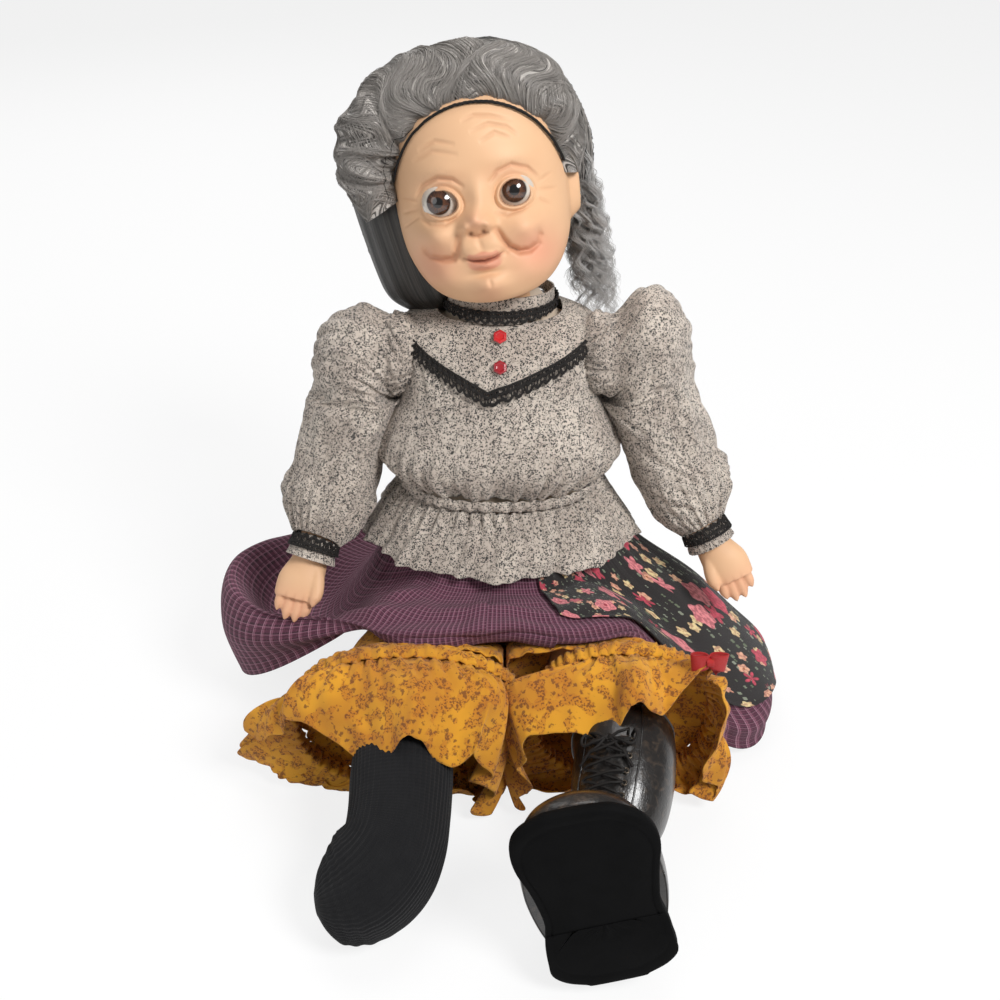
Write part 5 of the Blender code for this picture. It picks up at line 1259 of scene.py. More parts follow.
# Across, up, half width, half height and how far it stands out, in mm on the face
FACE_HILLS = (
    (0.0, -8.5, 3.8, 6.5, 2.4), (0.0, -17.0, 4.5, 4.0, 9.0), (-4.7, -19.0, 2.3, 2.2, 4.4),
    (4.7, -19.0, 2.3, 2.2, 4.4), (-4.6, -26.8, 5.6, 4.8, 2.7), (4.6, -26.8, 5.6, 4.8, 2.7),
    (0.0, -26.0, 1.3, 2.4, -0.7), (-14.0, -9.0, 8.5, 7.0, -2.4), (14.0, -9.0, 8.5, 7.0, -2.4),
    (-14.0, 3.0, 9.0, 3.6, 1.4), (14.0, 3.0, 9.0, 3.6, 1.4), (-16.4, -20.6, 7.6, 6.2, 6.4),
    (19.0, -22.4, 7.8, 6.4, 7.0), (0.0, -30.4, 5.6, 1.5, 2.0), (0.4, -34.3, 4.6, 1.8, 2.8),
    (0.0, -37.4, 6.5, 1.4, -1.5), (0.5, -42.4, 7.0, 4.6, 4.2), (0.8, -41.4, 0.9, 1.6, -0.7),
    (-17.5, -37.0, 7.5, 7.0, 3.0), (17.5, -38.0, 7.5, 7.0, 3.0), (-21.6, -25.2, 1.5, 1.7, -1.6),
    (23.4, -25.8, 1.5, 2.0, -1.9), (-8.4, -30.4, 1.5, 1.4, -1.5), (8.4, -30.4, 1.5, 1.4, -1.5),
    (0.0, 11.0, 22.0, 9.0, 1.0),
)
# Folds in the skin as short lines of points: (across, up) in mm, then half width and depth
FACE_FOLDS = (
    (((-6.6, -20.2), (-8.0, -24.0), (-9.6, -28.2), (-12.0, -30.0), (-16.0, -29.8), (-20.0, -28.0),
      (-22.0, -24.8)), 1.30, -2.6),
    (((6.6, -20.2), (8.2, -23.6), (10.6, -28.8), (14.0, -31.2), (18.0, -31.4), (21.8, -29.4),
      (23.8, -25.4)), 1.30, -3.2),
    (((-8.2, -30.2), (-4.2, -32.0), (0.0, -32.7), (4.2, -32.0), (8.2, -30.2)), 0.60, -2.2),
    (((-2.0, 19.6), (3.0, 21.2), (9.0, 20.2), (17.5, 17.0)), 0.8, -0.85),
    (((0.5, 15.2), (8.0, 17.4), (14.5, 15.4), (19.0, 11.0)), 0.8, -0.85),
    (((3.6, 11.0), (10.0, 13.8), (16.0, 10.6)), 0.8, -0.70),
    (((-20.0, 12.0), (-13.0, 14.4), (-5.4, 11.8)), 0.8, -0.70),
    (((-23.0, 8.4), (-14.8, 11.0), (-4.8, 7.8)), 0.8, -0.60),
    (((4.6, -4.4), (8.6, -0.4), (14.4, 1.4), (20.4, -0.8), (24.6, -5.4)), 0.75, -1.5),
    (((-4.6, -4.4), (-8.6, -0.6), (-14.4, 1.0), (-20.4, -1.0), (-24.4, -5.4)), 0.75, -1.5),
    (((7.2, -15.0), (12.0, -17.0), (18.0, -16.0), (22.6, -12.6)), 0.7, -1.1),
    (((-7.2, -15.0), (-12.0, -17.0), (-18.0, -16.0), (-22.6, -12.6)), 0.7, -1.1),
    (((-23.2, -6.6), (-30.0, -3.6)), 0.6, -0.7), (((-23.6, -9.4), (-31.0, -9.8)), 0.6, -0.7),
    (((-23.0, -12.2), (-29.5, -15.6)), 0.6, -0.7), (((23.2, -6.6), (30.0, -3.6)), 0.6, -0.7),
    (((23.6, -9.4), (31.0, -9.8)), 0.6, -0.7), (((23.0, -12.2), (29.5, -15.6)), 0.6, -0.7),
    (((-4.4, -22.0), (0.0, -22.9), (4.4, -22.0)), 0.7, -1.6),
)
EYE_OPENINGS = ((-14.1, -9.0, 5.6, 4.6), (14.1, -9.2, 5.6, 4.7))
FACE_MIDDLE = -1.3


def face_lean(h):
    """How far the nose and mouth sit toward the doll's right, as on the old moulded face."""
    return 2.3 * smooth_step((-9.0 - h) / 8.0) - 0.9 * smooth_step((-24.0 - h) / 8.0)


def fold_depth(a, h, points, width, depth):
    """A groove along the points that fades out at both its ends."""
    best, fade, count = 1e9, 0.0, len(points) - 1
    for index, ((x0, y0), (x1, y1)) in enumerate(zip(points, points[1:])):
        run, climb = x1 - x0, y1 - y0
        t = min(max(((a - x0) * run + (h - y0) * climb) / (run * run + climb * climb), 0.0), 1.0)
        reach = (a - x0 - run * t) ** 2 + (h - y0 - climb * t) ** 2
        if reach < best:
            best, fade = reach, math.sin(math.pi * (index + t) / count)
    return depth * fade ** 0.6 * math.exp(-best / width ** 2) if best < 9.0 * width * width else 0.0


def eye_reach(a, h):
    """How far a spot is from the nearer eye opening's middle; 1 is its rim."""
    best = 99.0
    for across, up, wide, tall in EYE_OPENINGS:
        x, z = (a - across) / wide, (h - up) / tall
        lift = 0.22 * x * x
        best = min(best, math.sqrt(x * x + (z + lift * 0.5) ** 2))
    return best


def face_relief(a, h):
    """How far the face stands out at (across, up), in mm; negative values sink in."""
    e = eye_reach(a, h)
    a += face_lean(h)
    height = sum(face_gauss(a, h, spot) for spot in FACE_HILLS)
    height += sum(fold_depth(a, h, *fold) for fold in FACE_FOLDS)
    if e < 4.0:
        height += 1.9 * math.exp(-((e - 1.15) / 0.20) ** 2)
        height -= 0.6 * math.exp(-((e - 1.46) / 0.10) ** 2)
        height -= 6.5 * smooth_step((1.04 - e) / 0.10)
    nose = math.exp(-((abs(a) - 2.5) / 1.1) ** 2 - ((h + 21.4) / 0.8) ** 2)
    return height - 1.6 * nose


def face_colour(a, h):
    """The painted colour of the face at (across, up) in mm, with painted shade in its folds, nostrils and
    eye openings.
    """
    colour = Vector(VINYL)
    e = eye_reach(a, h)
    a += face_lean(h)
    for across, up, wide, tall, share in BLUSHES:
        hill = share * math.exp(-((a - across) / wide) ** 2 - ((h - up) / tall) ** 2)
        colour = colour.lerp(Vector(BLUSH), min(hill, 1.0))
    # Painted shade: the skin darkens the deeper each fold and crease is.
    fold = sum(fold_depth(a, h, *entry) for entry in FACE_FOLDS)
    colour = colour.lerp(Vector(CREASE_PAINTED_SHADE), min(-fold * 0.26, 0.42))
    bend = 0.022 * a * a
    upper = smooth_step((2.0 - abs(h + 31.0 - bend - 0.5 * math.cos(a * 0.8))) / 0.8)
    lower = smooth_step((2.3 - abs(h + 34.4 - bend)) / 0.9)
    mouth = max(upper, lower) * smooth_step((7.8 - abs(a)) / 2.6)
    mouth *= smooth_step((1.0 - ((a / 8.4) ** 2 + ((h + 32.2) / 4.6) ** 2)) * 3.0)
    colour = colour.lerp(Vector(LIP), 0.75 * mouth)
    line = fold_depth(a, h, FACE_FOLDS[2][0], 0.45, -1.0)
    colour = colour.lerp(Vector(LIP_LINE), -line * 0.8)
    brow = 0.0
    for side in (-1.0, 1.0):
        points = [(side * x, y) for x, y in ((7.5, 0.8), (12.0, 3.6), (17.5, 3.2), (21.5, 0.6))]
        reach = -fold_depth(a, h, points, 1.5, -1.0)
        grain = noise.noise(Vector((a * 2.4 - side * h * 1.0, h * 0.6, 3.0)))
        brow = max(brow, reach * (0.45 + 0.9 * grain))
    colour = colour.lerp(Vector(BROW), 0.18 * min(max(brow, 0.0), 0.55))
    rim = math.exp(-((e - 1.06) / 0.07) ** 2)
    colour = colour.lerp(Vector(LID_LINE), 0.55 * rim)
    # Painted shade: the skin inside each eye opening is dark.
    if e < 0.98:
        colour = Vector(EYE_OPENING_PAINTED_SHADE)
    # Painted shade in the nostrils.
    nostril_painted_shade = math.exp(-((abs(a) - 2.5) / 0.9) ** 2 - ((h + 21.5) / 0.7) ** 2)
    return colour.lerp(Vector(CREASE_PAINTED_SHADE) * 0.35, min(0.8 * nostril_painted_shade, 1.0))


BLUSHES = ((-20.0, -31.0, 9.0, 9.0, 0.55), (21.0, -32.0, 10.0, 9.0, 0.70), (0.0, -17.5, 4.5, 4.0, 0.35),
           (0.0, -45.0, 6.0, 5.0, 0.25), (-13.0, -1.0, 8.0, 3.0, 0.20), (13.0, -1.0, 8.0, 3.0, 0.20))
BLUSH = (0.72, 0.30, 0.20)
# Painted shade for the face's folds, the nostrils and the hand's creases.
CREASE_PAINTED_SHADE = (0.46, 0.20, 0.11)
LIP = (0.62, 0.24, 0.16)
LIP_LINE = (0.22, 0.05, 0.03)
BROW = (0.30, 0.20, 0.14)
LID_LINE = (0.25, 0.10, 0.06)
# Painted shade inside the eye openings.
EYE_OPENING_PAINTED_SHADE = (0.10, 0.04, 0.03)
SKIN_COLUMNS = 380
SKIN_ROWS = 330
NECK_ROWS = 6


def paint_points(obj, colours):
    layer = obj.data.color_attributes.new("paint", "FLOAT_COLOR", "POINT")
    for item, colour in zip(layer.data, colours):
        item.color = (*colour, 1.0)


def skin_point(turn, rise):
    """A spot of the finished head's skin in its own frame, and its place on the face."""
    across, forward, up = head_local(turn, rise, 0.0, False)
    front_share = smooth_step((math.cos(2.0 * math.pi * turn) - 0.05) * 2.6)
    a, h = across / MM - FACE_MIDDLE, up / MM
    forward += face_relief(a, h) * MM * front_share
    back = -EAR_BACK_SHARE * HEAD_DEPTH
    dz, dy = (up - EAR_HEIGHT_SHARE * HEAD_HEIGHT) / EAR_LENGTH, (forward - back) / EAR_WIDTH
    reach = math.sqrt(dz * dz + (dy - 0.15 * dz) ** 2)
    ear = 4.2 * math.exp(-((reach - 0.95) / 0.34) ** 2) + 1.3 * smooth_step(1.2 - reach)
    ear *= smooth_step((1.9 - reach) * 2.0) * smooth_step((abs(across) - 24.0 * MM) / (5.0 * MM))
    across += math.copysign(ear * MM, across)
    return (across, forward, up), (a, h, front_share)


def crowded(turn, share):
    return turn - share * math.sin(2.0 * math.pi * turn) / (2.0 * math.pi)


def make_skin(look):
    spots, colours = [], []
    for row in range(NECK_ROWS):
        up = -NECK_DEPTH + (NECK_TOP_SHARE * HEAD_HEIGHT + NECK_DEPTH) * row / (NECK_ROWS - 1)
        spots.append([in_head(NECK_RADIUS * math.sin(angle),
                              NECK_RADIUS * math.cos(angle) - NECK_BACK, up)
                      for angle in [2.0 * math.pi * crowded(column / SKIN_COLUMNS, 0.82)
                                    for column in range(SKIN_COLUMNS)]])
        colours += [VINYL] * SKIN_COLUMNS
    for row in range(SKIN_ROWS + 1):
        ring = []
        for column in range(SKIN_COLUMNS):
            turn = crowded(column / SKIN_COLUMNS, 0.82)
            local, (a, h, front) = skin_point(turn, row / SKIN_ROWS)
            ring.append(in_head(*local))
            colour = face_colour(a, h) if front > 0.02 else Vector(VINYL)
            colours.append(Vector(VINYL).lerp(colour, min(front * 1.6, 1.0)))
        spots.append(ring)
    skin = loft_grid("head_skin", spots, caps=(False, True))
    paint_points(skin, colours + [VINYL] * (len(skin.data.vertices) - len(colours)))
    dress(skin, "head", ("head_shell",), look)


EYE_RINGS = 72
EYE_SIDES = 96
IRIS_SHARE = 0.545
PUPIL_SHARE = 0.22
GAZES = {"right": (-22.5, -9.0), "left": (13.4, -9.0)}


def make_eyes(look):
    """Glossy set-in eyes: white, a streaked brown iris, a pupil and a domed cornea."""
    top = neck_frame()[2]
    for end, side in SIDES:
        middle = eye_place(side)
        across, up = GAZES[end]
        target = in_head(across * MM, 60.0 * MM, up * MM)
        gaze = (target - middle).normalized()
        right = gaze.cross(top).normalized()
        rise = right.cross(gaze)
        rings, colours = [], []
        for index in range(1, EYE_RINGS):
            polar = math.pi * index / EYE_RINGS
            ring = []
            for column in range(EYE_SIDES):
                angle = 2.0 * math.pi * column / EYE_SIDES
                reach = EYE_RADIUS + 0.45 * MM * math.exp(-(polar / 0.42) ** 2) - 0.15 * MM
                spread = right * math.cos(angle) + rise * math.sin(angle)
                ring.append(middle + (gaze * math.cos(polar) + spread * math.sin(polar)) * reach)
                colours.append(eye_colour(math.sin(polar) if polar < 1.5 else 1.0, angle))
            rings.append(ring)
        eye = loft_grid("eyeball_" + end, rings, caps=(True, True))
        extra = len(eye.data.vertices) - len(colours)
        paint_points(eye, colours + [PUPIL] * extra)
        dress(eye, "head", ("eye_" + end,), look)


def eye_colour(reach, angle):
    streak = noise.noise(Vector((math.cos(angle) * 9.0, math.sin(angle) * 9.0, reach * 3.0)))
    if reach < PUPIL_SHARE:
        return PUPIL
    if reach < IRIS_SHARE:
        share = (reach - PUPIL_SHARE) / (IRIS_SHARE - PUPIL_SHARE)
        colour = Vector(IRIS_INNER).lerp(Vector(IRIS_OUTER), smooth_step(share * 1.15))
        colour *= 1.0 + 0.9 * streak
        return colour.lerp(Vector(PUPIL), smooth_step((share - 0.84) * 6.0) * 0.85)
    share = smooth_step((reach - IRIS_SHARE) / 0.05)
    return Vector(PUPIL).lerp(Vector(EYE_WHITE), share)


PUPIL = (0.004, 0.003, 0.003)
IRIS_INNER = (0.090, 0.034, 0.014)
IRIS_OUTER = (0.040, 0.014, 0.007)
EYE_WHITE = (0.60, 0.54, 0.47)


def eye_look():
    look = Look("eye_plastic", EYE_WHITE, 0.12)
    look.colour(look.node("Attribute", {}, attribute_name="paint").outputs["Color"])
    look.bump(look.noise(look.sized(False, 1.0), 900.0), 0.00002, 0.2)
    look.set("Coat Weight", 1.0)
    look.set("Coat Roughness", 0.03)
    return look.material


# The hair and the hairnet

HAIR_SEED = 11


def roll_frame(t):
    """The front roll's middle, radius, way along, way out from the head and third axis."""
    place, radius = roll_line(t)
    step = 0.01
    ahead = (roll_line(min(t + step, 1.0))[0] - roll_line(max(t - step, 0.0))[0]).normalized()
    out = place - in_head(ROLL_SHIFT_SHARE * HEAD_WIDTH, -4.0 * MM, 6.0 * MM)
    out = (out - ahead * out.dot(ahead)).normalized()
    return place, radius, ahead, out, ahead.cross(out)


def roll_point(t, turn, lift=0.0):
    """A spot on the roll: turn 0 is its outer crest, and waves run along it."""
    place, radius, _, out, third = roll_frame(t)
    wave = WAVE_DEPTH * math.cos(2.0 * math.pi * (turn * WAVES + wave_phase(t)))
    lock = 0.40 * MM * math.cos(2.0 * math.pi * (t - sway(turn, t)) * LOCKS)
    reach = radius + (wave + lock) * smooth_step(min(t, 1.0 - t) * 8.0) + lift - 0.3 * MM
    angle = 2.0 * math.pi * turn
    return place + (out * math.cos(angle) + third * math.sin(angle)) * reach


def wave_phase(t):
    """Where the waves of the combed hair stand at a place along the roll."""
    return 1.0 * noise.noise(Vector((t * 9.0, 0.0, 9.0))) + 0.5 * t


def sway(turn, t):
    """How far a hair that is combed over the roll leans along it."""
    return 0.030 * math.sin(2.0 * math.pi * (turn * WAVES + wave_phase(t)))


WAVES = 3.0
WAVE_DEPTH = 1.1 * MM
LOCKS = 15.0
ROLL_COLUMNS = 110
ROLL_ROWS = 260


def back_point(turn, rise, lift=0.0):
    """A spot of the netted hair behind, with the soft waves of combed hair."""
    swell = 1.3 * MM * round_ripple(turn, rise, 4.0, 2.2, 3.0)
    comb = 0.22 * MM * math.sin(2.0 * math.pi * (turn * 26.0 + 1.2 * rise))
    point = hair_point(2.0 * math.pi * turn, min(max(rise, 0.0), 1.0), swell + comb + lift - 0.5 * MM)
    sag = smooth_step((TAIL_TOP - point.z) / TAIL_REACH) * smooth_step((TAIL_SIDE - point.x) / TAIL_REACH)
    return point + Vector(TAIL_SAG) * sag


# Where the netted hair sags at the nape, on the doll's right: its height, side and reach
TAIL_TOP = 226.0 * MM
TAIL_SIDE = -12.0 * MM
TAIL_REACH = 20.0 * MM
TAIL_SAG = (5.0 * MM, -4.0 * MM, -15.0 * MM)


def strands(name, starts, length_at, point_at, radius, seed, steps=16):
    """Fine hairs that lie on point_at(u, v) from each start, with a little wander."""
    rand = random.Random(seed)
    lines = []
    for u, v, du, dv in starts(rand):
        bend = rand.uniform(-1.0, 1.0)
        lift = rand.uniform(0.1, 0.7) * MM
        line = []
        for index in range(steps + 1):
            t = index / steps
            drift = length_at * bend * 0.10 * math.sin(math.pi * t)
            dip = lift * math.sin(math.pi * t) ** 0.6 - 0.15 * MM
            line.append(point_at(u + du * t + drift * dv, v + dv * t - drift * du, dip))
        lines.append(line)
    return tubes(name, lines, radius, sides=3)


def make_hair_pieces(grey, dark, pale, net, elastic):
    roll = grid("roll_hair", lambda u, v: roll_point(v, u), ROLL_COLUMNS, ROLL_ROWS,
                closed=True, size=(0.075, 0.22))
    for loop in roll.data.uv_layers[0].data:
        turn, t = loop.uv[0] / 0.075, loop.uv[1] / 0.22
        loop.uv = ((t - sway(turn, t)) * 0.22, turn * 0.075)
    dress(roll, "head", ("front_hair_roll",), grey)

    def roll_starts(rand):
        for _ in range(ROLL_STRANDS):
            yield rand.uniform(0.0, 1.0), rand.uniform(0.02, 0.98), rand.uniform(0.30, 0.60), 0.0

    def on_roll(u, v, lift):
        return roll_point(min(max(v + sway(u, v), 0.0), 1.0), u, lift)
    fine = strands("roll_strands", roll_starts, 0.05, on_roll, STRAND_RADIUS, HAIR_SEED, 26)
    dress(fine, "head", (), grey)
    back = grid("back_hair_mass", lambda u, v: back_point(u, v), 150, 70, closed=True,
                size=(0.30, 0.09))
    cap_ends(back)
    # The hair behind takes the near-black look: the black net, and painted shade.
    dress(back, "head", ("back_hair",), dark)

    def back_starts(rand):
        for _ in range(BACK_STRANDS):
            yield rand.uniform(-0.04, 0.30), rand.uniform(0.0, 0.75), \
                rand.uniform(-0.02, 0.05), rand.uniform(0.15, 0.28)

    def on_back(u, v, lift):
        wave = 0.012 * math.sin(v * 26.0)
        return back_point(u + wave, v, lift)
    free = strands("side_strands", back_starts, 0.5, on_back, STRAND_RADIUS, HAIR_SEED + 1)
    dress(free, "head", (), grey)
    make_net(net)
    make_elastic(elastic)
    make_curls(grey, pale)


ROLL_STRANDS = 2600
BACK_STRANDS = 420
STRAND_RADIUS = 0.12 * MM


def cap_ends(obj):
    """Close a tube's two open ends with fans."""
    mesh_data = bmesh.new()
    mesh_data.from_mesh(obj.data)
    bmesh.ops.holes_fill(mesh_data, edges=[edge for edge in mesh_data.edges if edge.is_boundary])
    mesh_data.to_mesh(obj.data)
    mesh_data.free()


def make_net(look):
    """The hairnet: fine knotted cords in a diamond grid over the hair behind."""
    lines = []
    first, last = NET_EDGE / HAIR_COLUMNS, 1.0 - NET_EDGE / HAIR_COLUMNS
    low, high = NET_LOW / 8, NET_HIGH / 8 + 0.10
    for index in range(-NET_CORDS, NET_CORDS * 2):
        for slant in (-1.0, 1.0):
            line = []
            for step in range(49):
                t = step / 48
                u = (index / NET_CORDS) + slant * t * 0.5
                if slant < 0:
                    u += 0.5
                if 0.0 <= u <= 1.0:
                    line.append(back_point(first + (last - first) * u, low + (high - low) * t,
                                           NET_LIFT))
            if len(line) > 2:
                lines.append(line)
    for v in (low, high):
        lines.append([back_point(first + (last - first) * step / 90, v, NET_LIFT)
                      for step in range(91)])
    dress(tubes("hairnet_cords", lines, NET_CORD, sides=3), "head", ("hairnet",), look)
    edges = []
    for edge in (-0.30, 0.30):
        edges.append([roll_point(0.03 + 0.94 * step / 120, edge, 0.5 * MM) for step in range(121)])
    dress(tubes("hairnet_front_edge", edges, NET_CORD, sides=3), "head", (), look)


NET_CORDS = 40
NET_LIFT = 1.0 * MM
NET_CORD = 0.14 * MM


def make_elastic(look):
    """The net's ribbed elastic, which crosses the forehead under the roll."""
    points = []
    steps = 90
    for index in range(steps + 1):
        angle = ELASTIC_REACH * (2.15 * index / steps - 1.05)
        sink = (1.0 - math.cos(angle)) / (1.0 - math.cos(ELASTIC_REACH))
        rise = ELASTIC_TOP_SHARE - ELASTIC_DIP * sink
        wobble = 0.25 * MM * noise.noise(Vector((index * 0.25, 0.0, 5.0)))
        local = head_local(angle / (2.0 * math.pi), rise, ELASTIC_RADIUS + 0.35 * MM, False)
        points.append(in_head(local[0], local[1], local[2] + wobble))
    mesh_data = bmesh.new()
    tube_mesh(mesh_data, points, ELASTIC_RADIUS * 0.62, 8)
    for strand in range(3):
        twist = []
        for index, point in enumerate(points):
            angle = index * 0.9 + 2.0 * math.pi * strand / 3
            twist.append(point + Vector((0.0, math.cos(angle), math.sin(angle)))
                         * ELASTIC_RADIUS * 0.45)
        tube_mesh(mesh_data, twist, ELASTIC_RADIUS * 0.34, 5)
    dress(piece("hairnet_band", mesh_data), "head", ("hairnet_elastic",), look)


ELASTIC_DIP = 0.155


def make_curls(look, pale):
    """Loose wavy locks that hang over and behind the doll's left ear, paler at their ends."""
    rand = random.Random(HAIR_SEED + 2)
    lines, pale_lines = [], []
    for index in range(LOOSE_LOCKS):
        light = index % 5 < 2
        out, back = rand.uniform(31.0, 42.0 + 4.0 * light), rand.uniform(4.0, 28.0)
        top, tip = (rand.uniform(-6.0, 16.0), rand.uniform(-66.0, -50.0)) if light else \
            (rand.uniform(8.0, 34.0), rand.uniform(-52.0, -14.0))
        length, phase = rand.uniform(9.0, 14.0), rand.uniform(0.0, 1.0)
        swell, drift = rand.uniform(1.4, 3.0), rand.uniform(1.0, 5.0)
        for _ in range(LOCK_HAIRS):
            shift_out, shift_back = rand.gauss(0.0, 0.8), rand.gauss(0.0, 0.8)
            slip, stray = rand.gauss(0.0, 0.03), rand.uniform(0.0, 1.0) ** 9 * 6.0
            low = tip + rand.gauss(0.0, 2.0)
            line = []
            for step in range(LOCK_STEPS + 1):
                t = step / LOCK_STEPS
                angle = 2.0 * math.pi * ((top - low) * t / length + phase + slip)
                wide = swell * smooth_step(t * 3.0)
                line.append(in_head(
                    (out + shift_out + drift * math.sin(2.6 * t) + wide * math.sin(angle)
                     + stray * t * t) * MM,
                    (-back + shift_back + wide * 0.8 * math.cos(angle)) * MM,
                    (top + (low - top) * t) * MM))
            (pale_lines if light else lines).append(line)
    dress(tubes("curl_hairs", lines, STRAND_RADIUS, sides=3, taper=0.5), "head",
          ("side_curl",), look)
    dress(tubes("pale_curl_hairs", pale_lines, STRAND_RADIUS * 0.8, sides=3, taper=0.5), "head",
          (), pale)


LOOSE_LOCKS = 85
LOCK_HAIRS = 16
LOCK_STEPS = 34


# The blouse

def fullness(turn, v, seed, count):
    """Gathered folds round a garment: many narrow ridges that wander and fade."""
    wander = 0.35 * round_ripple(turn, v, seed, 2.0, 1.5)
    ridge = math.cos(2.0 * math.pi * (count * turn + wander * 3.0))
    small = math.cos(2.0 * math.pi * (count * 2.3 * turn + 2.0 * wander) + seed)
    return 0.65 * ridge + 0.35 * small


def bodice_folds(turn, rise):
    """How far the bodice's gathers stand out at the waist and under the yoke."""
    waist = math.exp(-(rise / 0.20) ** 2)
    front = min(turn % 1.0, 1.0 - turn % 1.0)
    edge = yoke_edge(min(max((0.5 + (turn % 1.0 if turn % 1.0 < 0.5 else turn % 1.0 - 1.0)
                              / 0.32), 0.0), 1.0))[1]
    under = math.exp(-((edge - rise) / 0.16) ** 2) * smooth_step((edge - rise) * 18.0 + 0.4)
    under *= smooth_step((0.19 - front) * 20.0)
    deep = 2.2 * waist * fullness(turn, rise, 1.0, 30) + 1.3 * under * fullness(turn, rise, 2.0, 40)
    soft = 0.9 * round_ripple(turn, rise, 3.0, 2.6, 2.4) + 0.45 * round_ripple(turn, rise, 5.0, 6.0, 4.0)
    return (deep + soft * smooth_step((0.93 - rise) * 8.0)) * MM


def make_bodice(look, lace_look, button_looks):
    def shell(u, v):
        return blouse_point(u, v, bodice_folds(u, v))

    def whole(u, v):
        point = blouse_point(u, v)
        reach = math.hypot(point.y - SHOULDER_BACK, point.z - SHOULDER_HEIGHT)
        return reach > ARMHOLE_RADIUS * 0.75
    body = grid("bodice_cloth", shell, 260, 110, closed=True, size=(0.30, BLOUSE_LENGTH), keep=whole)
    cloth(body, "torso", ("bodice",), look, 0.5 * MM)

    def yoke_edge(u):
        return 0.32 * (u - 0.5) - YOKE_LEAN * (1.0 - abs(2.0 * u - 1.0)), \
            0.545 + 0.25 * abs(2.0 * u - 1.0) ** 0.88

    def yoke_spot(u, v):
        turn, low = yoke_edge(u)
        top = YOKE_TOP_SHARE + 0.05
        spare = 1.25 * MM + 0.5 * MM * round_ripple(turn, v, 6.0, 4.0, 2.0)
        return blouse_point(turn, low + (top - low) * v, spare)
    yoke = grid("yoke_cloth", yoke_spot, 120, 44, size=(0.09, 0.03))
    cloth(yoke, "torso", ("yoke",), look, 0.5 * MM)

    def lace_spot(u, v):
        turn, low = yoke_edge(u)
        drop = LACE_WIDTH / BLOUSE_LENGTH
        return blouse_point(turn, low + drop * (v - 0.5),
                            1.9 * MM + 0.25 * MM * math.sin(v * math.pi) * math.cos(u * 190.0))
    strip = lace_strip("yoke_lace_trim", lace_spot, 420, 30, 26)
    cloth(strip, "torso", ("yoke_lace",), lace_look, 0.35 * MM, 1.0)
    for word, rise, look_here in zip(("button_upper", "button_lower"), BUTTON_RISE_SHARES,
                                     button_looks):
        make_button(word, rise, look_here)


YOKE_LEAN = 0.012


def lace_strip(name, point_at, columns, rows, motifs, closed=False):
    """A lace strip: scalloped edges, and small holes in each motif."""
    def keep(u, v):
        phase = (u * motifs) % 1.0 - 0.5
        scallop = 0.20 * abs(math.cos(math.pi * (u * motifs + 0.5)))
        if v < 0.26 - scallop or v > 0.90:
            return False
        for x, y, wide, tall in LACE_HOLES:
            if ((abs(phase) - x) / wide) ** 2 + ((v - y) / tall) ** 2 < 1.0:
                return False
        return True
    return grid(name, point_at, columns, rows, closed=closed, size=(0.11, LACE_WIDTH), keep=keep)


LACE_HOLES = ((0.0, 0.36, 0.17, 0.13), (0.36, 0.44, 0.09, 0.09), (0.18, 0.72, 0.07, 0.06),
              (0.42, 0.72, 0.06, 0.06))


def make_button(word, rise, look):
    """A faceted six-sided button with a bevelled rim and a dished face."""
    out = (blouse_point(0.02, rise) - blouse_point(-0.02, rise)).cross(
        blouse_point(0.0, rise + 0.02) - blouse_point(0.0, rise - 0.02)).normalized()
    seat = blouse_point(0.0, rise, 2 * CLEARANCE + THIN_CLOTH) + out * BUTTON_SEAT
    across = X_AXIS
    up = out.cross(across).normalized()
    mesh_data = bmesh.new()
    profile = ((0.0, 0.0), (0.0, 0.96), (0.20, 1.02), (0.62, 1.02), (0.86, 0.92), (1.0, 0.74),
               (0.94, 0.62), (0.72, 0.54), (0.66, 0.0))
    loops = []
    for height, reach in profile:
        if reach == 0.0:
            loops.append([mesh_data.verts.new(seat + out * height * BUTTON_THICKNESS)])
            continue
        ring = []
        for index in range(6):
            angle = 2.0 * math.pi * (index + 0.5) / 6
            ring.append(mesh_data.verts.new(
                seat + out * height * BUTTON_THICKNESS
                + (across * math.cos(angle) + up * math.sin(angle)) * BUTTON_RADIUS * reach))
        loops.append(ring)
    for low, high in zip(loops, loops[1:]):
        for index in range(6):
            after = (index + 1) % 6
            if len(low) == 1:
                mesh_data.faces.new((low[0], high[index], high[after]))
            elif len(high) == 1:
                mesh_data.faces.new((low[index], high[0], low[after]))
            else:
                mesh_data.faces.new((low[index], high[index], high[after], low[after]))
    bmesh.ops.recalc_face_normals(mesh_data, faces=mesh_data.faces)
    obj = piece(word + "_faceted", mesh_data)
    bevel = obj.modifiers.new("bevel", "BEVEL")
    bevel.width = 0.18 * MM
    bevel.segments = 2
    dress(obj, "torso", (word,), look)


def make_collar_pieces(look, lace_look):
    def band(turn, rise):
        sag = 0.45 * MM * round_ripple(-turn, rise, 8.0, 4.0, 1.5)
        return collar_point(-turn, rise, sag)
    collar = grid("collar_cloth", band, 220, 24, closed=True, size=(0.15, COLLAR_HEIGHT))
    cloth(collar, "torso", ("collar",), look, 0.9 * MM)

    def lace_spot(turn, rise):
        ruffle = 0.35 * MM * math.cos(2.0 * math.pi * 44 * turn) * (0.4 + rise)
        return collar_point(-turn, rise * 0.62, 1.15 * MM + ruffle)
    strip = lace_strip("collar_lace_trim", lace_spot, 560, 22, 38, closed=True)
    cloth(strip, "torso", ("collar_lace",), lace_look,
          0.35 * MM, 1.0)


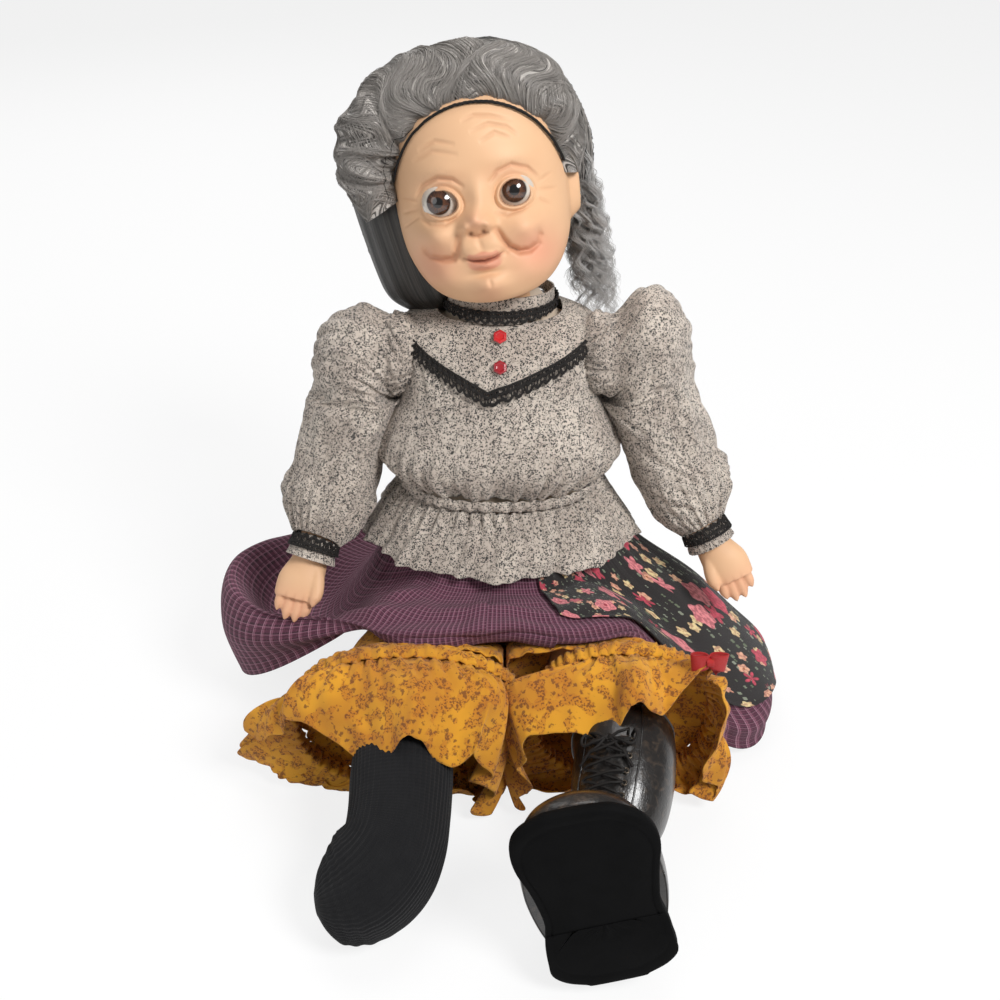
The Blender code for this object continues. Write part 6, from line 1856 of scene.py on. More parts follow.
def make_waist(look, plain):
    def casing(turn, rise):
        pucker = 0.75 * MM * fullness(turn, rise * 0.3, 9.0, 46)
        point = blouse_point(turn, 0.0, 0.9 * MM + pucker + 0.5 * MM * math.sin(math.pi * rise))
        point.z -= CLEARANCE + CASING_HEIGHT * (1.0 - rise)
        return point
    band = grid("waist_casing_cloth", casing, 300, 12, closed=True, size=(0.29, 0.006))
    cloth(band, "torso", ("waist_casing",), plain, 0.5 * MM)

    def frill(turn, drop):
        near = math.exp(-(drop / 0.42) ** 2)
        point = peplum_point(turn, drop)
        out = Vector((math.sin(2.0 * math.pi * -turn), -math.cos(2.0 * math.pi * turn), 0.0))
        fold = 2.3 * near * fullness(turn, drop, 9.0, 44) + 1.7 * drop * fullness(turn, drop, 12.0, 19)
        return point + out * fold * MM
    skirted = grid("peplum_cloth", frill, 320, 44, closed=True, size=(0.42, 0.027))
    cloth(skirted, "torso", ("peplum",), look, 0.5 * MM)


# The arms and sleeves

def ring_surface(rings):
    """A smooth function of turn and way through rings of equal count."""
    count = len(rings[0])
    tracks = []
    for column in range(count):
        tracks.append([tuple(ring[column]) for ring in rings])

    def spot(turn, way):
        place = (turn % 1.0) * count
        first = int(place) % count
        t = place - int(place)
        points = [Vector(along(tracks[(first + step) % count], way)) for step in (-1, 0, 1, 2)]
        a, b, c, d = points
        bend = (a * 2.0 - b * 5.0 + c * 4.0 - d) * t + (b * 3.0 - a - c * 3.0 + d) * t * t
        return b + (c - a + bend) * 0.5 * t
    return spot


SLEEVE_HEAD = ((39.5 * MM, 0.96), (34.0 * MM, 0.80))


def make_sleeve_pieces(end, side, look, lace_look):
    body = "arm_" + end
    rings = sleeve_rings(end, side, 0.0, 24)
    for reach, share in SLEEVE_HEAD:
        middle = Vector((side * reach, SHOULDER_BACK, SHOULDER_HEIGHT))
        grown = [middle + Vector((0.0, point.y - SHOULDER_BACK, point.z - SHOULDER_HEIGHT)) * share
                 for point in rings[0]]
        rings.insert(0, grown)
    base = ring_surface(rings)
    seed = 20.0 + side

    def height(turn, way):
        top = math.exp(-(way / 0.16) ** 2)
        low = math.exp(-((1.0 - way) / 0.18) ** 2)
        gathers = 0.85 * top * fullness(turn, way, seed, 24) + 0.9 * low * fullness(turn, way, seed, 22)
        soft = 1.4 * round_ripple(turn, way, seed + 2.0, 1.7, 4.2)
        soft += 0.8 * abs(round_ripple(turn + way * 0.35, way, seed + 4.0, 3.4, 3.0))
        edge = smooth_step(way * 12.0) * smooth_step((1.0 - way) * 14.0)
        hang = 6.4 * math.exp(-((way - 0.60) / 0.24) ** 2) \
            * smooth_step(-math.cos(2.0 * math.pi * turn) * 1.4)
        crush = 3.2 * abs(round_ripple(turn - way * 0.9, way, seed + 8.0, 3.0, 8.0)) * edge
        return (gathers * 1.3 + soft * edge * 1.2 + hang + crush - 0.5) * MM
    flip = -1.0 if side > 0 else 1.0

    def spot(turn, way):
        point = base(turn, way)
        return point + (point - base(turn + 0.5, way)).normalized() * height(turn, way)
    sleeve = grid("sleeve_cloth_" + end, spot, 190, 150, closed=True, size=(0.13, 0.10))
    cloth(sleeve, body, ("sleeve_" + end,), look, 0.5 * MM,
          -flip)
    start = SLEEVE_END_SHARE + CUFF_START_SHARE
    flare = CUFF_RADIUS * CUFF_FLARE_SHARE / (CUFF_END_SHARE - start)

    def cuff(turn, way, spare=0.0):
        centre, across, depth = arm_place(end, side, start + (CUFF_END_SHARE - start) * way)
        angle = 2.0 * math.pi * turn
        half = CUFF_RADIUS + spare + flare * (CUFF_END_SHARE - start) * way
        half += 0.35 * MM * fullness(turn, way, seed + 6.0, 22) * (0.35 + 0.5 * way)
        return centre + across * half * math.cos(angle) + depth * half * math.sin(angle)
    band = grid("cuff_cloth_" + end, cuff, 150, 22, closed=True, size=(0.062, 0.014))
    cloth(band, body, ("cuff_" + end,), look, 0.5 * MM, -flip)

    def trim(turn, way):
        return cuff(turn, CUFF_LACE_SHARE * (way * 1.25 - 0.1), 0.9 * MM)
    strip = lace_strip("cuff_lace_trim_" + end, trim, 260, 20, 17, closed=True)
    cloth(strip, body, ("cuff_lace_" + end,), lace_look,
          0.35 * MM, flip)


# The hand in its own frame: across the palm, along the fingers and through the palm, as
# the finger's root, its tip and its radius at the root, all in mm
FINGER_LINES = (
    ((-5.6, -9.0, 0.0), (-6.6, 1.0, 1.6), 2.5), ((-2.0, -8.0, -0.3), (-2.3, 4.2, 1.8), 2.7),
    ((1.7, -8.0, -0.3), (1.9, 4.4, 1.8), 2.7), ((5.2, -9.0, 0.0), (5.6, 2.0, 1.6), 2.6),
)
THUMB_LINE = ((6.0, -19.0, 1.0), (9.4, -10.0, 3.4), (8.2, -4.5, 5.2), 3.1)


def make_arm_pieces(end, side, look):
    """The vinyl arm and its mitten hand with short modelled fingers."""
    rings = shoulder_rings(end, side, SLEEVE_ROOM, ARM_RADIUS, PLAIN_SHARES, 5, 20)
    reach = SHOULDER_HALF_WIDTH + JOINT_GAP
    rings.insert(0, [Vector((side * reach, point.y, point.z)) for point in rings[0]])
    last = len(ARM_SHARES) - 1
    for index in range(1, last):
        centre, across, depth = arm_place(end, side, index / last)
        width, thick = ARM_SHARES[index][3:]
        rings.append(oval(centre, across, depth, width * ARM_RADIUS, thick * ARM_RADIUS, 20))
    surface = ring_surface(rings)
    arm = loft_grid("arm_skin_" + end, [[surface(column / 48, row / 80) for column in range(48)]
                                        for row in range(81)], caps=(True, True))
    mesh_data = bmesh.new()
    mesh_data.from_mesh(arm.data)
    centre, across, depth = arm_place(end, side, 1.0)
    before = arm_place(end, side, 0.80)[0]
    ahead = (centre - before).normalized()
    across = (across - ahead * across.dot(ahead)).normalized()
    palm = ahead.cross(across) * (1.0 if side > 0 else -1.0)
    if palm.y > 0:
        palm = -palm
    inner = across * -1.0

    def hand(x, y, z):
        return centre + (inner * x + ahead * y + palm * z) * MM
    for root, tip, radius in FINGER_LINES:
        rounded_finger(mesh_data, [hand(*[a + (b - a) * t for a, b in zip(root, tip)])
                                   for t in (0.0, 0.2, 0.4, 0.6, 0.8, 1.0)], radius * MM)
    low, mid, high, radius = THUMB_LINE
    line = [hand(*[a * (1 - t) ** 2 + 2 * b * t * (1 - t) + c * t * t
                   for a, b, c in zip(low, mid, high)]) for t in (0.0, 0.2, 0.4, 0.6, 0.8, 1.0)]
    rounded_finger(mesh_data, line, radius * MM)
    mesh_data.to_mesh(arm.data)
    mesh_data.free()
    remesh = arm.modifiers.new("join", "REMESH")
    remesh.mode = "VOXEL"
    remesh.voxel_size = 0.6 * MM
    remesh.use_smooth_shade = True
    soften = arm.modifiers.new("soften", "SMOOTH")
    soften.factor = 0.5
    soften.iterations = 3
    apply_modifiers(arm)
    colours = []
    for vert in arm.data.vertices:
        offset = vert.co - centre
        x, y, z = offset.dot(inner) / MM, offset.dot(ahead) / MM, offset.dot(palm) / MM
        colour = Vector(VINYL)
        # Painted shade in the creases between the fingers; the blush toward the fingertips is the doll's
        # paint.
        crease = 0.0
        for place in (-3.9, -0.1, 3.6):
            crease = max(crease, math.exp(-((x - place) / 0.55) ** 2) * smooth_step((y + 9.0) / 4.0))
        colour = colour.lerp(Vector(CREASE_PAINTED_SHADE), 0.40 * crease)
        colour = colour.lerp(Vector(BLUSH), 0.30 * smooth_step((y + 14.0) / 12.0))
        colours.append(colour)
    paint_points(arm, colours)
    dress(arm, "arm_" + end, ("arm_" + end,), look)


def rounded_finger(mesh_data, points, radius):
    """A closed finger: full at its root and rounded at its tip."""
    shares = (0.95, 1.0, 1.0, 0.97, 0.86, 0.40)
    ahead = (points[-1] - points[0]).normalized()
    points = points + [points[-1] + ahead * radius * 0.45]
    sizes = [radius * share for share in shares] + [radius * 0.06]
    across = ahead.orthogonal().normalized()
    up = ahead.cross(across)
    loops = []
    for point, size in zip(points, sizes):
        loops.append([mesh_data.verts.new(point + (across * math.cos(angle) + up * math.sin(angle))
                                          * size)
                      for angle in [2.0 * math.pi * index / 12 for index in range(12)]])
    for low, high in zip(loops, loops[1:]):
        for index in range(12):
            after = (index + 1) % 12
            mesh_data.faces.new((low[index], low[after], high[after], high[index]))
    mesh_data.faces.new(loops[0][::-1])
    mesh_data.faces.new(loops[-1])


def apply_modifiers(obj):
    """Turn a piece and its modifiers into one plain mesh."""
    graph = bpy.context.evaluated_depsgraph_get()
    graph.update()
    mesh = bpy.data.meshes.new_from_object(obj.evaluated_get(graph))
    old = obj.data
    obj.modifiers.clear()
    obj.data = mesh
    bpy.data.meshes.remove(old)
    for face in obj.data.polygons:
        face.use_smooth = True


# The skirt and the apron

def skirt_folds(turn, drop):
    """The skirt's gathers at the waist and its soft folds below, in metres."""
    top = math.exp(-(drop / 0.22) ** 2)
    gathers = 1.3 * top * fullness(turn, drop, 30.0, 36)
    soft = 1.8 * round_ripple(turn, drop, 31.0, 2.6, 2.2) + 0.9 * round_ripple(turn, drop, 33.0, 6.0, 3.0)
    low = smooth_step((drop - 0.15) * 3.0)
    lap = smooth_step(math.cos(2.0 * math.pi * (turn - SKIRT_MIDDLE_TURN)) * 3.0 - 0.4)
    roll = 3.0 * math.exp(-((drop - 0.86) / 0.07) ** 2) - 1.4 * math.exp(-((drop - 0.72) / 0.05) ** 2)
    roll += 1.0 * math.sin(drop * 40.0 + 6.0 * round_ripple(turn, drop, 34.0, 2.0, 2.0)) * low
    return (gathers + soft * low * 1.3 + roll * lap) * MM


def skirt_spot(turn, drop):
    """The skirt's face with its folds; it never goes under the floor."""
    point = skirt_point(turn, drop)
    step = 0.012
    side = skirt_point(turn + step, drop) - skirt_point(turn - step, drop)
    fall = skirt_point(turn, min(drop + step, 1.0)) - skirt_point(turn, max(drop - step, 0.0))
    out = fall.cross(side).normalized()
    point = point + out * skirt_folds(turn, drop) * (APRON_CALM if on_apron(turn) else 1.0)
    point.z = max(point.z, 1.3 * MM)
    return point


def on_apron(turn):
    start, end = APRON_START / SKIRT_COLUMNS, APRON_END / SKIRT_COLUMNS
    return start - 0.01 < turn % 1.0 < end + 0.01


SKIRT_MIDDLE_TURN = 0.985
# How much of the skirt's folds is left under the apron
APRON_CALM = 0.55


def panel(name, look, nodes, turns, columns, rows, spot, thickness, uv_height,
          keep=None):
    """A panel of cloth over turns of the skirt."""
    first, last = turns
    obj = grid(name, lambda u, v: spot(first + (last - first) * u, v), columns, rows,
               size=((last - first) * SKIRT_ROUND, uv_height), keep=keep)
    for loop in obj.data.uv_layers[0].data:
        loop.uv[0] += first * SKIRT_ROUND
    thicken(obj, thickness, 1.0)
    obj.data.materials.append(look)
    if nodes:
        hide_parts(*nodes)
    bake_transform(obj)
    return obj


SKIRT_ROUND = 0.44
SKIRT_LONG = 0.150


def make_skirt_pieces(plaid, floral):
    def over(turn, drop):
        point = skirt_spot(turn, drop)
        near = min(abs((turn % 1.0) - SKIRT_MIDDLE_TURN), abs(turn - SKIRT_MIDDLE_TURN))
        lift = 1.2 * MM * smooth_step(1.0 - near / 0.03) * smooth_step(drop * 5.0)
        return point + Z_AXIS * lift
    # Two halves that overlap in a pleat in front
    panel("skirt_cloth", plaid, ("skirt",), (SKIRT_MIDDLE_TURN - 1.0 - 0.02, 0.5), 260, 150, skirt_spot,
          0.6 * MM, SKIRT_LONG)
    panel("skirt_cloth_right", plaid, (), (0.5, SKIRT_MIDDLE_TURN), 250, 150, over,
          0.6 * MM, SKIRT_LONG)

    def apron_spot(u, v):
        turn = (APRON_START + (APRON_END - APRON_START) * u) / SKIRT_COLUMNS
        low, high = APRON_HEM_SHARES
        stop = low + (high - low) * u
        drop = (APRON_TOP - 1.6 + (APRON_LOW - APRON_TOP + 1.6) * v * stop * 1.10) / SKIRT_ROWS
        point = skirt_spot(turn, drop)
        step = 0.012
        side = skirt_spot(turn + step, drop) - skirt_spot(turn - step, drop)
        fall = skirt_spot(turn, drop + step) - skirt_spot(turn, drop - step)
        out = fall.cross(side).normalized()
        edge = min(u, 1.0 - u, 1.0 - v)
        roll = 0.5 * MM * smooth_step(1.0 - edge * 40.0)
        gather = 0.5 * math.exp(-(v / 0.25) ** 2) * fullness(u * 0.22, v, 36.0, 90)
        wave = 0.9 * noise.noise(Vector((u * 4.0, v * 3.0, 8.0)))
        return point + out * (1.9 * MM + (gather + 0.5 * abs(wave)) * MM + roll)
    obj = grid("apron_cloth", apron_spot, 190, 130, size=(0.115, 0.085))
    thicken(obj, 0.5 * MM, 1.0)
    obj.data.materials.append(floral)
    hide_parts("apron")
    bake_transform(obj)

    def band(turn, rise):
        point = skirt_point(turn, 0.0)
        return point + Z_AXIS * (CLEARANCE + 3.4 * MM * rise)
    strip = grid("waistband_cloth", band, 160, 4, closed=True, size=(0.21, 0.003))
    cloth(strip, "torso", ("skirt_waistband",), plaid, 0.6 * MM)


# The bloomers

def make_bloomers(look, band_look):
    rows = [row for row in BODY_SHARES if row[0] * TORSO_HEIGHT < BLOOMER_RISE]
    rings = [body_ring(row, SEAT_GAP + CLOTH) for row in rows]
    for point in rings[0]:
        point.z = 0.6 * MM
    surface = ring_surface(rings)
    seat = loft_grid("bloomers_seat_cloth",
                     [[surface(column / 120, row / 50) for column in range(120)]
                      for row in range(51)], caps=(True, False))
    cloth(seat, "torso", ("bloomers_seat",), look, 0.5 * MM)
    for end, side in SIDES:
        make_bloomer_pieces(end, side, look, band_look)


def frill_spot(end, side, turn, way):
    """A spot of a leg's frill: gathered at the band, full below and drawn in at its hem."""
    drop = max(way - FRILL_TUCK, 0.0) / (1.0 - FRILL_TUCK)
    seed = 50.0 + side
    point = ruffle_point(end, side, turn, drop)
    if way < FRILL_TUCK:
        point.y += (BAND_WIDTH + CLEARANCE) * (1.0 - way / FRILL_TUCK)
    angle = 2.0 * math.pi * turn
    inner = smooth_step(-math.sin(angle) * 1.6 - 0.2) * smooth_step(drop * 3.0)
    point.x += (FRILL_LIMITS[end] - point.x) * inner
    out = Vector((side * math.sin(angle), 0.0, math.cos(angle)))
    near = math.exp(-(drop / 0.35) ** 2)
    fold = 1.3 * near * fullness(turn, drop, seed + 5.0, 54)
    fold += (1.2 * drop + 0.6) * fullness(turn, drop, seed + 7.0, 21) * smooth_step(drop * 3.0) \
        * (1.0 - 0.85 * inner)
    wander = 0.30 * round_ripple(turn, drop * 0.4, seed + 9.0, 1.6, 1.0)
    big = math.cos(2.0 * math.pi * (FRILL_FOLDS * turn + wander * 3.0)) * (1.0 - 0.65 * inner)
    fold += 4.2 * big * drop ** 0.8 + 3.0 * math.sin(math.pi * drop ** 0.8) - 3.4 * drop ** 3
    axis = loop_point(end, side, turn, (0.0, 0.0, 0.0), LOOPS[end][1])
    back = (axis - point) * (0.14 + 0.07 * big) * drop * drop * (1.0 - 0.8 * inner)
    back.y *= 0.55
    point = point + out * fold * MM + back
    lean, wave = INNER_FOLDS[end]
    point.x += inner * drop * (lean + wave * math.sin(2.0 * math.pi * 13.0 * turn + 2.0 * wander))
    point.z = max(point.z, 1.3 * MM)
    return point


def make_bloomer_pieces(end, side, look, band_look):
    body = "leg_" + end
    start, stop = LEG_START, LOOPS[end][1]
    seed = 50.0 + side

    def leg(turn, way):
        forward = BLOOMER_BACK + (stop - BLOOMER_BACK) * way
        place = (forward - start) / (stop - start)
        widen = along(WIDEN_SHARES, place)
        if place < 0.0:
            share = smooth_step((forward - BLOOMER_BACK) / (start - BLOOMER_BACK))
            widen = [value * share for value in WIDEN_SHARES[0]]
        near = math.exp(-((1.0 - place) / 0.9) ** 2)
        fold = 1.9 * near * fullness(turn, place, seed, 27) + 2.4 * round_ripple(turn, place, seed, 2.0, 1.0)
        point = loop_point(end, side, turn, widen, forward, fold * MM * 0.7)
        inner = smooth_step(-math.sin(2.0 * math.pi * turn) * 1.6 - 0.2)
        inner *= smooth_step((forward - 36.0 * MM) / (10.0 * MM))
        point.x += (FRILL_LIMITS[end] - point.x) * inner
        return point
    tube = grid("bloomer_cloth_" + end, leg, 240, 60, closed=True, size=(0.24, stop - BLOOMER_BACK))
    cloth(tube, body, ("bloomer_leg_" + end,), look, 0.5 * MM, side)

    def band(turn, place):
        ahead = stop - 1.6 * MM + (BAND_WIDTH + 3.2 * MM) * place
        pucker = 1.0 * MM * fullness(turn, place * 0.3, seed + 3.0, 54)
        crown = 0.9 * MM + 1.5 * MM * math.sin(math.pi * place) ** 0.6
        return loop_point(end, side, turn, (1.0, 1.0, 1.0), ahead, pucker + crown)
    strip = grid("bloomer_casing_" + end, band, 320, 14, closed=True, size=(0.26, BAND_WIDTH))
    cloth(strip, body, ("bloomer_band_" + end,), band_look,
          0.6 * MM, side)
    hem = grid("bloomer_frill_" + end, lambda u, v: frill_spot(end, side, u, v), 420, 56,
               closed=True, size=(0.44, 0.042))
    cloth(hem, body, ("bloomer_ruffle_" + end,), look,
          0.5 * MM, side)


BLOOMER_BACK = 12.0 * MM
FRILL_FOLDS = 10
INNER_FOLDS = {"right": (-5.0 * MM, 4.4 * MM), "left": (3.0 * MM, 2.4 * MM)}
BOW_SPOT = (0.095, 0.60)
BOW_FACE = (0.10, -0.84, 0.54)
FRILL_TUCK = 0.10
FRILL_LIMITS = {"right": 1.4 * MM, "left": 2.6 * MM}


def make_bow_pieces(look):
    """A small ribbon bow: two puffed loops, two notched tails and a knot."""
    def face(turn, drop):
        return frill_spot("left", 1.0, turn, drop)
    turn, drop = BOW_SPOT
    spot = face(turn, drop)
    step = 0.02
    way = face(turn + step, drop) - face(turn - step, drop)
    rise = face(turn, drop + step) - face(turn, drop - step)
    normal = way.cross(rise).normalized()
    normal = -normal if normal.y > 0 else normal
    normal = (normal * 0.3 + Vector(BOW_FACE)).normalized()
    middle = spot + normal * (BOW_SEAT + BOW_SHARES[1][2] * BOW_WIDTH)
    right = (way - normal * way.dot(normal)).normalized()
    up = normal.cross(right)
    mesh_data = bmesh.new()
    for side in (-1.0, 1.0):
        lines = []
        for row in range(9):
            v = row / 8 - 0.5
            line = []
            for column in range(33):
                t = column / 32
                angle = 2.0 * math.pi * t
                reach = BOW_WIDTH * 0.26 * (1.0 - math.cos(angle)) * (1.0 + 0.15 * v)
                puff = BOW_WIDTH * 0.15 * math.sin(angle)
                spread = BOW_WIDTH * 0.52 * v * (0.45 + 0.55 * math.sin(math.pi * t) ** 0.5)
                line.append(mesh_data.verts.new(middle + right * side * reach + normal * puff
                                                + up * (spread + BOW_WIDTH * 0.02 * math.sin(t * 9.0))))
            lines.append(line)
        strip_faces(mesh_data, lines)
        lines = []
        for row in range(7):
            v = row / 6 - 0.5
            line = []
            for column in range(17):
                t = column / 16
                length = BOW_WIDTH * 0.50 * t * (1.0 - 0.16 * (1.0 - abs(2.0 * v)) * (t > 0.99))
                line.append(mesh_data.verts.new(
                    middle + right * side * (length * 0.72 + v * BOW_WIDTH * 0.20)
                    - up * (length * 0.75 - v * side * BOW_WIDTH * 0.12)
                    + normal * BOW_WIDTH * (0.03 * math.sin(t * 7.0) - 0.05)))
            lines.append(line)
        strip_faces(mesh_data, lines)
    tube_mesh(mesh_data, [middle + right * x * MM + normal * 0.8 * MM for x in (-1.5, -0.8, 0.8, 1.5)],
              BOW_WIDTH * 0.13, 10)
    bow = piece("ribbon_bow", mesh_data)
    thicken(bow, 0.25 * MM, 0.0)
    dress(bow, "leg_left", ("red_bow",), look)


def strip_faces(mesh_data, lines):
    for low, high in zip(lines, lines[1:]):
        for index in range(len(low) - 1):
            face = mesh_data.faces.new((low[index], low[index + 1], high[index + 1], high[index]))
            face.smooth = True


# The legs, the sock and the boot

def make_legs(vinyl_look, sock_look):
    rings = leg_rings("right", -1.0, CLEARANCE + SOCK, SOCK_TOP_SHARE, 9)
    surface = ring_surface(rings)

    def knit(turn, way):
        point = surface(turn, way)
        middle = surface(turn + 0.5, way)
        out = (point - middle).normalized()
        rib = 0.20 * math.cos(2.0 * math.pi * SOCK_RIBS * turn)
        rib *= smooth_step((0.97 - way) * 9.0)
        slack = 0.9 * round_ripple(turn, way, 60.0, 1.8, 5.0) * smooth_step((0.95 - way) * 8.0)
        ankle = 0.8 * math.exp(-((way - 0.72) / 0.10) ** 2) * math.sin(way * 95.0)
        point = slimmed(point, middle)
        toe = (3.4 + 2.2 * out.x) * math.exp(-((way - TOE_PLACE) / 0.07) ** 2) * abs(out.x)
        return point + out * (rib + slack + ankle * 0.35 + toe) * MM
    sock = grid("sock_knit", knit, SOCK_RIBS * 6, 150, closed=True, size=(0.15, 0.115))
    close_ring(sock, slice(-SOCK_RIBS * 6, None))
    cloth(sock, "leg_right", ("sock",), sock_look,
          0.4 * MM, -1.0)
    for end, side in SIDES:
        rows = []
        out, _, _, half_width = LEG_SHARES[end][0][:4]
        for back, share in ROOT_SHARES:
            centre = Vector((side * out * LEG_REACH, back * THIGH_RADIUS, HIP_HEIGHT))
            half_up = THIGH_RADIUS * math.sqrt(1.0 - back * back)
            up = (-Y_AXIS).cross(X_AXIS * side)
            rows.append(oval(centre, X_AXIS * side, up, half_width * THIGH_RADIUS * share,
                             half_up, LEG_COLUMNS, 2.3))
        rows += leg_rings(end, side, 0.0, 0.0, 13)
        surface = ring_surface(rows)
        reach = 62 if end == "right" else 60
        spots = [[surface(column / 48, row / reach) for column in range(48)] for row in range(61)]
        if end == "right":
            spots = [[slimmed(point, ring[(index + 24) % 48]) for index, point in enumerate(ring)]
                     for ring in spots]
        leg = loft_grid("leg_skin_" + end, spots, caps=(True, True))
        paint_points(leg, [VINYL] * len(leg.data.vertices))
        dress(leg, "leg_" + end, ("leg_" + end,), vinyl_look)


SOCK_RIBS = 58
TOE_PLACE = 0.83
# The right leg's slimmer part: where it starts and how much of its half width it loses
SLIM_START = -58.0 * MM
SLIM_REACH = 30.0 * MM
SLIM_SHARE = 0.085


def slimmed(point, opposite):
    """A leg's spot moved in sideways where the sock draws the leg in."""
    share = smooth_step((SLIM_START - point.y) / SLIM_REACH) * SLIM_SHARE
    return Vector((point.x + (opposite.x - point.x) * share, point.y, point.z))


def close_ring(obj, part):
    """Close a tube's end with a shallow fan over one slice of its points."""
    mesh_data = bmesh.new()
    mesh_data.from_mesh(obj.data)
    fan(mesh_data, list(mesh_data.verts)[part])
    bmesh.ops.recalc_face_normals(mesh_data, faces=mesh_data.faces)
    mesh_data.to_mesh(obj.data)
    mesh_data.free()


def make_boot_pieces(leather, rubber, cord, metal):
    out = boot_frame()[2]
    rings = boot_rings(0.0, 0.0)
    surface = ring_surface(rings)
    last = len(rings) - 1

    def upper(turn, way):
        point = surface(turn, way)
        middle = surface(turn + 0.5, way)
        side = (point - middle).normalized()
        ring = way * last
        crease = 0.55 * math.exp(-((ring - 4.2) / 1.3) ** 2)
        crease *= math.sin(ring * 7.0 + 3.0 * round_ripple(turn, way, 70.0, 1.6, 2.0))
        soft = 0.55 * round_ripple(turn, way, 71.0, 2.4, 5.0)
        welt = -0.5 * math.exp(-((way - 0.0) / 0.015) ** 2)
        return point + side * (crease + soft + welt) * MM
    boot = grid("boot_leather", upper, 180, 170, closed=True, size=(0.13, 0.11))
    close_ring(boot, slice(180))
    thicken(boot, BOOT_LEATHER, -1.0)
    dress(boot, "leg_left", ("boot_upper",), leather)
    stitches = []
    for turn_at, start, stop in SEAMS:
        line = [upper(turn_at(t), start + (stop - start) * t) for t in [i / 60 for i in range(61)]]
        stitches.append(line)
    top = [upper(index / 90, 0.985) for index in range(91)]
    stitches.append(top)
    stitches.append([upper(index / 90, 0.012) for index in range(91)])
    dress(tubes("boot_seams", stitches, 0.45 * MM, sides=6), "leg_left", (), leather)
    tongue = grid("boot_tongue_leather", lambda u, v: lifted(tongue_point, u, v, TONGUE_GAP * 0.6),
                  30, 60, size=(0.02, 0.04))
    thicken(tongue, TONGUE_WALL, 1.0)
    dress(tongue, "leg_left", ("boot_tongue",), leather)
    face = SOLE_MIDDLE + out * SOLE_THICKNESS
    sole = sole_slab("boot_sole_slab", SOLE_MIDDLE, face, 0.0, 1.0)
    dress(sole, "leg_left", ("boot_sole",), rubber)
    low = face + out * CLEARANCE * 0.2
    heel = sole_slab("boot_heel_block", low, low + out * HEEL_THICKNESS, 0.0, 1.0, HEEL_SHARE)
    dress(heel, "leg_left", ("boot_heel",), rubber)
    lines, rims = [], []
    lift = TONGUE_GAP + TONGUE_WALL + 0.3 * MM
    for index in range(LACE_CROSSINGS):
        v0 = 0.06 + 0.86 * index / LACE_CROSSINGS
        v1 = 0.06 + 0.86 * (index + 1) / LACE_CROSSINGS
        for a, b in ((0.10, 0.90), (0.90, 0.10)):
            line = []
            for step in range(13):
                t = step / 12
                arch = 0.9 * MM * math.sin(math.pi * t) + (0.5 * MM if a > b else 0.0)
                line.append(lifted(tongue_point, a + (b - a) * t, v0 + (v1 - v0) * t, lift + arch))
            lines.append(line)
        for u in (0.06, 0.94):
            rims.append(eyelet_ring(u, v0, lift - 0.4 * MM))
    lines.append([lifted(tongue_point, 0.10 + 0.80 * t / 12, 0.06, lift + 0.6 * MM)
                  for t in range(13)])
    for side in (-1.0, 1.0):
        loop = []
        for step in range(25):
            t = step / 24
            u = 0.5 + side * 0.52 * math.sin(math.pi * t)
            v = 0.02 + 0.10 * math.sin(2.0 * math.pi * t) * 0.9 + 0.06 * t
            loop.append(lifted(tongue_point, u, v, lift + (1.3 + 1.2 * math.sin(math.pi * t)) * MM))
        lines.append(loop)
        tail = []
        for step in range(17):
            t = step / 16
            tail.append(lifted(tongue_point, 0.5 + side * 0.55 * t, 0.02 + 0.34 * t,
                               lift + 1.4 * MM * (1.0 - 0.6 * t)))
        lines.append(tail)
    dress(tubes("boot_lace_cords", lines, LACE_CORD_RADIUS * 0.8, sides=7), "leg_left",
          ("boot_laces",), cord)
    dress(tubes("boot_eyelets", rims, 0.35 * MM, sides=6), "leg_left", (), metal)


def eyelet_ring(u, v, lift):
    middle = lifted(tongue_point, u, v, lift)
    side = (lifted(tongue_point, u + 0.03, v, lift) - middle).normalized()
    rise = (lifted(tongue_point, u, min(v + 0.03, 1.0), lift) - middle)
    rise = (rise - side * rise.dot(side)).normalized()
    return [middle + (side * math.cos(angle) + rise * math.sin(angle)) * 0.95 * MM
            for angle in [2.0 * math.pi * index / 14 for index in range(15)]]


BOOT_LEATHER = 1.1 * MM
SEAMS = (
    (lambda t: 0.25 + 0.115 * (1.0 - 0.25 * t), 0.30, 0.985),
    (lambda t: 0.25 - 0.115 * (1.0 - 0.25 * t), 0.30, 0.985),
    (lambda t: 0.75, 0.02, 0.985),
    (lambda t: 0.135 + 0.23 * t, 0.300, 0.300),
)


def sole_slab(name, place, far, low, high, stop=0.0):
    """A sole with rounded edges and a groove; a heel is cut off at stop and thins out to it."""
    ahead = boot_frame()[0]
    near = min((point - SOLE_MIDDLE).dot(ahead) for point in sole_ring(place, low, high))
    breast = near + BOOT_LENGTH * stop
    outline = sole_ring(place, low, high)
    middle = sum(outline, Vector()) / len(outline)
    rows = ((0.0, 0.985), (0.12, 1.0), (0.5, 1.004), (0.85, 1.0), (1.0, 0.975), (1.0, 0.90),
            (0.93, 0.885), (0.93, 0.86), (1.0, 0.845), (0.985, 0.5), (0.98, 0.15))
    rings = []
    count = len(outline) * 4
    track = ring_surface([outline, outline])
    for height, reach in rows:
        ring = []
        for index in range(count):
            point = middle + (track(index / count, 0.0) - middle) * reach
            place_along = (point - SOLE_MIDDLE).dot(ahead)
            share = 1.0
            if stop:
                over = max(place_along - breast, 0.0)
                inward = middle - point
                inward -= ahead * inward.dot(ahead)
                point += inward * min(over / (22.0 * MM), 0.9) - ahead * over
                share = 0.06 + 0.94 * smooth_step((breast - place_along) / (9.0 * MM))
            ring.append(point + (far - place) * height * share)
        rings.append(ring)
    return loft_grid(name, rings, caps=(True, True))


# The cloth body under the clothes

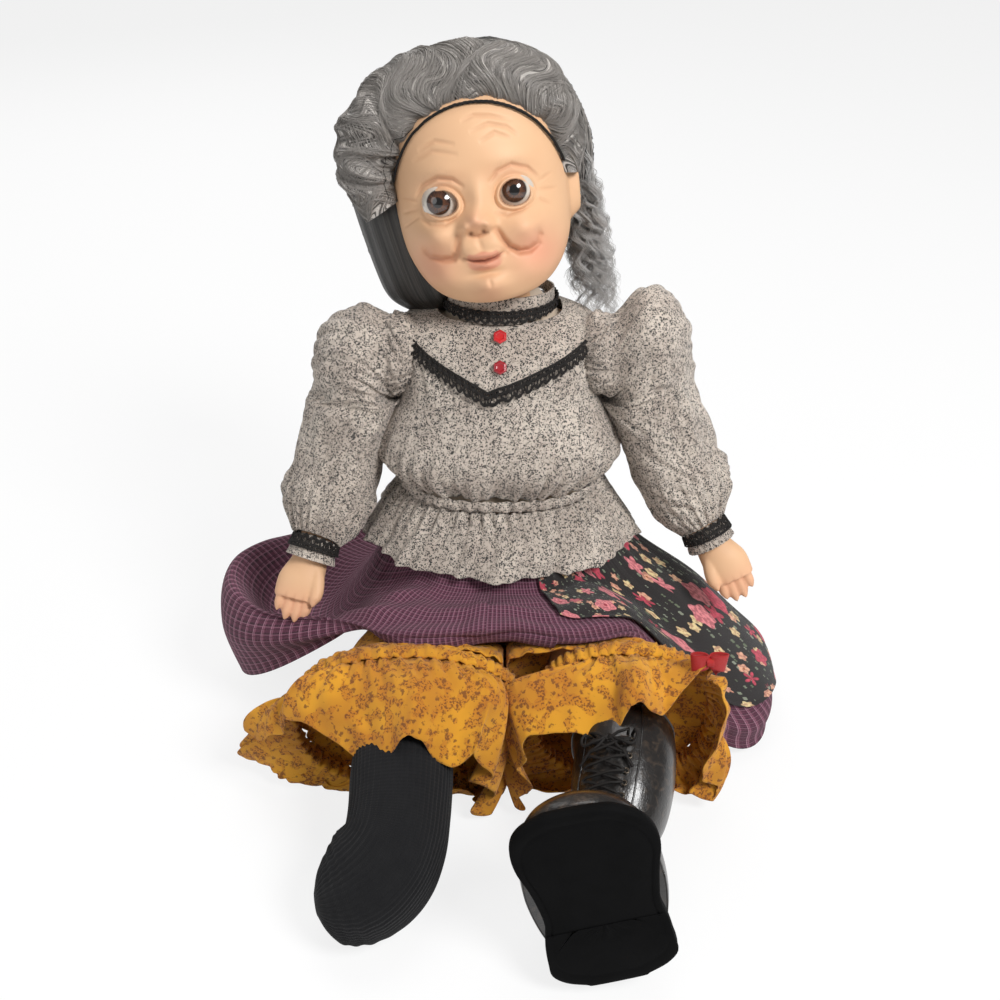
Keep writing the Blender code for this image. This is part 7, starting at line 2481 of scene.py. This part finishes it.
def make_body_pieces(look):
    rings = [body_ring(row, -0.2 * MM) for row in BODY_SHARES]
    surface = ring_surface(rings)
    body = loft_grid("body_stuffed", [[surface(column / 80, row / 70) for column in range(80)]
                                      for row in range(71)], caps=(True, True))
    dress(body, "torso", ("cloth_body",), look)


# The floor, the light and the camera

def white_to_camera(material, colour, floor):
    """Show white to the camera and in reflections, and keep the floor's shadow."""
    tree = material.node_tree
    path = tree.nodes.new("ShaderNodeLightPath")
    shader = tree.nodes["Principled BSDF"]
    glow = tree.nodes.new("ShaderNodeEmission")
    glow.inputs["Color"].default_value = (*colour, 1.0)
    share = tree.nodes.new("ShaderNodeMath")
    share.operation = "MAXIMUM"
    tree.links.new(path.outputs["Is Camera Ray"], share.inputs[0])
    tree.links.new(path.outputs["Is Glossy Ray"], share.inputs[1])
    dim = tree.nodes.new("ShaderNodeMath")
    dim.operation = "MULTIPLY"
    dim.inputs[1].default_value = floor
    tree.links.new(share.outputs[0], dim.inputs[0])
    mix = tree.nodes.new("ShaderNodeMixShader")
    tree.links.new(dim.outputs[0], mix.inputs[0])
    tree.links.new(shader.outputs[0], mix.inputs[1])
    tree.links.new(glow.outputs[0], mix.inputs[2])
    tree.links.new(mix.outputs[0], tree.nodes["Material Output"].inputs["Surface"])


def make_stage():
    mesh_data = bmesh.new()
    for x, y in ((-1, -1), (1, -1), (1, 1), (-1, 1)):
        mesh_data.verts.new((x * FLOOR_REACH, y * FLOOR_REACH, 0.0))
    mesh_data.faces.new(mesh_data.verts)
    floor = piece("floor", mesh_data)
    look = Look("pale_floor", (0.86, 0.86, 0.86), 0.9)
    look.bump(look.noise(look.sized(False, 1.0), 300.0), 0.00005, 0.1)
    white_to_camera(look.material, (1.0, 1.0, 1.0), FLOOR_GLOW)
    floor.data.materials.append(look.material)
    world = bpy.data.worlds.new("studio")
    bpy.context.scene.world = world
    world.use_nodes = True
    tree = world.node_tree
    back = tree.nodes["Background"]
    back.inputs["Color"].default_value = (1.0, 1.0, 1.0, 1.0)
    path = tree.nodes.new("ShaderNodeLightPath")
    share = tree.nodes.new("ShaderNodeMath")
    share.operation = "MAXIMUM"
    tree.links.new(path.outputs["Is Camera Ray"], share.inputs[0])
    tree.links.new(path.outputs["Is Transmission Ray"], share.inputs[1])
    level = tree.nodes.new("ShaderNodeMapRange")
    level.inputs["To Min"].default_value = WORLD_LEVEL
    level.inputs["To Max"].default_value = 1.0
    tree.links.new(share.outputs[0], level.inputs["Value"])
    tree.links.new(level.outputs[0], back.inputs["Strength"])


FLOOR_REACH = 3.0
FLOOR_GLOW = 0.82
WORLD_LEVEL = 0.25
LAMP_AIM = (0.0, -0.02, 0.13)
LAMPS = (
    ("key", (0.60, -0.62, 1.00), 0.45, 14.0), ("fill", (-0.90, -0.60, 0.60), 0.9, 2.6),
    ("top", (0.0, 0.40, 1.25), 0.8, 5.0), ("rim", (-0.45, 0.95, 0.75), 0.7, 3.0),
)


def make_lights():
    for name, place, size, power in LAMPS:
        data = bpy.data.lights.new(name, "AREA")
        data.shape = "DISK"
        data.size = size
        data.energy = power
        lamp = bpy.data.objects.new(name, data)
        lamp.location = place
        aim = Vector(LAMP_AIM) - Vector(place)
        lamp.rotation_euler = aim.to_track_quat("-Z", "Y").to_euler()
        bpy.context.scene.collection.objects.link(lamp)


CAMERA_PLACE = (0.0, -0.458, 0.406)
CAMERA_TILT = math.radians(57.0)
CAMERA_LENS = 45.0
CAMERA_SENSOR = 36.0


def make_camera():
    data = bpy.data.cameras.new("camera")
    data.lens = CAMERA_LENS
    data.sensor_width = CAMERA_SENSOR
    data.clip_start = 0.01
    camera = bpy.data.objects.new("camera", data)
    camera.location = CAMERA_PLACE
    camera.rotation_euler = (CAMERA_TILT, 0.0, 0.0)
    bpy.context.scene.collection.objects.link(camera)
    bpy.context.scene.camera = camera


def give_nodes_looks(looks):
    """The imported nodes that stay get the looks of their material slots."""
    for name, obj in frame["nodes"].items():
        look = looks.get(SLOTS.get(name))
        if look and not obj.hide_render:
            for slot in obj.material_slots:
                slot.material = look


def main():
    bpy.context.scene.view_settings.view_transform = "Standard"
    make_camera()
    make_stage()
    make_lights()
    calico = squiggle_calico()
    ochre = speckle_calico()
    plaid = plum_plaid()
    floral = black_floral()
    vinyl = painted_vinyl("vinyl", 0.55)
    lace = plain_look("black_lace", (0.016, 0.014, 0.013), 0.85, 1800.0, 0.0003)
    grey = hair_look("grey_hair", (0.020, 0.016, 0.014), (0.56, 0.52, 0.48))
    pale = hair_look("pale_hair", (0.20, 0.19, 0.18), (0.80, 0.78, 0.76))
    # The netted hair behind is near black, partly for the black net over it and partly as painted shade for
    # the side of the head in shadow.
    dark = hair_look("netted_hair_black_and_painted_shade", (0.008, 0.007, 0.006), (0.060, 0.054, 0.048))
    net = plain_look("net_cord", (0.010, 0.009, 0.009), 0.7, 2500.0, 0.00008)
    buttons = (plain_look("red_button", (0.62, 0.018, 0.022), 0.22, 500.0, 0.00003, 0.6),
               plain_look("dark_red_button", (0.33, 0.012, 0.020), 0.24, 500.0, 0.00003, 0.6))
    leather = leather_look()
    rubber = plain_look("sole_rubber", (0.0025, 0.0025, 0.0027), 0.80, 900.0, 0.00006, shine=0.10)
    cord = plain_look("lace_cord", (0.012, 0.010, 0.009), 0.65, 2600.0, 0.0003)
    brass = Look("eyelet_metal", (0.10, 0.08, 0.06), 0.35)
    brass.set("Metallic", 0.9)
    brass.bump(brass.noise(brass.sized(False, 1.0), 1500.0), 0.00003, 0.3)
    ribbon = cloth_look("red_ribbon", (0.40, 0.006, 0.006), 5200.0, False, 0.50, 0.03).material
    plastic = plain_look("joint_plastic", (0.70, 0.69, 0.64), 0.4)
    canvas = cloth_look("body_cloth", (0.62, 0.50, 0.38), 1800.0).material
    cap = cloth_look("wig_cap", (0.03, 0.026, 0.024), 1500.0).material
    make_body_pieces(canvas)
    make_skin(vinyl)
    make_eyes(eye_look())
    make_hair_pieces(grey, dark, pale, net, net)
    make_bodice(calico, lace, buttons)
    make_collar_pieces(calico, lace)
    for end, side in SIDES:
        make_arm_pieces(end, side, vinyl)
        make_sleeve_pieces(end, side, calico, lace)
    make_legs(vinyl, knit_look())
    make_bloomers(ochre, ochre)
    make_skirt_pieces(plaid, floral)
    make_waist(calico, calico)
    make_boot_pieces(leather, rubber, cord, brass.material)
    make_bow_pieces(ribbon)
    give_nodes_looks({"clear_plastic": plastic, "body_cloth": canvas, "wig_cap": cap,
                      "vinyl": plastic})


main()
